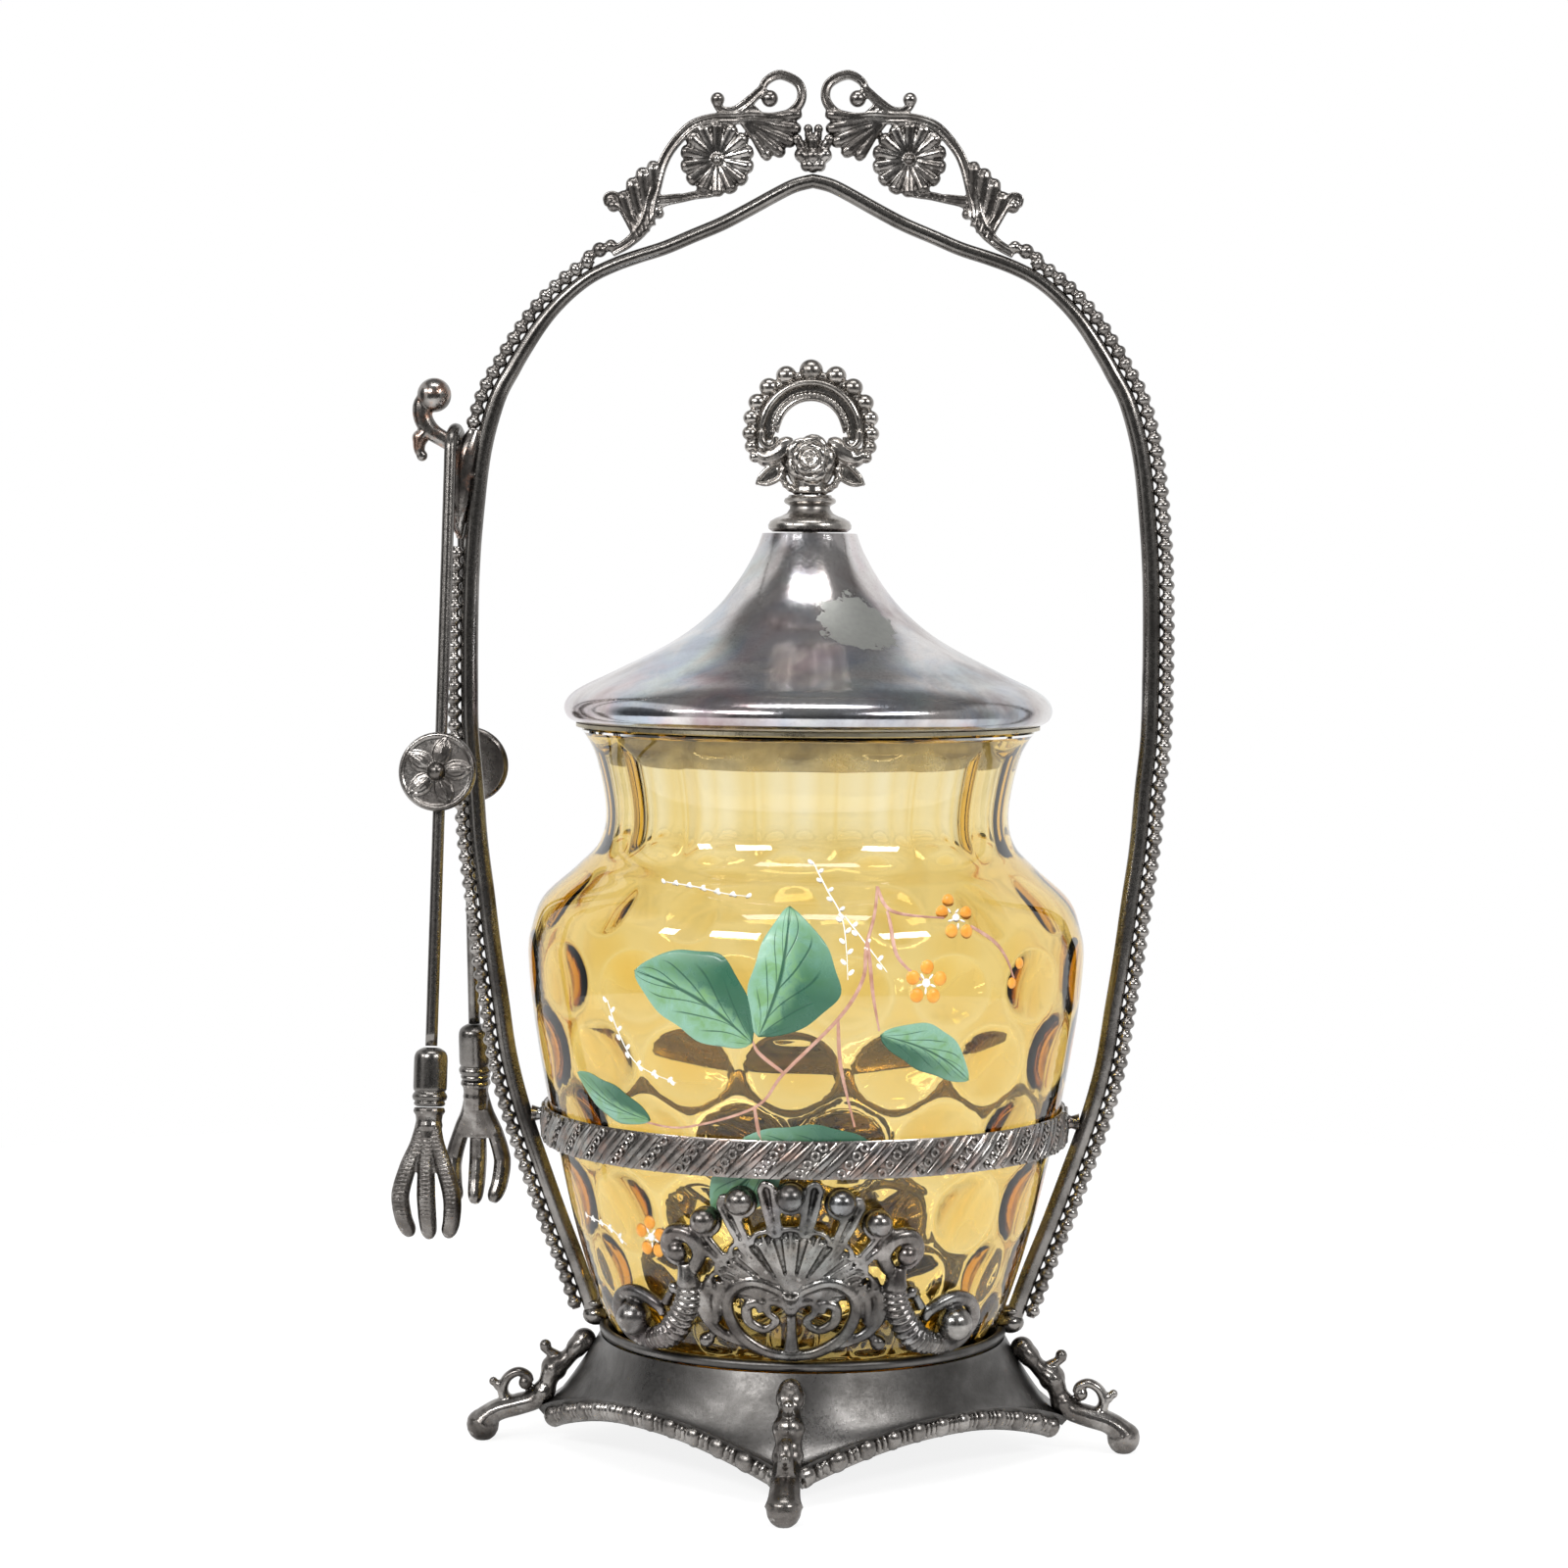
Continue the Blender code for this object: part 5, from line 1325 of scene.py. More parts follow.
@dataclass
class GlassJar(SubAssembly):
    """Blown glass jar with round thumbprints raised on its inside and a fluted neck."""

    radius: float = 0.0553
    bottom: float = 0.0173
    height: float = 0.127
    wall: float = 0.0022
    floor: float = 0.0045
    around: int = 16
    rows: Points = (
        (0.03, 0.62), (0.0405, 0.78), (0.0535, 0.95), (0.068, 1.0), (0.0825, 0.95), (0.097, 0.85),
        (0.1105, 0.62)
    )
    dimple: float = 0.008
    spread: float = 0.47
    depth: float = 0.00135
    flute: float = 0.0011
    shares: Points = (
        (0.62, 0.0), (0.651, 0.006), (0.688, 0.055), (0.745, 0.108), (0.832, 0.231), (0.91, 0.383),
        (0.973, 0.533), (1.0, 0.643), (0.986, 0.692), (0.944, 0.737), (0.823, 0.785), (0.745, 0.823),
        (0.725, 0.876), (0.763, 0.958), (0.817, 1.0),
    )

    def __post_init__(self) -> None:
        """Works out the smooth outside once."""
        self.outside = [(r * self.radius, self.bottom + h * self.height) for r, h in flow(self.shares, 11)]
        self.table = [(h, r) for r, h in self.outside]

    def radius_at(self, height: float) -> float:
        """Outer radius at a height."""
        return between(self.table, height)

    def on_glass(self, angle: float, height: float, lift: float) -> Vector:
        """Point off the glass.

        Args:
            angle: Angle from the front towards +X.
            height: Height above the table.
            lift: Distance off the glass.

        Returns:
            The point, about the castor's axis.
        """
        slope = (self.radius_at(height + 0.0005) - self.radius_at(height - 0.0005)) / 0.001
        tilt = math.atan(slope)
        radius = self.radius_at(height) + lift * math.cos(tilt)
        height = height - lift * math.sin(tilt)
        return Vector((radius * math.sin(angle), -radius * math.cos(angle), height))

    def pressed(self, angle: float, height: float) -> float:
        """How far the inside stands inward at a place.

        Args:
            angle: Angle round the axis.
            height: Height above the table.

        Returns:
            The distance.
        """
        most = 0.0
        pitch = FULL_TURN / self.around
        for number, (level, size) in enumerate(self.rows):
            rise = height - level
            if abs(rise) > self.dimple * size:
                continue
            offset = 0.5 * pitch if number % 2 else 0.0
            off = ((angle - offset + pitch / 2.0) % pitch) - pitch / 2.0
            gone = math.hypot(off / (self.spread * pitch * size), rise / (self.dimple * size))
            most = max(most, self.depth * size * max(0.0, 1.0 - gone * gone))
        hollow = abs(math.cos(0.5 * angle * self.around))
        fade = smoothstep((height - 0.1175) / 0.006) * smoothstep((0.144 - 0.002 * hollow - height) / 0.0025)
        return most - self.flute * hollow * fade

    def make(self, material: Material) -> None:
        """Makes the jar.

        Args:
            material: Its finish.
        """
        rim = 0.0007
        outside = [
            (0.0, self.bottom + 0.0012), (0.02, self.bottom + 0.001), (0.031, self.bottom + 0.0002)
        ] + self.outside[1:-1]
        top_radius, top = self.outside[-1]
        outside += [(top_radius - 0.0002, top - rim), (top_radius - rim, top)]
        inside = []
        rows = self.outside
        for index in range(len(rows) - 1, 0, -1):
            before, after = rows[index - 1], rows[min(index + 1, len(rows) - 1)]
            run = Vector((after[0] - before[0], after[1] - before[1])).normalized()
            radius = rows[index][0] - run.y * self.wall
            height = rows[index][1] + run.x * self.wall
            if height > self.bottom + self.floor + 0.004 and (not inside or height < inside[-1][1]):
                inside.append((radius, height))
        inside[0] = (top_radius - self.wall + 0.0001, top - rim)
        low_radius = inside[-1][0]
        inside += [
            (low_radius - 0.0012, self.bottom + self.floor + 0.002),
            (low_radius - 0.0045, self.bottom + self.floor + 0.0003),
            (low_radius - 0.012, self.bottom + self.floor), (0.0, self.bottom + self.floor)
        ]
        shape = Shape()
        shape.turned(outside + [(top_radius - self.wall + rim, top)] + inside, 336, False)
        lowest = self.bottom + self.floor + 0.003
        for vert in shape.mesh.verts:
            radius = math.hypot(vert.co.x, vert.co.y)
            if radius < self.radius_at(vert.co.z) - 0.6 * self.wall and vert.co.z > lowest:
                angle = math.atan2(vert.co.x, -vert.co.y)
                grown = (radius - self.pressed(angle, vert.co.z)) / radius
                vert.co.x *= grown
                vert.co.y *= grown
        self.bench.set_down(shape, "jar_glass", Body.JAR, material, ["jar"], Slot.GLASS, 80.0)


@dataclass
class Viewpoint:
    """The photograph's viewpoint, in the frame about the castor's axis.

    Args:
        distance: Distance from the axis.
        height: Height above the table.
        azimuth: Angle from the front towards +X.
        yaw: Turn of the camera to the left of the axis.
        pitch: Tilt of the camera below the horizon.
        roll: Turn of the camera about its line of sight.
        lens: Focal length for a sensor 36 mm wide.
    """

    distance: float = 0.741
    height: float = 0.173
    azimuth: float = math.radians(2.8)
    yaw: float = math.radians(0.362)
    pitch: float = math.radians(3.07)
    roll: float = math.radians(0.5)
    lens: float = 85.5

    def place(self) -> Vector:
        """Where the camera stands.

        Returns:
            The place.
        """
        return Vector((
            math.sin(self.azimuth) * self.distance, -math.cos(self.azimuth) * self.distance, self.height
        ))

    def turn(self) -> Matrix:
        """The camera's rotation.

        Returns:
            The rotation.
        """
        heading = Matrix.Rotation(self.azimuth + self.yaw, 3, "Z")
        tilt = Matrix.Rotation(math.pi / 2.0 - self.pitch, 3, "X")
        return heading @ tilt @ Matrix.Rotation(self.roll, 3, "Z")

    def ray(self, x: float, y: float) -> Vector:
        """Direction of a pixel of the photograph.

        Args:
            x: The pixel's column.
            y: The pixel's row.

        Returns:
            The direction from the camera.
        """
        focal = self.lens / SENSOR_WIDTH * PICTURE_SIZE
        middle = PICTURE_SIZE / 2.0
        return (self.turn() @ Vector(((x - middle) / focal, (middle - y) / focal, -1.0))).normalized()


@dataclass
class EnamelSpray(SubAssembly):
    """Painted leaves, stems and dotted flowers on the front of the jar.

    Args:
        jar: The jar that they are painted on.
        view: The viewpoint that their places are given from.
    """

    jar: GlassJar
    view: Viewpoint
    leaves: tuple[tuple[Sequence[float], Sequence[float], float, float, float], ...] = (
        ((774, 1058), (806, 925), 27.0, 57.0, -0.06),
        ((768, 1064), (648, 990), 36.0, 46.0, -0.08),
        ((898, 1056), (988, 1102), 24.0, 20.0, 0.06),
        ((664, 1143), (590, 1094), 15.0, 20.0, 0.06),
        ((892, 1172), (756, 1164), 13.0, 26.0, 0.04),
        ((800, 1178), (728, 1242), 30.0, 34.0, -0.05),
    )
    stems: tuple[Points, ...] = (
        ((895, 905), (885, 960), (880, 1000), (855, 1040), (800, 1095), (770, 1130), (700, 1150),
         (660, 1145)),
        ((885, 960), (890, 1010), (897, 1052)),
        ((895, 905), (910, 930), (963, 937)),
        ((990, 945), (1018, 965), (1034, 998)),
        ((905, 930), (915, 975), (940, 1000)),
        ((855, 1040), (858, 1090), (872, 1150)),
        ((770, 1130), (776, 1160), (790, 1178)),
        ((800, 1095), (775, 1075), (768, 1062)),
    )
    sprays: tuple[Points, ...] = (
        ((680, 900), (710, 905), (740, 912), (765, 915)),
        ((830, 880), (845, 910), (860, 940), (865, 1000)),
        ((862, 935), (885, 965), (905, 992)),
        ((620, 1020), (630, 1050), (650, 1085), (690, 1105)),
        ((600, 1240), (622, 1252), (640, 1270)),
        ((690, 1285), (700, 1300), (712, 1318)),
    )
    flowers: Points = ((975, 937), (945, 1003), (665, 1262))
    berries: Points = ((1040, 983), (1032, 1003))
    dot: float = 7.5
    ring: float = 16.0
    pixel: float = 0.184e-3

    def spot(self, x: float, y: float) -> tuple[float, float]:
        """Angle and height on the jar of a pixel.

        Args:
            x: Pixel from the left.
            y: Pixel from the top.

        Returns:
            Angle from the front towards +X, and height.
        """
        start, ray = self.view.place(), self.view.ray(x, y)
        near, far = 0.66, 0.75
        reach = near
        while reach < far:
            point = start + ray * reach
            if math.hypot(point.x, point.y) < self.jar.radius_at(point.z):
                break
            reach += 0.0001
        return math.atan2(point.x, -point.y), point.z

    def flat(self, x: float, y: float) -> Vector:
        """Place on the jar's unrolled surface."""
        angle, height = self.spot(x, y)
        return Vector((angle * self.jar.radius, height))

    def wrap(self, place: Vector, lift: float) -> Vector:
        """Point off the glass over a place on the unrolled surface."""
        return self.jar.on_glass(place.x / self.jar.radius, place.y, lift)

    def leaf(self, shape: Shape, start: Vector, tip: Vector, left: float, right: float, bend: float) -> None:
        """Adds one leaf.

        Args:
            shape: The shape to add it to.
            start: Where its stalk meets it, on the unrolled surface.
            tip: Its point.
            left: Half width left of its vein.
            right: Half width right of its vein.
            bend: Bow of its vein as a share of its length.
        """
        part = bmesh.new()
        layer = part.loops.layers.uv.new("leaf")
        bmesh.ops.create_grid(part, x_segments=36, y_segments=18, size=1.0)
        for face in part.faces:
            for loop in face.loops:
                loop[layer].uv = ((loop.vert.co.x + 1.0) / 2.0, (loop.vert.co.y + 1.0) / 2.0)
        run = tip - start
        side = Vector((-run.y, run.x)).normalized()
        for vert in part.verts:
            along, across = (vert.co.x + 1.0) / 2.0, vert.co.y
            width = math.sin(math.pi * along ** 1.02) ** 0.66 * (1.0 - 0.22 * along)
            ripple = 1.0 + 0.045 * math.sin(along * 17.0 + (2.0 if across > 0.0 else 0.0))
            reach = across * width * ripple * (left if across > 0.0 else right) * 1.2
            reach += math.sin(math.pi * along) * bend * run.length
            place = start + run * along + side * reach
            vert.co = self.wrap(place, 0.00016 + 0.0001 * (1.0 - across * across))
        base = list(part.faces)
        grown = bmesh.ops.extrude_face_region(part, geom=base)["geom"]
        for vert in (item for item in grown if isinstance(item, bmesh.types.BMVert)):
            outward = Vector((vert.co.x, vert.co.y, 0.0)).normalized()
            vert.co -= outward * 0.00022
        bmesh.ops.remove_doubles(part, verts=part.verts, dist=1e-6)
        bmesh.ops.recalc_face_normals(part, faces=part.faces)
        shape.take(part)

    def dots(
        self, shape: Shape, places: Iterable[Vector], radius: float, long: float = 1.0, turn: float = 0.0
    ) -> None:
        """Adds raised dots on the glass.

        Args:
            shape: The shape to add them to.
            places: Their middles on the unrolled surface.
            radius: Their radius.
            long: Stretch along their first axis.
            turn: Turn of that axis on the glass.
        """
        for place in places:
            centre = self.wrap(place, 0.00005)
            outward = Vector((centre.x, centre.y, 0.0)).normalized()
            spin = Matrix((UP.cross(outward), UP, outward)).transposed() @ Matrix.Rotation(turn, 3, "Z")
            shape.ball(centre, radius, (long, 1.0, 0.34), spin, 12, 8)

    def thread(self, shape: Shape, pixels: Points, width: float) -> None:
        """Adds a thin painted line through pixels.

        Args:
            shape: The shape to add it to.
            pixels: Pixels of the photograph that it passes through.
            width: Its half width.
        """
        flat = flow([tuple(self.flat(*pixel)) for pixel in pixels], 8)
        line = [self.wrap(Vector(place), 0.00006) for place in flat]
        outward = [Vector((point.x, point.y, 0.0)).normalized() for point in line]
        last = len(line) - 1
        widths = [
            width * (0.55 + 0.45 * math.sin(math.pi * min(1.0, 0.15 + index / last)))
            for index in range(last + 1)
        ]
        shape.tube(line, widths, outward, 0.55, 6)

    def make(self, leaf: Material, orange: Material, white: Material, stem: Material) -> None:
        """Makes the leaves, flowers, sprays and stems.

        Args:
            leaf: Finish of the leaves.
            orange: Finish of the petals.
            white: Finish of the pale dots.
            stem: Finish of the stems.
        """
        pixel = self.pixel
        leaves = Shape()
        leaves.mesh.loops.layers.uv.new("leaf")
        for start, tip, left, right, bend in self.leaves:
            self.leaf(leaves, self.flat(*start), self.flat(*tip), left * pixel, right * pixel, bend)
        self.bench.set_down(leaves, "enamel_leaves", Body.JAR, leaf, [], Slot.GLASS, 80.0)
        petals, pale, lines = Shape(), Shape(), Shape()
        for x, y in self.flowers:
            middle = self.flat(x, y)
            ring = [middle + Vector((math.cos(a), math.sin(a))) * self.ring * pixel
                    for a in (FULL_TURN * (number + 0.2) / 5 for number in range(5))]
            self.dots(petals, ring, self.dot * pixel)
            self.dots(pale, [middle], 0.62 * self.dot * pixel)
            for number in range(5):
                turn = FULL_TURN * (number + 0.7) / 5
                place = middle + Vector((math.cos(turn), math.sin(turn))) * 0.5 * self.ring * pixel
                self.dots(pale, [place], 0.16 * self.dot * pixel, 3.0, turn)
        self.dots(petals, [self.flat(*berry) for berry in self.berries], 0.8 * self.dot * pixel)
        self.bench.set_down(petals, "enamel_flowers", Body.JAR, orange, [], Slot.GLASS)
        for spray in self.sprays:
            self.thread(pale, spray, 0.00013)
            line = even(
                [Vector(place).to_3d() for place in flow([tuple(self.flat(*p)) for p in spray], 8)], 0.0019
            )
            for number, place in enumerate(line):
                side = 1.0 if number % 2 else -1.0
                self.dots(pale, [Vector((place.x + side * 0.0007, place.y))], 0.0004, 1.8, side * 0.8)
        self.bench.set_down(pale, "enamel_sprays", Body.JAR, white, [], Slot.GLASS)
        for path in self.stems:
            self.thread(lines, path, 0.0004)
        self.bench.set_down(lines, "enamel_stems", Body.JAR, stem, [], Slot.GLASS)


# Medallions and collar

@dataclass
class Medallion(SubAssembly):
    """Cast shell between scrolls, one at the front and one at the back of the jar.

    Args:
        jar: The jar that they stand against.
    """

    jar: GlassJar
    size: float = 0.0351
    foot: float = 0.0256
    stand: float = 0.0007
    wrap: float = 0.0449
    voxel: float = 0.00028
    pearls: Points = ((0.0, 0.945, 0.078), (0.24, 0.915, 0.076), (0.425, 0.795, 0.072))
    spokes: Points = (
        (0.05, 0.73, 0.086, 1.0, 0.019), (0.088, 0.722, 0.146, 0.985, 0.019),
        (0.205, 0.665, 0.3, 0.93, 0.019), (0.238, 0.64, 0.348, 0.88, 0.019),
        (0.325, 0.57, 0.465, 0.76, 0.019), (0.352, 0.54, 0.51, 0.71, 0.019),
    )
    shell_root: Sequence[float] = (0.0, 0.35)
    shell_edge: Points = ((0.0, 0.745), (0.138, 0.722), (0.262, 0.655), (0.352, 0.56), (0.405, 0.45))
    lobe: float = 0.066
    runners: tuple[Points, ...] = (
        ((0.0, 0.035, 0.034), (0.15, 0.06, 0.034), (0.29, 0.15, 0.036), (0.35, 0.29, 0.036),
         (0.315, 0.405, 0.036), (0.205, 0.465, 0.034), (0.08, 0.425, 0.03), (0.02, 0.37, 0.028)),
        ((0.0, 0.3, 0.028), (0.05, 0.345, 0.03), (0.11, 0.35, 0.026), (0.13, 0.29, 0.024),
         (0.08, 0.24, 0.024), (0.15, 0.19, 0.028), (0.235, 0.235, 0.032), (0.24, 0.315, 0.032),
         (0.18, 0.34, 0.028), (0.16, 0.29, 0.028)),
        ((0.235, 0.09, 0.03), (0.42, 0.165, 0.034), (0.505, 0.3, 0.036), (0.44, 0.43, 0.036)),
        ((0.515, 0.52, 0.04), (0.47, 0.61, 0.044), (0.51, 0.7, 0.05), (0.6, 0.71, 0.05),
         (0.65, 0.63, 0.044), (0.62, 0.555, 0.036), (0.56, 0.56, 0.03)),
        ((0.44, 0.2, 0.024), (0.48, 0.33, 0.036), (0.43, 0.48, 0.028)),
        ((0.46, 0.22, 0.024), (0.54, 0.33, 0.036), (0.51, 0.44, 0.026)),
        ((0.42, 0.22, 0.024), (0.41, 0.34, 0.036), (0.37, 0.44, 0.028)),
        ((0.56, 0.3, 0.022), (0.655, 0.39, 0.028)),
        ((0.953, 0.175, 0.035), (1.0, 0.05, 0.035)),
        ((0.498, 0.107, 0.028), (0.43, 0.175, 0.028)),
        ((0.64, 0.64, 0.03), (0.545, 0.6, 0.03)),
        ((0.74, 0.29, 0.03), (0.7, 0.345, 0.026), (0.655, 0.39, 0.03)),
    )
    volute: Points = (
        (0.56, 0.54, 0.044), (0.545, 0.44, 0.066), (0.575, 0.3, 0.082), (0.68, 0.15, 0.09),
        (0.83, 0.085, 0.07), (0.96, 0.05, 0.05), (1.08, 0.085, 0.046), (1.14, 0.18, 0.044),
        (1.08, 0.285, 0.042), (0.94, 0.33, 0.04), (0.8, 0.275, 0.036), (0.77, 0.22, 0.03),
    )
    ribbed: tuple[float, float] = (0.1, 0.46)
    balls: Points = ((0.945, 0.185, 0.098), (0.59, 0.61, 0.058), (0.498, 0.107, 0.044), (0.655, 0.39, 0.036))
    stem: Points = ((0.0, 0.4, 0.048), (0.0, 0.34, 0.034), (0.0, 0.31, 0.04), (0.0, 0.275, 0.03),
                    (0.0, 0.19, 0.03), (0.0, 0.13, 0.036), (0.0, 0.07, 0.044))

    def at(self, across: float, up: float, away: float) -> Vector:
        """Place over the glass of a point given as shares of the height.

        Args:
            across: Place to the side.
            up: Height over its foot.
            away: Distance off its rest on the glass.

        Returns:
            The place.
        """
        height = self.foot + self.size * up
        radius = self.jar.radius_at(height) + self.stand + away
        angle = across * self.size / self.wrap
        return Vector((radius * math.sin(angle), -radius * math.cos(angle), height))

    def out(self, across: float) -> Vector:
        """Direction away from the glass."""
        angle = across * self.size / self.wrap
        return Vector((math.sin(angle), -math.cos(angle), 0.0))

    def run(
        self, shape: Shape, shares: Points, flip: float, steps: int = 6, lift: float = 1.0,
        ridges: float = 0.0
    ) -> None:
        """Adds a scroll that hugs the glass.

        Args:
            shape: The shape to add it to.
            shares: Points of place and half width.
            flip: -1 for the mirrored side.
            steps: Pieces between two points.
            lift: Height of its centre line as a share of its half width.
            ridges: Depth of ridges across it, as a share of its half width.
        """
        path = flow(shares, steps)
        first, last = (share * len(path) for share in self.ribbed)
        widths = [w * self.size * (1.0 - ridges * (index % 2 if first < index < last else 0))
                  for index, (_, _, w) in enumerate(path)]
        line = [self.at(flip * x, z, w * self.size * lift) for x, z, w in path]
        shape.tube(line, widths, [self.out(flip * x) for x, _, _ in path], 0.95, 12)

    def rib(self, shape: Shape, x: float, z: float, flip: float) -> None:
        """Adds one lobe of the shell: a thin fan with fine ribs and a raised scalloped edge.

        Args:
            shape: The shape to add it to.
            x: Place of its tip to the side.
            z: Height of its tip.
            flip: -1 for the mirrored side.
        """
        root = Vector(self.shell_root)
        run = Vector((x, z)) - root
        side = Vector((-run.y, run.x)).normalized()
        facing = self.out(flip * x * 0.5)

        def spot(share: float, off: float, away: float) -> Vector:
            """Place on the lobe."""
            place = root + run * share + side * (off * self.lobe * share)
            return self.at(flip * place.x, place.y, away * self.size)

        body = [(share, 0.012 + self.lobe * share) for share in (0.0, 0.35, 0.7, 0.92)]
        body.append((1.0, 0.7 * self.lobe))
        shape.tube(
            [spot(share, 0.0, 0.014) for share, _ in body], [w * self.size for _, w in body], facing, 0.28, 12
        )
        for off in (-0.55, 0.0, 0.55):
            line = [
                spot(share, off, 0.027 + 0.015 * share)
                for share in (0.12, 0.4, 0.7, 0.98 - 0.12 * abs(off))
            ]
            shape.tube(line, [(0.006 + 0.006 * n / 3.0) * self.size for n in range(4)], facing, 1.4, 6)
        for off in (-0.9, 0.9):
            web = [(share, 0.008 + 0.42 * self.lobe * share) for share in (0.15, 0.5, 0.88)]
            shape.tube(
                [spot(share, off, 0.01) for share, _ in web], [w * self.size for _, w in web], facing, 0.5, 10
            )
        rim = []
        for step in range(9):
            turn = math.pi * step / 8.0
            rim.append(spot(0.93 + 0.13 * math.sin(turn), 1.02 * math.cos(turn), 0.044))
        shape.tube(rim, [0.017 * self.size] * 9, facing, 1.1, 8)

    def side(self, shape: Shape, flip: float) -> None:
        """Adds one half of the medallion.

        Args:
            shape: The shape to add it to.
            flip: -1 for the mirrored side.
        """
        for x, z, radius in self.pearls:
            shape.ball(self.at(flip * x, z, radius * self.size), radius * self.size, around=20, rings=14)
            shape.ball(
                self.at(flip * x, z - 0.01, 0.3 * radius * self.size), radius * 1.22 * self.size,
                (1.0, 0.35, 1.0), around=20
            )
        for x, z, end_x, end_z, width in self.spokes:
            self.run(
                shape,
                ((x, z, width), ((x + end_x) / 2.0, (z + end_z) / 2.0, width * 1.15), (end_x, end_z, width)),
                flip, 3, 2.0
            )
        for first, second in zip(self.spokes[0::2], self.spokes[1::2]):
            middle = tuple((a + b) / 2.0 for a, b in zip(first, second))
            floor = ((middle[0], middle[1], 0.024), (middle[2], middle[3], 0.03))
            self.run(shape, floor, flip, 3, -0.1)
            cap = (
                (first[2], first[3], 0.018), (middle[2] * 1.02, middle[3] * 1.025, 0.02),
                (second[2], second[3], 0.018)
            )
            self.run(shape, cap, flip, 3, 2.0)
        for x, z in self.shell_edge:
            self.rib(shape, x, z, flip)
        for shares in self.runners:
            self.run(shape, shares, flip)
        self.run(shape, self.volute, flip, 9, 1.0, 0.3)
        for x, z, radius in self.balls:
            shape.ball(self.at(flip * x, z, radius * self.size), radius * self.size, around=20, rings=14)

    def make(self, material: Material) -> None:
        """Makes both medallions.

        Args:
            material: Their finish.
        """
        whole = Shape()
        self.side(whole, 1.0)
        self.side(whole, -1.0)
        self.run(whole, self.stem, 1.0)
        whole.fuse(self.voxel)
        for name, turn in (("front", 0.0), ("back", math.pi)):
            shape = Shape()
            shape.copies(whole, [Matrix.Rotation(turn, 4, "Z")])
            self.bench.set_down(
                shape, "medallion_" + name + "_cast", Body.FRAME, material, ["medallion_" + name],
                Slot.CASTING
            )
        whole.mesh.free()


@dataclass
class Collar(SubAssembly):
    """Band round the jar with slanted plain and beaded strands, and the lugs that hold it."""

    bottom: float = 0.0622
    height: float = 0.0072
    inner: float = 0.0513
    thick: float = 0.0014
    strands: int = 42
    slant: float = math.radians(3.5)
    lug: float = 0.0016
    lug_reach: float = 0.0548

    def at(self, angle: float, up: float, away: float) -> Vector:
        """Point over the band's outside."""
        radius = self.inner + self.thick - 0.0008 + away
        return Vector((radius * math.sin(angle), -radius * math.cos(angle), self.bottom + up * self.height))

    def make(self, material: Material) -> None:
        """Makes the collar and its two lugs.

        Args:
            material: Their finish.
        """
        shape = Shape()
        back = self.inner
        front = self.inner + self.thick - 0.0006
        top = self.bottom + self.height
        band = [
            (back, self.bottom + 0.0003), (back + 0.0003, self.bottom), (front - 0.0002, self.bottom),
            (front, self.bottom + 0.0005), (front, top - 0.0005), (front - 0.0002, top),
            (back + 0.0003, top), (back, top - 0.0003),
        ]
        shape.turned(band, 168)
        plain = Shape()
        line = []
        widths = []
        for step in range(9):
            share = step / 8
            angle = self.slant * (share - 0.5) * 2.0
            line.append(self.at(angle, 0.05 + 0.9 * share, 0.0001 + 0.0003 * math.sin(math.pi * share)))
            widths.append(0.00098 * (0.45 + 0.55 * math.sin(math.pi * (0.12 + 0.76 * share))))
        plain.tube(line, widths, FRONT, 0.62, 10)
        beaded = Shape()
        for share in (0.16, 0.39, 0.62, 0.85):
            angle = self.slant * (share - 0.5) * 2.0
            centre = self.at(angle, share, 0.0004)
            ring = [
                centre + Vector((math.cos(t), 0.0, math.sin(t))) * 0.00068
                for t in (FULL_TURN * k / 12 for k in range(13))
            ]
            beaded.tube(ring, [0.00029] * len(ring), FRONT, 1.2, 6)
        edge = Shape()
        for shift in (-0.00155, 0.00155):
            rail = [
                self.at(self.slant * (s - 0.5) * 2.0 + shift / self.inner, 0.06 + 0.88 * s, 0.0)
                for s in (k / 6 for k in range(7))
            ]
            edge.tube(rail, [0.0003] * len(rail), FRONT, 1.0, 6)
        pitch = FULL_TURN / self.strands
        for shift in (-0.145, 0.145):
            shape.copies(
                plain, [Matrix.Rotation(pitch * (number + shift), 4, "Z") for number in range(self.strands)]
            )
        for other in (beaded, edge):
            shape.copies(
                other, [Matrix.Rotation(pitch * (number + 0.5), 4, "Z") for number in range(self.strands)]
            )
        for other in (plain, beaded, edge):
            other.mesh.free()
        self.bench.set_down(shape, "collar_rope", Body.FRAME, material, ["collar_ring"], Slot.CASTING)
        for name, side in (("left", -1.0), ("right", 1.0)):
            shape = Shape()
            height = self.bottom + 0.58 * self.height
            stations = ((0.0, 1.05), (0.2, 1.0), (0.45, 0.78), (0.7, 0.92), (1.0, 1.1))
            start, end = self.inner + 0.5 * self.thick, self.lug_reach
            path = [Vector((side * (start + (end - start) * share), 0.0, height)) for share, _ in stations]
            shape.tube(path, [self.lug * width for _, width in stations], UP, 1.0, 16)
            self.bench.set_down(
                shape, "collar_lug_" + name + "_cast", Body.FRAME, material, ["collar_lug_" + name],
                Slot.CASTING
            )


# Lid

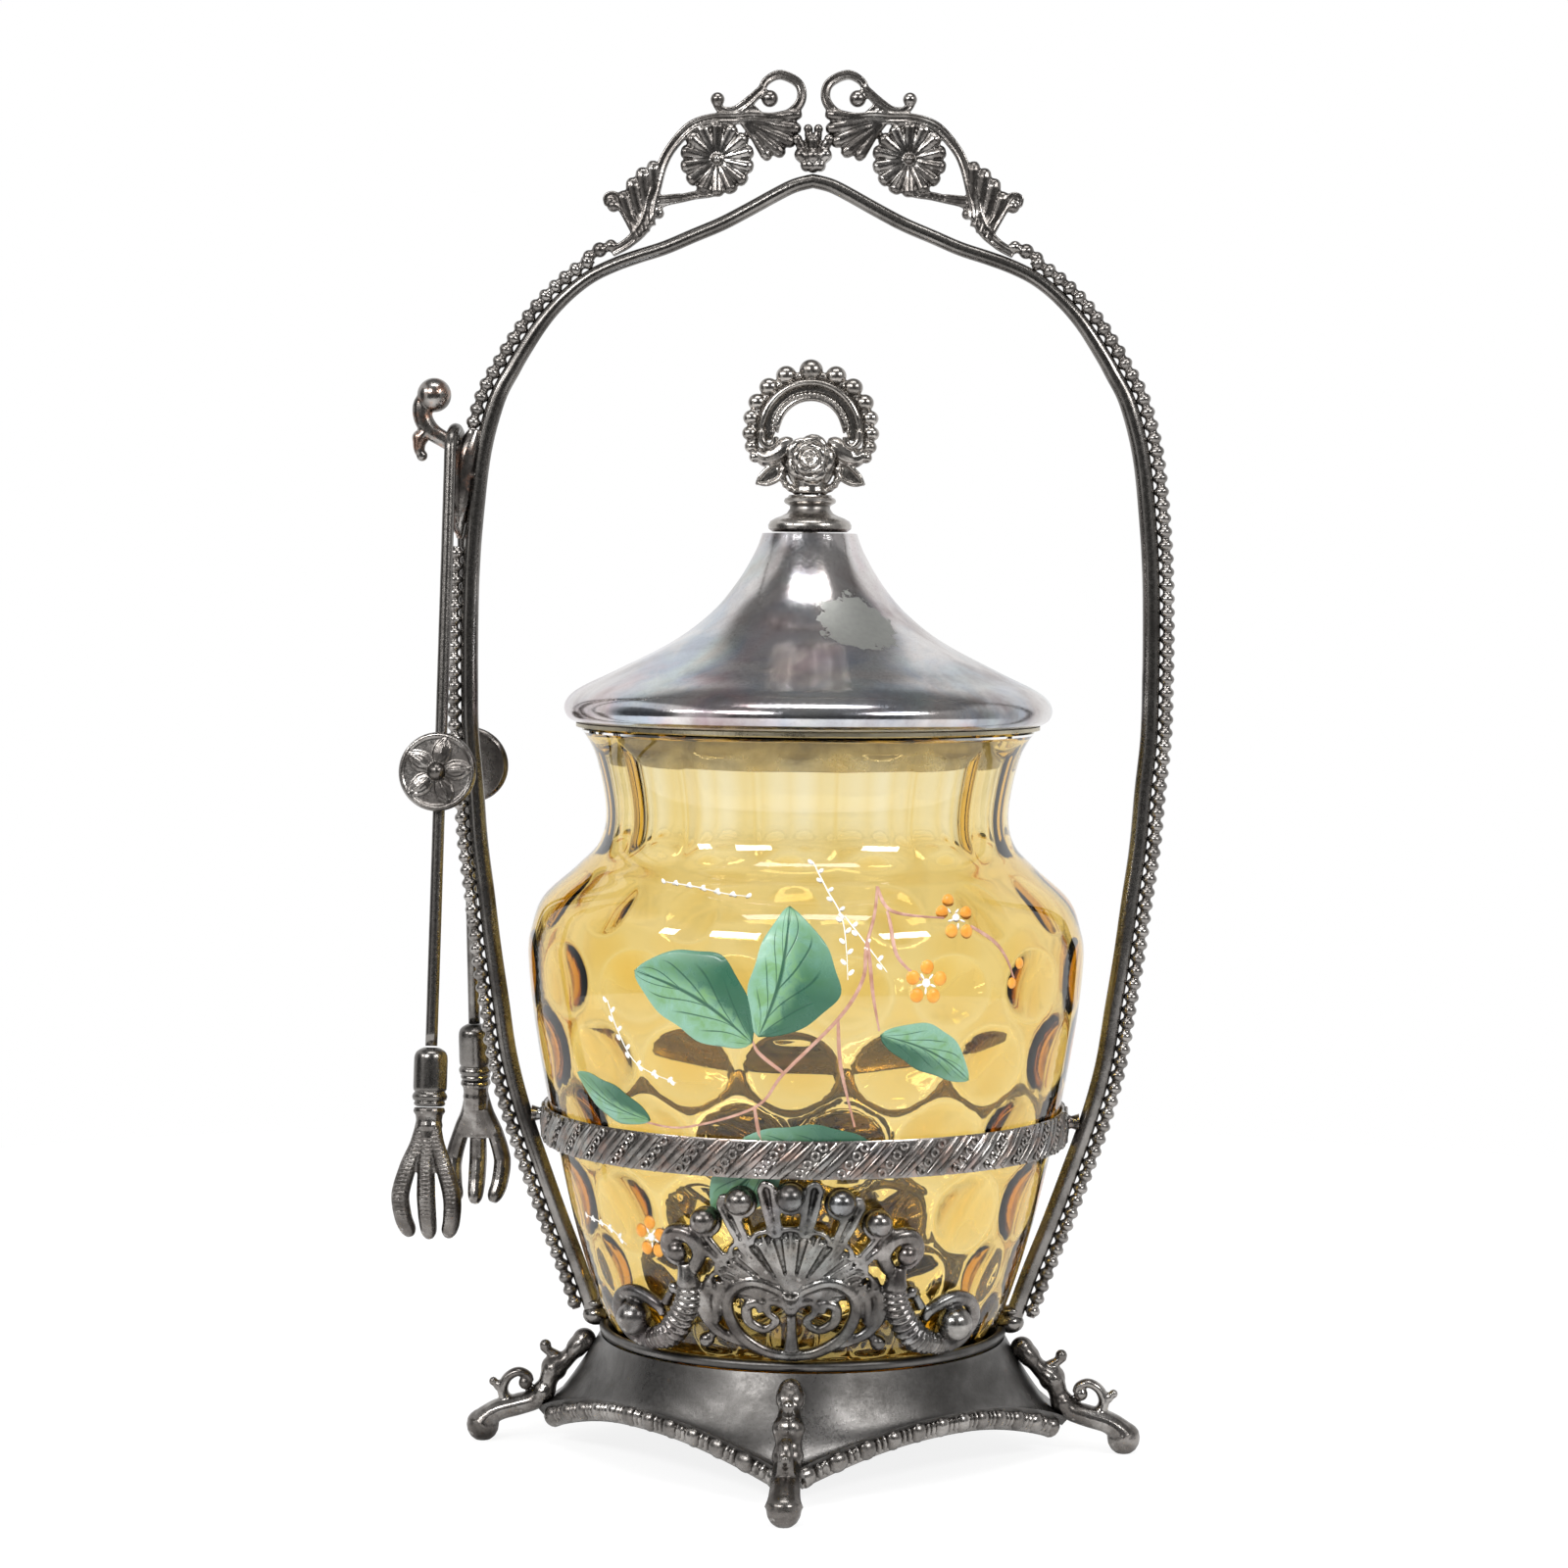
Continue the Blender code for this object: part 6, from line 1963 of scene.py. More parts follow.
@dataclass
class Lid(SubAssembly):
    """Spun lid with a rolled rim, the flange inside the jar and the finial's turned base."""

    radius: float = 0.0485
    bottom: float = 0.1456
    rise: float = 0.0375
    sheet: float = 0.0009
    flange: float = 0.0378
    shares: Points = (
        (0.194, 1.0), (0.225, 0.896), (0.296, 0.74), (0.396, 0.584), (0.55, 0.43), (0.784, 0.272),
        (0.918, 0.189), (0.977, 0.136), (1.0, 0.08), (0.988, 0.027), (0.957, 0.0),
    )
    disc: float = 0.0083
    neck: float = 0.004

    def make(self, bright: Material, polished: Material, brass: Material) -> None:
        """Makes the shell, flange and finial base.

        Args:
            bright: Finish of the shell.
            polished: Finish of the finial base.
            brass: Finish of the flange.
        """
        outside = [(r * self.radius, self.bottom + h * self.rise) for r, h in flow(self.shares, 10)]
        under = []
        for before, here, after in zip(outside, outside[1:], outside[2:]):
            run = Vector((after[0] - before[0], after[1] - before[1])).normalized()
            under.append((here[0] + run.y * self.sheet, here[1] - run.x * self.sheet))
        top = outside[0][1]
        inner = [spot for spot in reversed(under) if spot[1] < top - self.sheet and spot[1] > self.bottom]
        shape = Shape()
        shape.turned([(0.0019, top)] + outside + inner + [(0.0019, top - self.sheet)], 192)
        self.bench.set_down(shape, "lid_spun", Body.LID, bright, ["lid_shell"], Slot.BRIGHT, 60.0)
        ring = Shape()
        low, high = self.bottom - 0.0079, self.bottom - 0.0003
        rim = self.radius * self.shares[-1][0] - 0.0003
        section = [
            (self.flange - 0.0002, low), (self.flange, low + 0.0003), (self.flange, high - 0.0012),
            (self.flange + 0.0006, high - 0.0007), (rim, high - 0.0007), (rim, high),
            (self.flange - 0.0007, high), (self.flange - 0.0007, low + 0.0002),
        ]
        ring.turned(section, 160)
        self.bench.set_down(ring, "lid_plug", Body.LID, brass, ["lid_flange"], Slot.BRASS, 40.0)
        base = Shape()
        low = self.bottom + self.rise + 0.0003
        lines = (
            (0.0019, 0.0), (self.disc - 0.0009, 0.0), (self.disc - 0.0001, 0.0006), (self.disc, 0.0013),
            (self.disc - 0.0004, 0.0021), (self.disc - 0.0014, 0.0027), (0.0058, 0.0031), (0.0046, 0.0037),
            (self.neck, 0.0046), (self.neck, 0.0051), (0.0043, 0.0053), (0.005, 0.0057), (0.0052, 0.0061),
            (0.005, 0.0066), (0.0044, 0.0069), (0.0042, 0.0073), (0.0019, 0.0073)
        )
        base.turned([(radius, low + height) for radius, height in lines], 64)
        self.bench.set_down(
            base, "finial_turned_base", Body.LID, polished, ["finial_base"], Slot.BRIGHT, 40.0
        )


@dataclass
class Finial(SubAssembly):
    """Cast ring of graded beads with its band, rose and leaves."""

    bottom: float = 0.191
    rise: float = 0.0122
    radius: float = 0.0121
    stud: float = 0.0016
    stud_foot: float = 0.179
    beads: Points = (
        (0.0, 0.00225), (24.0, 0.00198), (43.5, 0.00187), (61.5, 0.00175), (77.0, 0.00158), (91.5, 0.00147),
        (104.0, 0.00134), (114.5, 0.00116),
    )
    voxel: float = 0.00017

    def at(self, reach: float, angle: float, depth: float = 0.0) -> Vector:
        """Point on the ring's plane from a share of its radius, and a depth towards the front.

        Args:
            reach: Share of the ring's radius.
            angle: Angle round the ring.
            depth: Depth towards the front as a share of the radius.

        Returns:
            The place.
        """
        return Vector((
            reach * self.radius * math.cos(angle), -depth * self.radius,
            self.bottom + self.rise + reach * self.radius * math.sin(angle)
        ))

    def arc(
        self, shape: Shape, reach: float, width: float, flat: float, depth: float, first: float, last: float,
        notch: float = 0.0
    ) -> None:
        """Adds a curved bar on the ring.

        Args:
            shape: The shape to add it to.
            reach: Its radius as a share of the ring's.
            width: Its half width as a share.
            flat: Half depth over half width.
            depth: How far it stands in front, as a share.
            first: Its first angle in degrees.
            last: Its last angle in degrees.
            notch: Depth of milling across it.
        """
        steps = 60
        angles = [math.radians(first + (last - first) * step / steps) for step in range(steps + 1)]
        line = [self.at(reach, angle, depth) for angle in angles]
        ends = [min(1.0, 0.45 + 6.0 * min(step, steps - step) / steps) for step in range(steps + 1)]
        widths = [width * self.radius * end * (1.0 - notch * (step % 2)) for step, end in enumerate(ends)]
        shape.tube(line, widths, FRONT, flat, 10)

    def rose(self, shape: Shape) -> None:
        """Adds the rose and its petals.

        Args:
            shape: The shape to add them to.
        """
        centre = Vector((0.0, -0.0014, self.bottom + 0.0068))
        shape.ball(centre + Vector((0.0, 0.0013, -0.0012)), 0.005, (1.0, 0.3, 1.05))
        shape.ball(centre, 0.0036, (1.0, 0.75, 1.05))
        rings = ((0.0036, 5, 0.0008, 0.0013), (0.0024, 5, 0.0022, 0.001), (0.0013, 3, 0.003, 0.0008))
        for ring, (reach, count, lift, width) in enumerate(rings):
            for petal in range(count):
                turn = FULL_TURN * (petal + 0.35 * ring) / count
                arc = []
                for step in range(7):
                    angle = turn + (step / 6.0 - 0.5) * FULL_TURN / count * 1.15
                    bulge = reach * (1.0 + 0.1 * math.sin(math.pi * step / 6.0))
                    arc.append(centre + Vector((math.cos(angle) * bulge, -lift, math.sin(angle) * bulge)))
                widths = [
                    width * (0.35 + 0.5 * math.sin(math.pi * (0.08 + 0.84 * step / 6.0)))
                    for step in range(7)
                ]
                shape.tube(arc, widths, FRONT, 1.1, 8)
        shape.ball(centre + Vector((0.0, -0.003, 0.0)), 0.0008)

    def strip(
        self, shape: Shape, points: Points, side: float, flat: float, lift: float = 0.0, milled: float = 0.0
    ) -> None:
        """Adds a curved bar given in shares of the ring's radius from its centre.

        Args:
            shape: The shape to add it to.
            points: Places across and up, with half widths.
            side: 1 for the right side, -1 for the left.
            flat: Half depth over half width.
            lift: How far it stands in front, as a share.
            milled: Depth of milling across it.
        """
        path = flow(points, 6)
        line = [
            Vector((side * x, -lift, z)) * self.radius + UP * (self.bottom + self.rise) for x, z, _ in path
        ]
        widths = [w * self.radius * (1.0 - milled * (index % 2)) for index, (_, _, w) in enumerate(path)]
        shape.tube(line, widths, FRONT, flat, 12)

    def leafage(self, shape: Shape, side: float) -> None:
        """Adds the curled end of the ring and the leaves on one side of the rose.

        Args:
            shape: The shape to add them to.
            side: 1 for the right and -1 for the left.
        """
        for lift in (-0.13, 0.13):
            curl = (
                (0.8, 0.02, 0.055), (0.79, -0.14, 0.06), (0.7, -0.24, 0.06), (0.6, -0.2, 0.05),
                (0.58, -0.08, 0.06),
            )
            self.strip(shape, curl, side, 1.0, lift)
            self.strip(
                shape, ((0.46, -0.5, 0.035), (0.62, -0.54, 0.035), (0.8, -0.7, 0.035), (0.88, -0.84, 0.02)),
                side, 1.0, 0.5 * lift
            )
            self.strip(
                shape, ((0.42, -0.58, 0.035), (0.5, -0.76, 0.035), (0.7, -0.86, 0.035), (0.88, -0.85, 0.02)),
                side, 1.0, 0.5 * lift
            )
        leaf = (
            (0.88, -0.34, 0.1), (0.72, -0.42, 0.17), (0.54, -0.35, 0.19), (0.38, -0.22, 0.16),
            (0.27, -0.18, 0.08),
        )
        self.strip(shape, leaf, side, 0.85)
        small = ((0.44, -0.52, 0.05), (0.6, -0.66, 0.13), (0.76, -0.77, 0.1), (0.9, -0.86, 0.02))
        self.strip(shape, small, side, 0.35)
        stalk = ((0.42, -0.42, 0.06), (0.47, -0.62, 0.07), (0.4, -0.86, 0.07), (0.16, -1.0, 0.07))
        self.strip(shape, stalk, side, 1.4, 0.0, 0.22)

    def make(self, material: Material) -> None:
        """Makes the finial.

        Args:
            material: Its finish.
        """
        shape = Shape()
        stud = [Vector((0.0, 0.0, self.stud_foot)), Vector((0.0, 0.0, self.bottom + 0.002))]
        shape.tube(stud, [self.stud, self.stud], FRONT, 1.0, 16)
        stations = ((-0.06, 0.24), (0.02, 0.27), (0.12, 0.25), (0.25, 0.27), (0.4, 0.31), (0.5, 0.28))
        line = [Vector((0.0, 0.0, max(self.bottom, self.bottom + z * self.radius))) for z, _ in stations]
        line[0].z = self.bottom
        line[1].z = self.bottom + 0.0003
        shape.tube(line, [w * self.radius for _, w in stations], FRONT, 0.8, 16)
        for depth in (-1.0, 1.0):
            self.arc(shape, 0.8, 0.055, 1.0, 0.13 * depth, 0.0, 180.0)
            self.arc(shape, 0.62, 0.036, 1.1, 0.075 * depth, -4.0, 184.0, 0.3)
            self.arc(shape, 0.545, 0.045, 1.1, 0.045 * depth, -2.0, 182.0)
        self.arc(shape, 0.92, 0.075, 1.0, 0.0, -22.0, 202.0)
        self.arc(shape, 0.7, 0.17, 0.26, 0.0, -12.0, 192.0)
        for side in (1.0, -1.0):
            self.leafage(shape, side)
            for turn, size in self.beads:
                place = self.at(1.0, math.radians(90.0 - side * turn))
                shape.ball(place, size, (1.06, 1.0, 1.0), around=20, rings=14)
        self.rose(shape)
        shape.fuse(self.voxel, 1)
        self.bench.set_down(shape, "finial_ring", Body.LID, material, ["finial_loop"], Slot.BRIGHT)


# Hook and tongs

@dataclass
class TongHook(SubAssembly):
    """Cast hook with leaves and a ball, on the left arm of the arch."""

    reach: float = 0.012
    root: float = 0.064
    height: float = 0.196
    stem: Points = (
        (0.43, 0.0, 0.15), (0.47, 0.2, 0.145), (0.567, 0.315, 0.138), (0.77, 0.44, 0.14),
        (0.96, 0.56, 0.15), (1.095, 0.74, 0.16), (1.13, 0.93, 0.165), (1.1, 1.07, 0.15), (1.0, 1.15, 0.12),
    )
    back: Points = (
        (0.96, 0.6, 0.1), (1.1, 0.53, 0.115), (1.17, 0.4, 0.115), (1.17, 0.24, 0.09), (1.1, 0.15, 0.07)
    )
    body: Points = (
        (0.5, -1.208, 0.05), (0.49, -0.792, 0.13), (0.46, -0.375, 0.19), (0.42, 0.02, 0.21),
        (0.34, 0.31, 0.19), (0.23, 0.62, 0.1),
    )
    voxel: float = 0.0002

    def at(self, x: float, z: float, depth: float = 0.0) -> Vector:
        """Place of a point given as shares of the reach."""
        return Vector((-self.root - x * self.reach, -depth * self.reach, self.height + z * self.reach))

    def make(self, material: Material) -> None:
        """Makes the hook.

        Args:
            material: Its finish.
        """
        shape = Shape()
        for points, flat in ((self.stem, 1.0), (self.back, 1.2), (self.body, 1.3)):
            path = flow(points, 5)
            shape.tube(
                [self.at(x, z) for x, z, _ in path], [w * self.reach for _, _, w in path], FRONT, flat, 14
            )
        shape.ball(self.at(0.93, 1.17), 0.285 * self.reach, around=24, rings=16)
        shape.ball(self.at(1.16, 0.46), 0.14 * self.reach)
        shape.ball(self.at(1.13, 0.165), 0.095 * self.reach)
        for z in (-0.16, 0.02):
            shape.ball(self.at(0.43, z), 0.25 * self.reach, (1.0, 1.0, 0.28))
        for depth in (-1.0, 1.0):
            for points in (
                ((0.5, -0.24, 0.05), (0.6, -0.46, 0.09), (0.56, -0.7, 0.08), (0.44, -0.88, 0.03)),
                ((0.52, -0.5, 0.05), (0.62, -0.74, 0.08), (0.6, -0.98, 0.06), (0.5, -1.16, 0.02)),
                ((0.44, -0.3, 0.05), (0.4, -0.52, 0.08), (0.44, -0.78, 0.06), (0.5, -0.98, 0.02)),
                ((0.4, 0.24, 0.04), (0.33, 0.44, 0.07), (0.28, 0.62, 0.04)),
            ):
                path = flow(points, 4)
                shape.tube(
                    [self.at(x, z, depth * 0.11) for x, z, _ in path], [w * self.reach for _, _, w in path],
                    FRONT, 0.9, 8
                )
        shape.fuse(self.voxel)
        self.bench.set_down(shape, "tongs_hook_cast", Body.FRAME, material, ["tongs_hook"], Slot.WORN)


@dataclass
class Tongs(SubAssembly):
    """Sprung wire tongs with flower discs, ferrules and three-taloned claws."""

    hang: float = 0.070804
    twist: float = math.radians(-4.5)
    wire: float = 0.0012
    bow: float = 0.005
    spread: float = math.radians(7.1)
    pivot_height: float = 0.198914
    length: float = 0.118
    drop: float = 0.064
    disc: float = 0.0078
    disc_thick: float = 0.0015
    ferrule: float = 0.0033
    ferrule_length: float = 0.0115
    claw: float = 0.0255
    talons: tuple[Points, ...] = (
        ((0.04, -0.1, 0.055), (0.075, -0.28, 0.062), (0.14, -0.451, 0.068), (0.2, -0.667, 0.072),
         (0.19, -0.843, 0.07), (0.16, -0.94, 0.062), (0.148, -0.985, 0.034)),
        ((0.0, -0.1, 0.06), (0.0, -0.28, 0.062), (0.0, -0.451, 0.068), (0.0, -0.667, 0.074),
         (0.0, -0.843, 0.072), (0.0, -0.95, 0.062), (0.0, -0.998, 0.034)),
        ((-0.04, -0.1, 0.055), (-0.075, -0.28, 0.062), (-0.14, -0.451, 0.068), (-0.2, -0.667, 0.072),
         (-0.19, -0.843, 0.07), (-0.16, -0.94, 0.062), (-0.148, -0.985, 0.034)),
    )
    palm: Points = ((0.0, -0.1, 0.095), (0.0, -0.28, 0.11), (0.0, -0.4, 0.15), (0.0, -0.49, 0.15))
    bend: Points = ((0.0, 0.0), (0.25, 0.035), (0.45, 0.05), (0.67, 0.024), (0.84, -0.047), (1.0, -0.145))
    disc_voxel: float = 0.00017
    claw_voxel: float = 0.00018

    def hanging(self) -> Matrix:
        """Place of the pair of tongs."""
        return Matrix.Translation((-self.hang, 0.0, 0.0)) @ Matrix.Rotation(self.twist, 4, "Z")

    def leg(self, side: float) -> Matrix:
        """Place of one leg, whose own axis runs down from its pivot."""
        pivot = Vector((0.0, -side * self.bow * math.cos(self.spread), self.pivot_height))
        return self.hanging() @ Matrix.Translation(pivot) @ Matrix.Rotation(-self.spread * side, 4, "X")

    def make_wire(self, name: str, side: float, body: Body, material: Material) -> None:
        """Makes half of the bow with its leg.

        Args:
            name: Name of the piece.
            side: 1 for the front leg and -1 for the back one.
            body: The leg's body. It is not used.
            material: Its finish.
        """
        centre = self.pivot_height - self.bow * math.sin(self.spread)
        path = []
        for step in range(17):
            turn = math.pi / 2.0 - (math.pi / 2.0 - self.spread) * step / 16
            spot = Vector((0.0, -side * self.bow * math.cos(turn), centre + self.bow * math.sin(turn)))
            path.append(self.hanging() @ spot)
        place = self.leg(side)
        for step in range(1, 41):
            path.append(place @ Vector((0.0, 0.0, -(self.length - 0.0003) * step / 40)))
        shape = Shape()
        shape.tube(path, [self.wire] * len(path), Vector((1.0, 0.0, 0.0)), 1.0, 16)
        piece = self.bench.piece(shape, name, material)
        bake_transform(piece)
        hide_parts("tongs_bow", "tongs_leg_front" if side > 0.0 else "tongs_leg_back")

    def make_disc(self, name: str, side: float, body: Body, material: Material) -> None:
        """Makes the flower disc on one leg.

        Args:
            name: Which leg it is on.
            side: 1 for the front leg and -1 for the back one.
            body: The leg's body.
            material: Its finish.
        """
        out = Vector((0.0, -side, 0.0))
        start = out * (self.wire + 0.0001) + Vector((0.0, 0.0, -self.drop))
        shape = Shape()
        radius = self.disc
        rows = ((0.0, 0.9), (0.3, 0.97), (0.55, 1.0), (0.8, 1.0), (1.0, 0.96))
        spine = [start + out * (self.disc_thick * depth) for depth, _ in rows]
        shape.tube(spine, [radius * size for _, size in rows], UP, 1.0, 48)
        ring = [start + out * self.disc_thick + Vector((math.cos(t), 0.0, math.sin(t))) * radius * 0.92
                for t in (FULL_TURN * k / 48 for k in range(49))]
        shape.tube(ring, [0.055 * radius] * 49, out, 0.8, 8)
        face = start + out * self.disc_thick
        for petal in range(5):
            turn = FULL_TURN * (petal + 0.07) / 5
            along = Vector((math.cos(turn), 0.0, math.sin(turn)))
            across = Vector((-math.sin(turn), 0.0, math.cos(turn)))
            stations = ((0.14, 0.06), (0.28, 0.13), (0.45, 0.19), (0.62, 0.17), (0.76, 0.09), (0.86, 0.03))
            path = [face + along * (share * radius) for share, _ in stations]
            shape.tube(path, [w * radius for _, w in stations], out, 0.42, 12)
            for edge in (-1.0, 1.0):
                rim = [
                    face + along * (share * radius) + across * (edge * w * radius) + out * 0.00012
                    for share, w in stations
                ]
                shape.tube(rim, [0.028 * radius] * len(rim), out, 1.2, 6)
            vein = [face + along * (share * radius) + out * (0.4 * w * radius) for share, w in stations[1:]]
            shape.tube(vein, [0.022 * radius] * len(vein), out, 1.2, 6)
        shape.ball(face + out * 0.0004, 0.225 * radius, around=20, rings=14)
        shape.fuse(self.disc_voxel, 1)
        shape.move(self.leg(side))
        self.bench.set_down(
            shape, "tongs_flower_" + name, body, material, ["tongs_disc_" + name], Slot.CASTING
        )

    def make_ferrule(self, name: str, side: float, body: Body, material: Material) -> None:
        """Makes the ferrule of one leg.

        Args:
            name: Which leg it is on.
            side: 1 for the front leg and -1 for the back one.
            body: The leg's body.
            material: Its finish.
        """
        shape = Shape()
        shares = (
            (0.42, 0.0), (0.6, 0.02), (0.85, 0.07), (0.97, 0.14), (1.0, 0.24), (1.0, 0.45), (1.0, 0.66),
            (0.97, 0.72), (0.9, 0.75), (0.97, 0.78), (1.04, 0.83), (0.98, 0.89), (0.88, 0.91),
            (0.93, 0.94), (0.9, 0.98), (0.74, 1.0),
        )
        rows = ((0.0, 0.0), *flow(shares, 3), (0.0, 1.0))
        profile = [(r * self.ferrule, -h * self.ferrule_length) for r, h in rows]
        shape.turned(profile, 40, False)
        shape.move(self.leg(side) @ Matrix.Translation((0.0, 0.0, -self.length)))
        self.bench.set_down(
            shape, "tongs_socket_" + name, body, material, ["tongs_ferrule_" + name], Slot.TARNISHED
        )

    def make_claw(self, name: str, side: float, body: Body, material: Material) -> None:
        """Makes the claw of one leg: ringed outside, smooth inside.

        Args:
            name: Which leg it is on.
            side: 1 for the front leg and -1 for the back one.
            body: The leg's body.
            material: Its finish.
        """
        out = Vector((0.0, -side, 0.0))
        top = Vector((0.0, 0.0, -self.length - self.ferrule_length - 0.0002))
        shape = Shape()
        head = (
            (0.0, 0.115), (-0.03, 0.125), (-0.06, 0.105), (-0.1, 0.1), (-0.14, 0.108), (-0.18, 0.1),
            (-0.24, 0.1)
        )
        shape.tube(
            [top + UP * (z * self.claw) for z, _ in head], [w * self.claw for _, w in head], out, 1.0, 16
        )
        for points in self.talons:
            path = flow(points, 8)
            line = [
                top + Vector((x, 0.0, z)) * self.claw + out * (between(self.bend, -z) * self.claw)
                for x, z, _ in path
            ]
            shape.tube(line, [w * self.claw for _, _, w in path], out, 0.92, 12)
            rings = even(line, 0.00082)
            for point in rings[2:-2]:
                depth = (top.z - point.z) / self.claw
                width = between([(-z, w) for _, z, w in points], depth) * self.claw
                shape.ball(
                    point + out * (0.34 * width), 0.86 * width, (1.0, 0.95, 0.0003 / width), None, 12, 6
                )
        palm = flow(self.palm, 4)
        line = [
            top + Vector((x, 0.0, z)) * self.claw + out * ((between(self.bend, -z) - 0.02) * self.claw)
            for x, z, _ in palm
        ]
        shape.tube(line, [w * self.claw for _, _, w in palm], out, 0.35, 14)
        shape.fuse(self.claw_voxel, 1)
        shape.move(self.leg(side))
        self.bench.set_down(
            shape, "tongs_talons_" + name, body, material, ["tongs_claw_" + name], Slot.CASTING
        )

    def make(self, plain: Material, cast: Material) -> None:
        """Makes both legs with all that they carry.

        Args:
            plain: Finish of the wires and the ferrules.
            cast: Finish of the discs and the claws.
        """
        for name, side, body in (("front", 1.0, Body.FRONT_LEG), ("back", -1.0, Body.BACK_LEG)):
            self.make_wire("tongs_wire_" + name, side, body, plain)
            self.make_disc(name, side, body, cast)
            self.make_ferrule(name, side, body, plain)
            self.make_claw(name, side, body, cast)


# Studio

@dataclass
class Studio:
    """Pale floor, soft lights and the camera.

    Args:
        axis: The castor's axis in the frame.
        view: The photograph's viewpoint.
    """

    axis: Vector
    view: Viewpoint
    floor_radius: float = 0.45
    floor_glow: float = 1.1
    floor_clear: float = 0.78
    near_side: tuple[float, float] = (0.07, 0.24)
    far_side: float = 0.95
    left_strip: float = 0.75
    right_strip: float = 0.35
    ambient: float = 0.62
    bounces: int = 24
    aim_height: float = 0.13
    lamps: tuple[tuple[str, Sequence[float], Sequence[float], float], ...] = (
        ("left", (-0.42, -0.78, 0.62), (0.34, 0.16), 5.0),
        ("right", (0.66, -0.62, 0.62), (0.36, 0.16), 4.5),
        ("far_left", (-0.82, -0.5, 0.6), (0.14, 0.16), 1.6),
        ("top", (0.02, -0.28, 1.05), (0.62, 0.2), 3.5),
    )

    def make_world(self) -> None:
        """Makes white surroundings that mirror darker from the camera's side, with two bright strips."""
        world = bpy.data.worlds.new("studio")
        bpy.context.scene.world = world
        world.use_nodes = True
        wiring = Wiring(world.node_tree)
        wiring.tree.nodes.clear()
        ray = wiring.node("ShaderNodeLightPath").outputs
        split = wiring.node("ShaderNodeSeparateXYZ")
        wiring.feed(split.inputs[0], wiring.node("ShaderNodeTexCoord").outputs["Generated"])
        x, y, z = split.outputs
        behind = wiring.scaled(y, 0.08, 0.34, 0.0, 1.0)
        below_top = wiring.scaled(z, 0.62, 0.74, 1.0, 0.0)
        left = wiring.maths("MULTIPLY", wiring.scaled(x, -0.9, -0.82, 0.0, self.left_strip),
                            wiring.scaled(x, -0.66, -0.58, 1.0, 0.0))
        strips = wiring.maths("MAXIMUM", left, wiring.scaled(x, 0.72, 0.8, 0.0, self.right_strip))
        near = wiring.maths("MAXIMUM", strips, wiring.scaled(z, 0.1, 0.9, *self.near_side))
        mirrored = wiring.scaled(wiring.maths("MULTIPLY", behind, below_top), 0.0, 1.0, near, self.far_side)
        lit = wiring.scaled(ray["Is Diffuse Ray"], 0.0, 1.0, mirrored, self.ambient)
        level = wiring.scaled(wiring.maths("ABSOLUTE", z), 0.22, 0.36, 1.0, 0.12)
        clear = wiring.maths(
            "MAXIMUM", ray["Is Camera Ray"], wiring.maths("MULTIPLY", level, ray["Is Transmission Ray"])
        )
        background = wiring.node("ShaderNodeBackground")
        wiring.feed(background.inputs["Color"], (1.0, 1.0, 1.0))
        wiring.feed(background.inputs["Strength"], wiring.maths("MAXIMUM", lit, clear))
        wiring.feed(wiring.node("ShaderNodeOutputWorld").inputs["Surface"], background.outputs[0])

    def make_floor(self) -> None:
        """Makes the pale floor."""
        shape = bmesh.new()
        bmesh.ops.create_circle(shape, cap_ends=True, segments=96, radius=self.floor_radius)
        mesh = bpy.data.meshes.new("floor")
        shape.to_mesh(mesh)
        shape.free()
        recipe = Recipe("pale_floor")
        recipe.shader.inputs["Roughness"].default_value = 0.9
        recipe.shader.inputs["Specular IOR Level"].default_value = 0.1
        tone = recipe.ramp(recipe.noise(9.0, 3.0), [(0.3, (0.86, 0.86, 0.86)), (0.7, (0.88, 0.88, 0.88))])
        recipe.feed(recipe.shader.inputs["Base Color"], tone)
        path = recipe.node("ShaderNodeLightPath")
        seen = recipe.maths("MAXIMUM", path.outputs["Is Camera Ray"], path.outputs["Is Transmission Ray"])
        glow = recipe.node("ShaderNodeEmission")
        glow.inputs["Strength"].default_value = self.floor_glow
        mix = recipe.node("ShaderNodeMixShader")
        recipe.feed(mix.inputs[0], recipe.maths("MULTIPLY", seen, self.floor_clear))
        recipe.feed(mix.inputs[1], recipe.shader.outputs[0])
        recipe.feed(mix.inputs[2], glow.outputs[0])
        recipe.feed(recipe.tree.nodes["Material Output"].inputs["Surface"], mix.outputs[0])
        mesh.materials.append(recipe.material)
        floor = bpy.data.objects.new("floor", mesh)
        bpy.context.collection.objects.link(floor)

    def make_lamp(self, name: str, place: Sequence[float], size: Sequence[float], power: float) -> None:
        """Makes one soft lamp aimed at the castor.

        Args:
            name: Name of the lamp.
            place: Where it stands.
            size: Its width and height.
            power: Its power.
        """
        light = bpy.data.lights.new(name, "AREA")
        light.shape = "RECTANGLE"
        light.size, light.size_y = size
        light.energy = power
        lamp = bpy.data.objects.new(name, light)
        bpy.context.collection.objects.link(lamp)
        lamp.location = place
        aim = self.axis + UP * self.aim_height - Vector(place)
        lamp.rotation_euler = aim.to_track_quat("-Z", "Y").to_euler()

    def make_camera(self) -> None:
        """Makes the camera at the photograph's viewpoint."""
        data = bpy.data.cameras.new("view")
        data.lens = self.view.lens
        data.sensor_width = SENSOR_WIDTH
        data.clip_start = 0.01
        camera = bpy.data.objects.new("view", data)
        bpy.context.collection.objects.link(camera)
        camera.matrix_world = Matrix.Translation(self.axis + self.view.place()) @ self.view.turn().to_4x4()
        bpy.context.scene.camera = camera

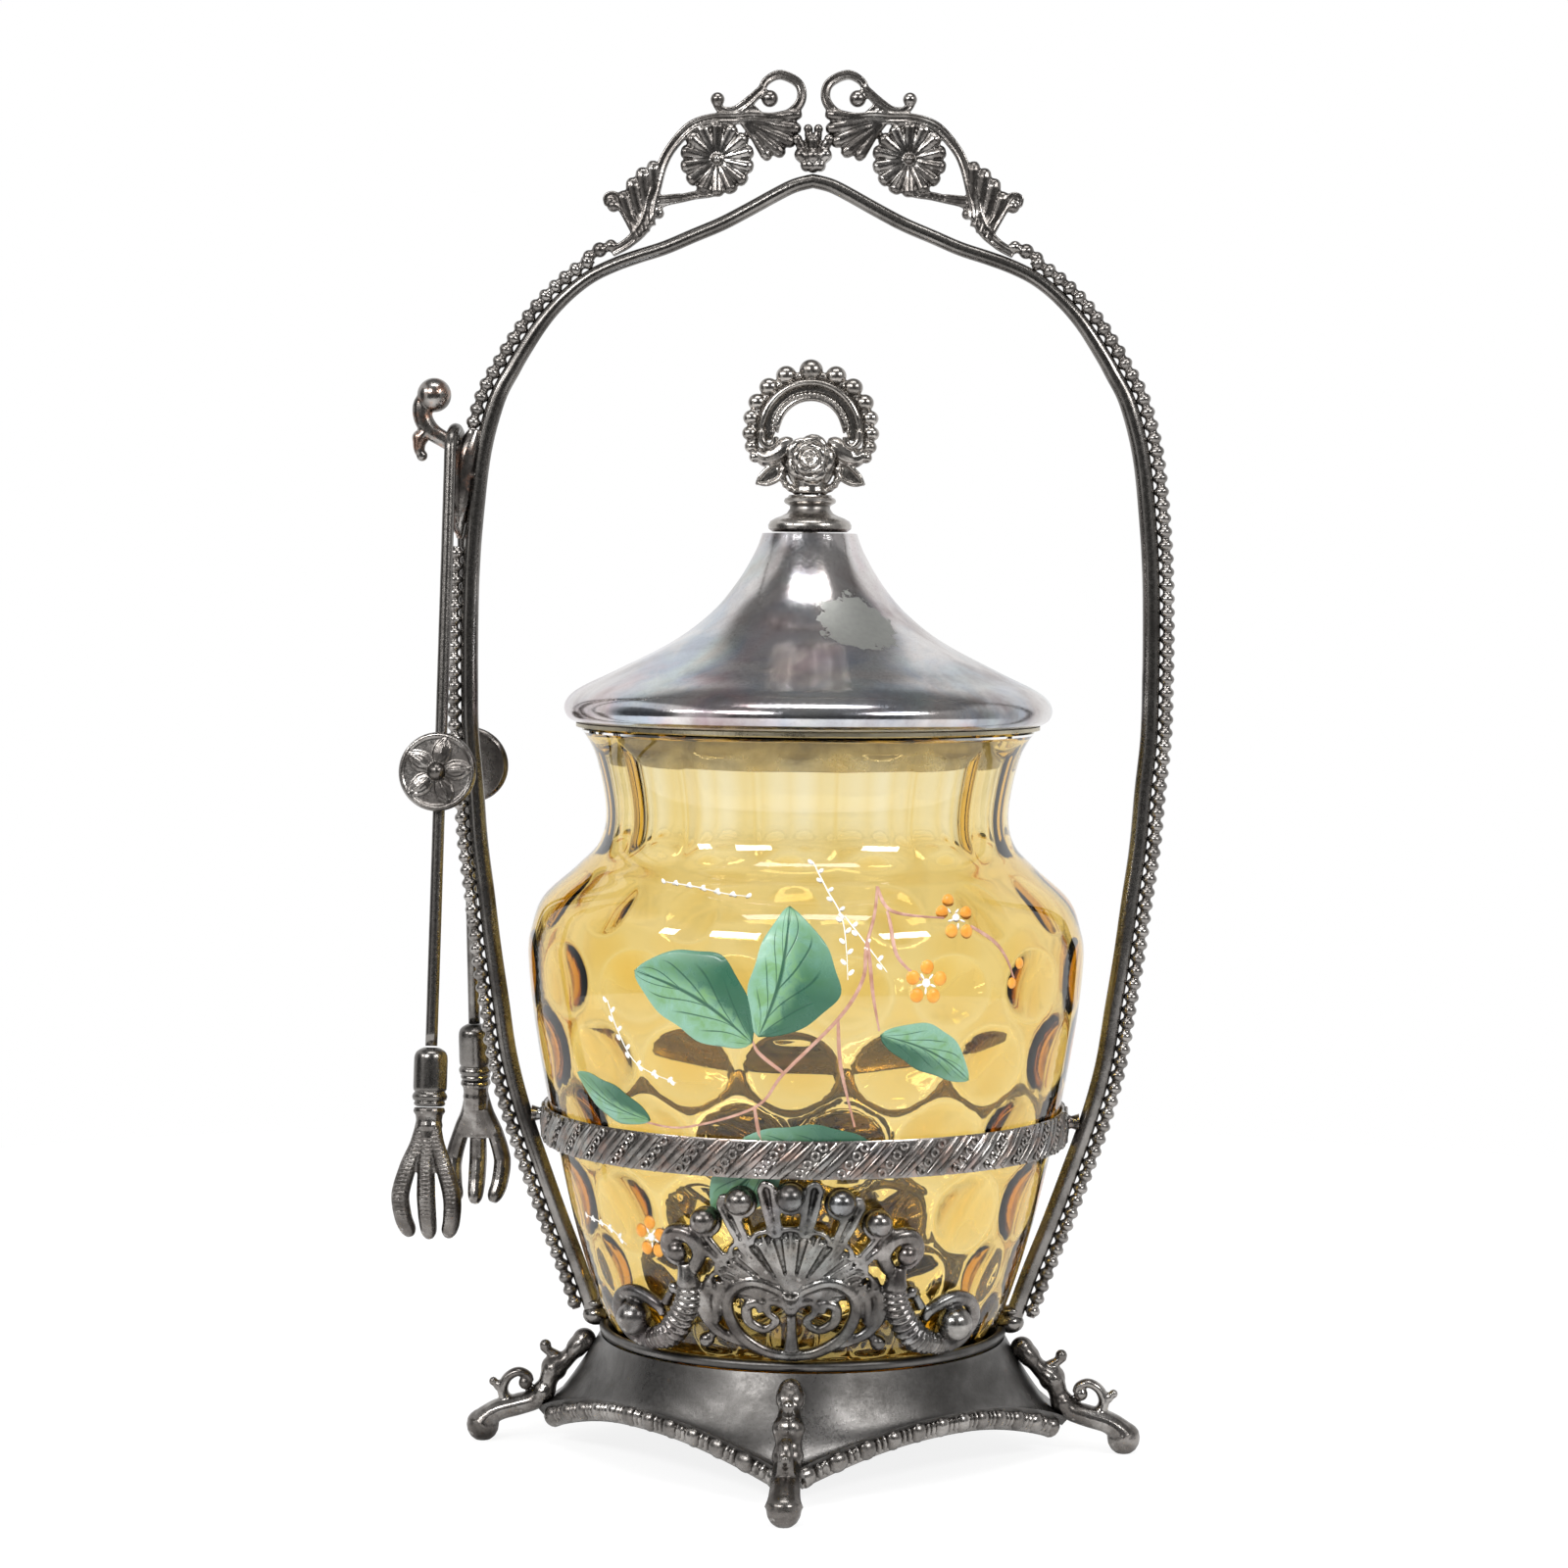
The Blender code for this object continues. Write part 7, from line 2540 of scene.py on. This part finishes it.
    def make(self) -> None:
        """Makes the studio."""
        scene = bpy.context.scene
        scene.view_settings.view_transform = "Standard"
        scene.cycles.max_bounces = self.bounces
        scene.cycles.transmission_bounces = self.bounces
        self.make_world()
        self.make_floor()
        for lamp in self.lamps:
            self.make_lamp(*lamp)
        self.make_camera()


def finishes() -> dict[str, Material]:
    """Makes every finish of the castor once.

    Returns:
        The materials by the name that the pieces ask for.
    """
    return {
        "casting": SilverPlate("casting_plate").material(),
        "collar": SilverPlate(
            "collar_plate", dark=(0.045, 0.038, 0.033), middle=(0.105, 0.092, 0.082), copper=0.22, rainbow=0.6
        ).material(),
        "medallion": SilverPlate("medallion_plate", rainbow=0.5).material(),
        "rod": SilverPlate(
            "rod_plate", dark=(0.065, 0.06, 0.056), middle=(0.17, 0.16, 0.15), light=(0.28, 0.265, 0.25),
            clouds=90.0, smooth=0.18, rough=0.3, wear_and_highlight=0.0, shade_and_tarnish=0.0
        ).material(),
        "base": SilverPlate(
            "base_plate_finish", dark=(0.05, 0.047, 0.044), middle=(0.095, 0.091, 0.087),
            light=(0.185, 0.178, 0.172), clouds=60.0, smooth=0.26, rough=0.42, wear_and_highlight=0.3
        ).material(),
        "hook": SilverPlate("hook_plate", copper=0.45).material(),
        "finial": SilverPlate(
            "finial_plate", dark=(0.17, 0.155, 0.14), middle=(0.36, 0.335, 0.31), light=(0.62, 0.59, 0.56),
            smooth=0.14, rough=0.28, wear_and_highlight=0.35
        ).material(),
        "lid": SpunPlate(
            "lid_plate", dark=(0.3, 0.24, 0.23), middle=(0.62, 0.585, 0.575), light=(0.8, 0.79, 0.78),
            wear_and_highlight=0.1, shade_and_tarnish=0.0, clouds=48.0, smooth=0.08, rough=0.2, rainbow=0.9, relief=0.03
        ).material(),
        "brass": SilverPlate(
            "flange_plate", dark=(0.26, 0.23, 0.16), middle=(0.44, 0.39, 0.28), light=(0.58, 0.52, 0.38),
            smooth=0.22, rough=0.36, relief=0.08
        ).material(),
        "glass": AmberGlass().material(),
        "leaf": LeafEnamel("enamel_leaf").material(),
        "orange": Enamel("enamel_orange", (0.7, 0.26, 0.02), (0.8, 0.38, 0.06)).material(),
        "white": Enamel("enamel_white", (0.8, 0.79, 0.76), (0.88, 0.87, 0.84)).material(),
        "stem": Enamel("enamel_stem", (0.38, 0.19, 0.13), (0.56, 0.34, 0.27)).material()
    }


def main() -> None:
    """Builds the castor's pieces over the frame, then the studio."""
    logging.basicConfig(level=logging.INFO, format="%(name)s %(message)s")
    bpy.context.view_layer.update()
    low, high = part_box("jar")
    axis = Vector(((low[0] + high[0]) / 2.0, (low[1] + high[1]) / 2.0, 0.0))
    bench = Bench(axis)
    coats = finishes()
    view = Viewpoint()
    handle = ArchHandle(bench)
    handle.make(coats["rod"], coats["casting"])
    Crest(bench).make(handle.foot + handle.rise + handle.rod_top, coats["casting"])
    FootedBase(bench).make(coats["base"], coats["casting"])
    jar = GlassJar(bench)
    jar.make(coats["glass"])
    EnamelSpray(bench, jar, view).make(coats["leaf"], coats["orange"], coats["white"], coats["stem"])
    Medallion(bench, jar).make(coats["medallion"])
    Collar(bench).make(coats["collar"])
    Lid(bench).make(coats["lid"], coats["finial"], coats["brass"])
    Finial(bench).make(coats["finial"])
    TongHook(bench).make(coats["hook"])
    Tongs(bench).make(coats["rod"], coats["casting"])
    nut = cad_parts["finial_nut"]
    nut.data.materials.clear()
    nut.data.materials.append(coats["brass"])
    Studio(axis, view).make()


if __name__ == "__main__":
    main()
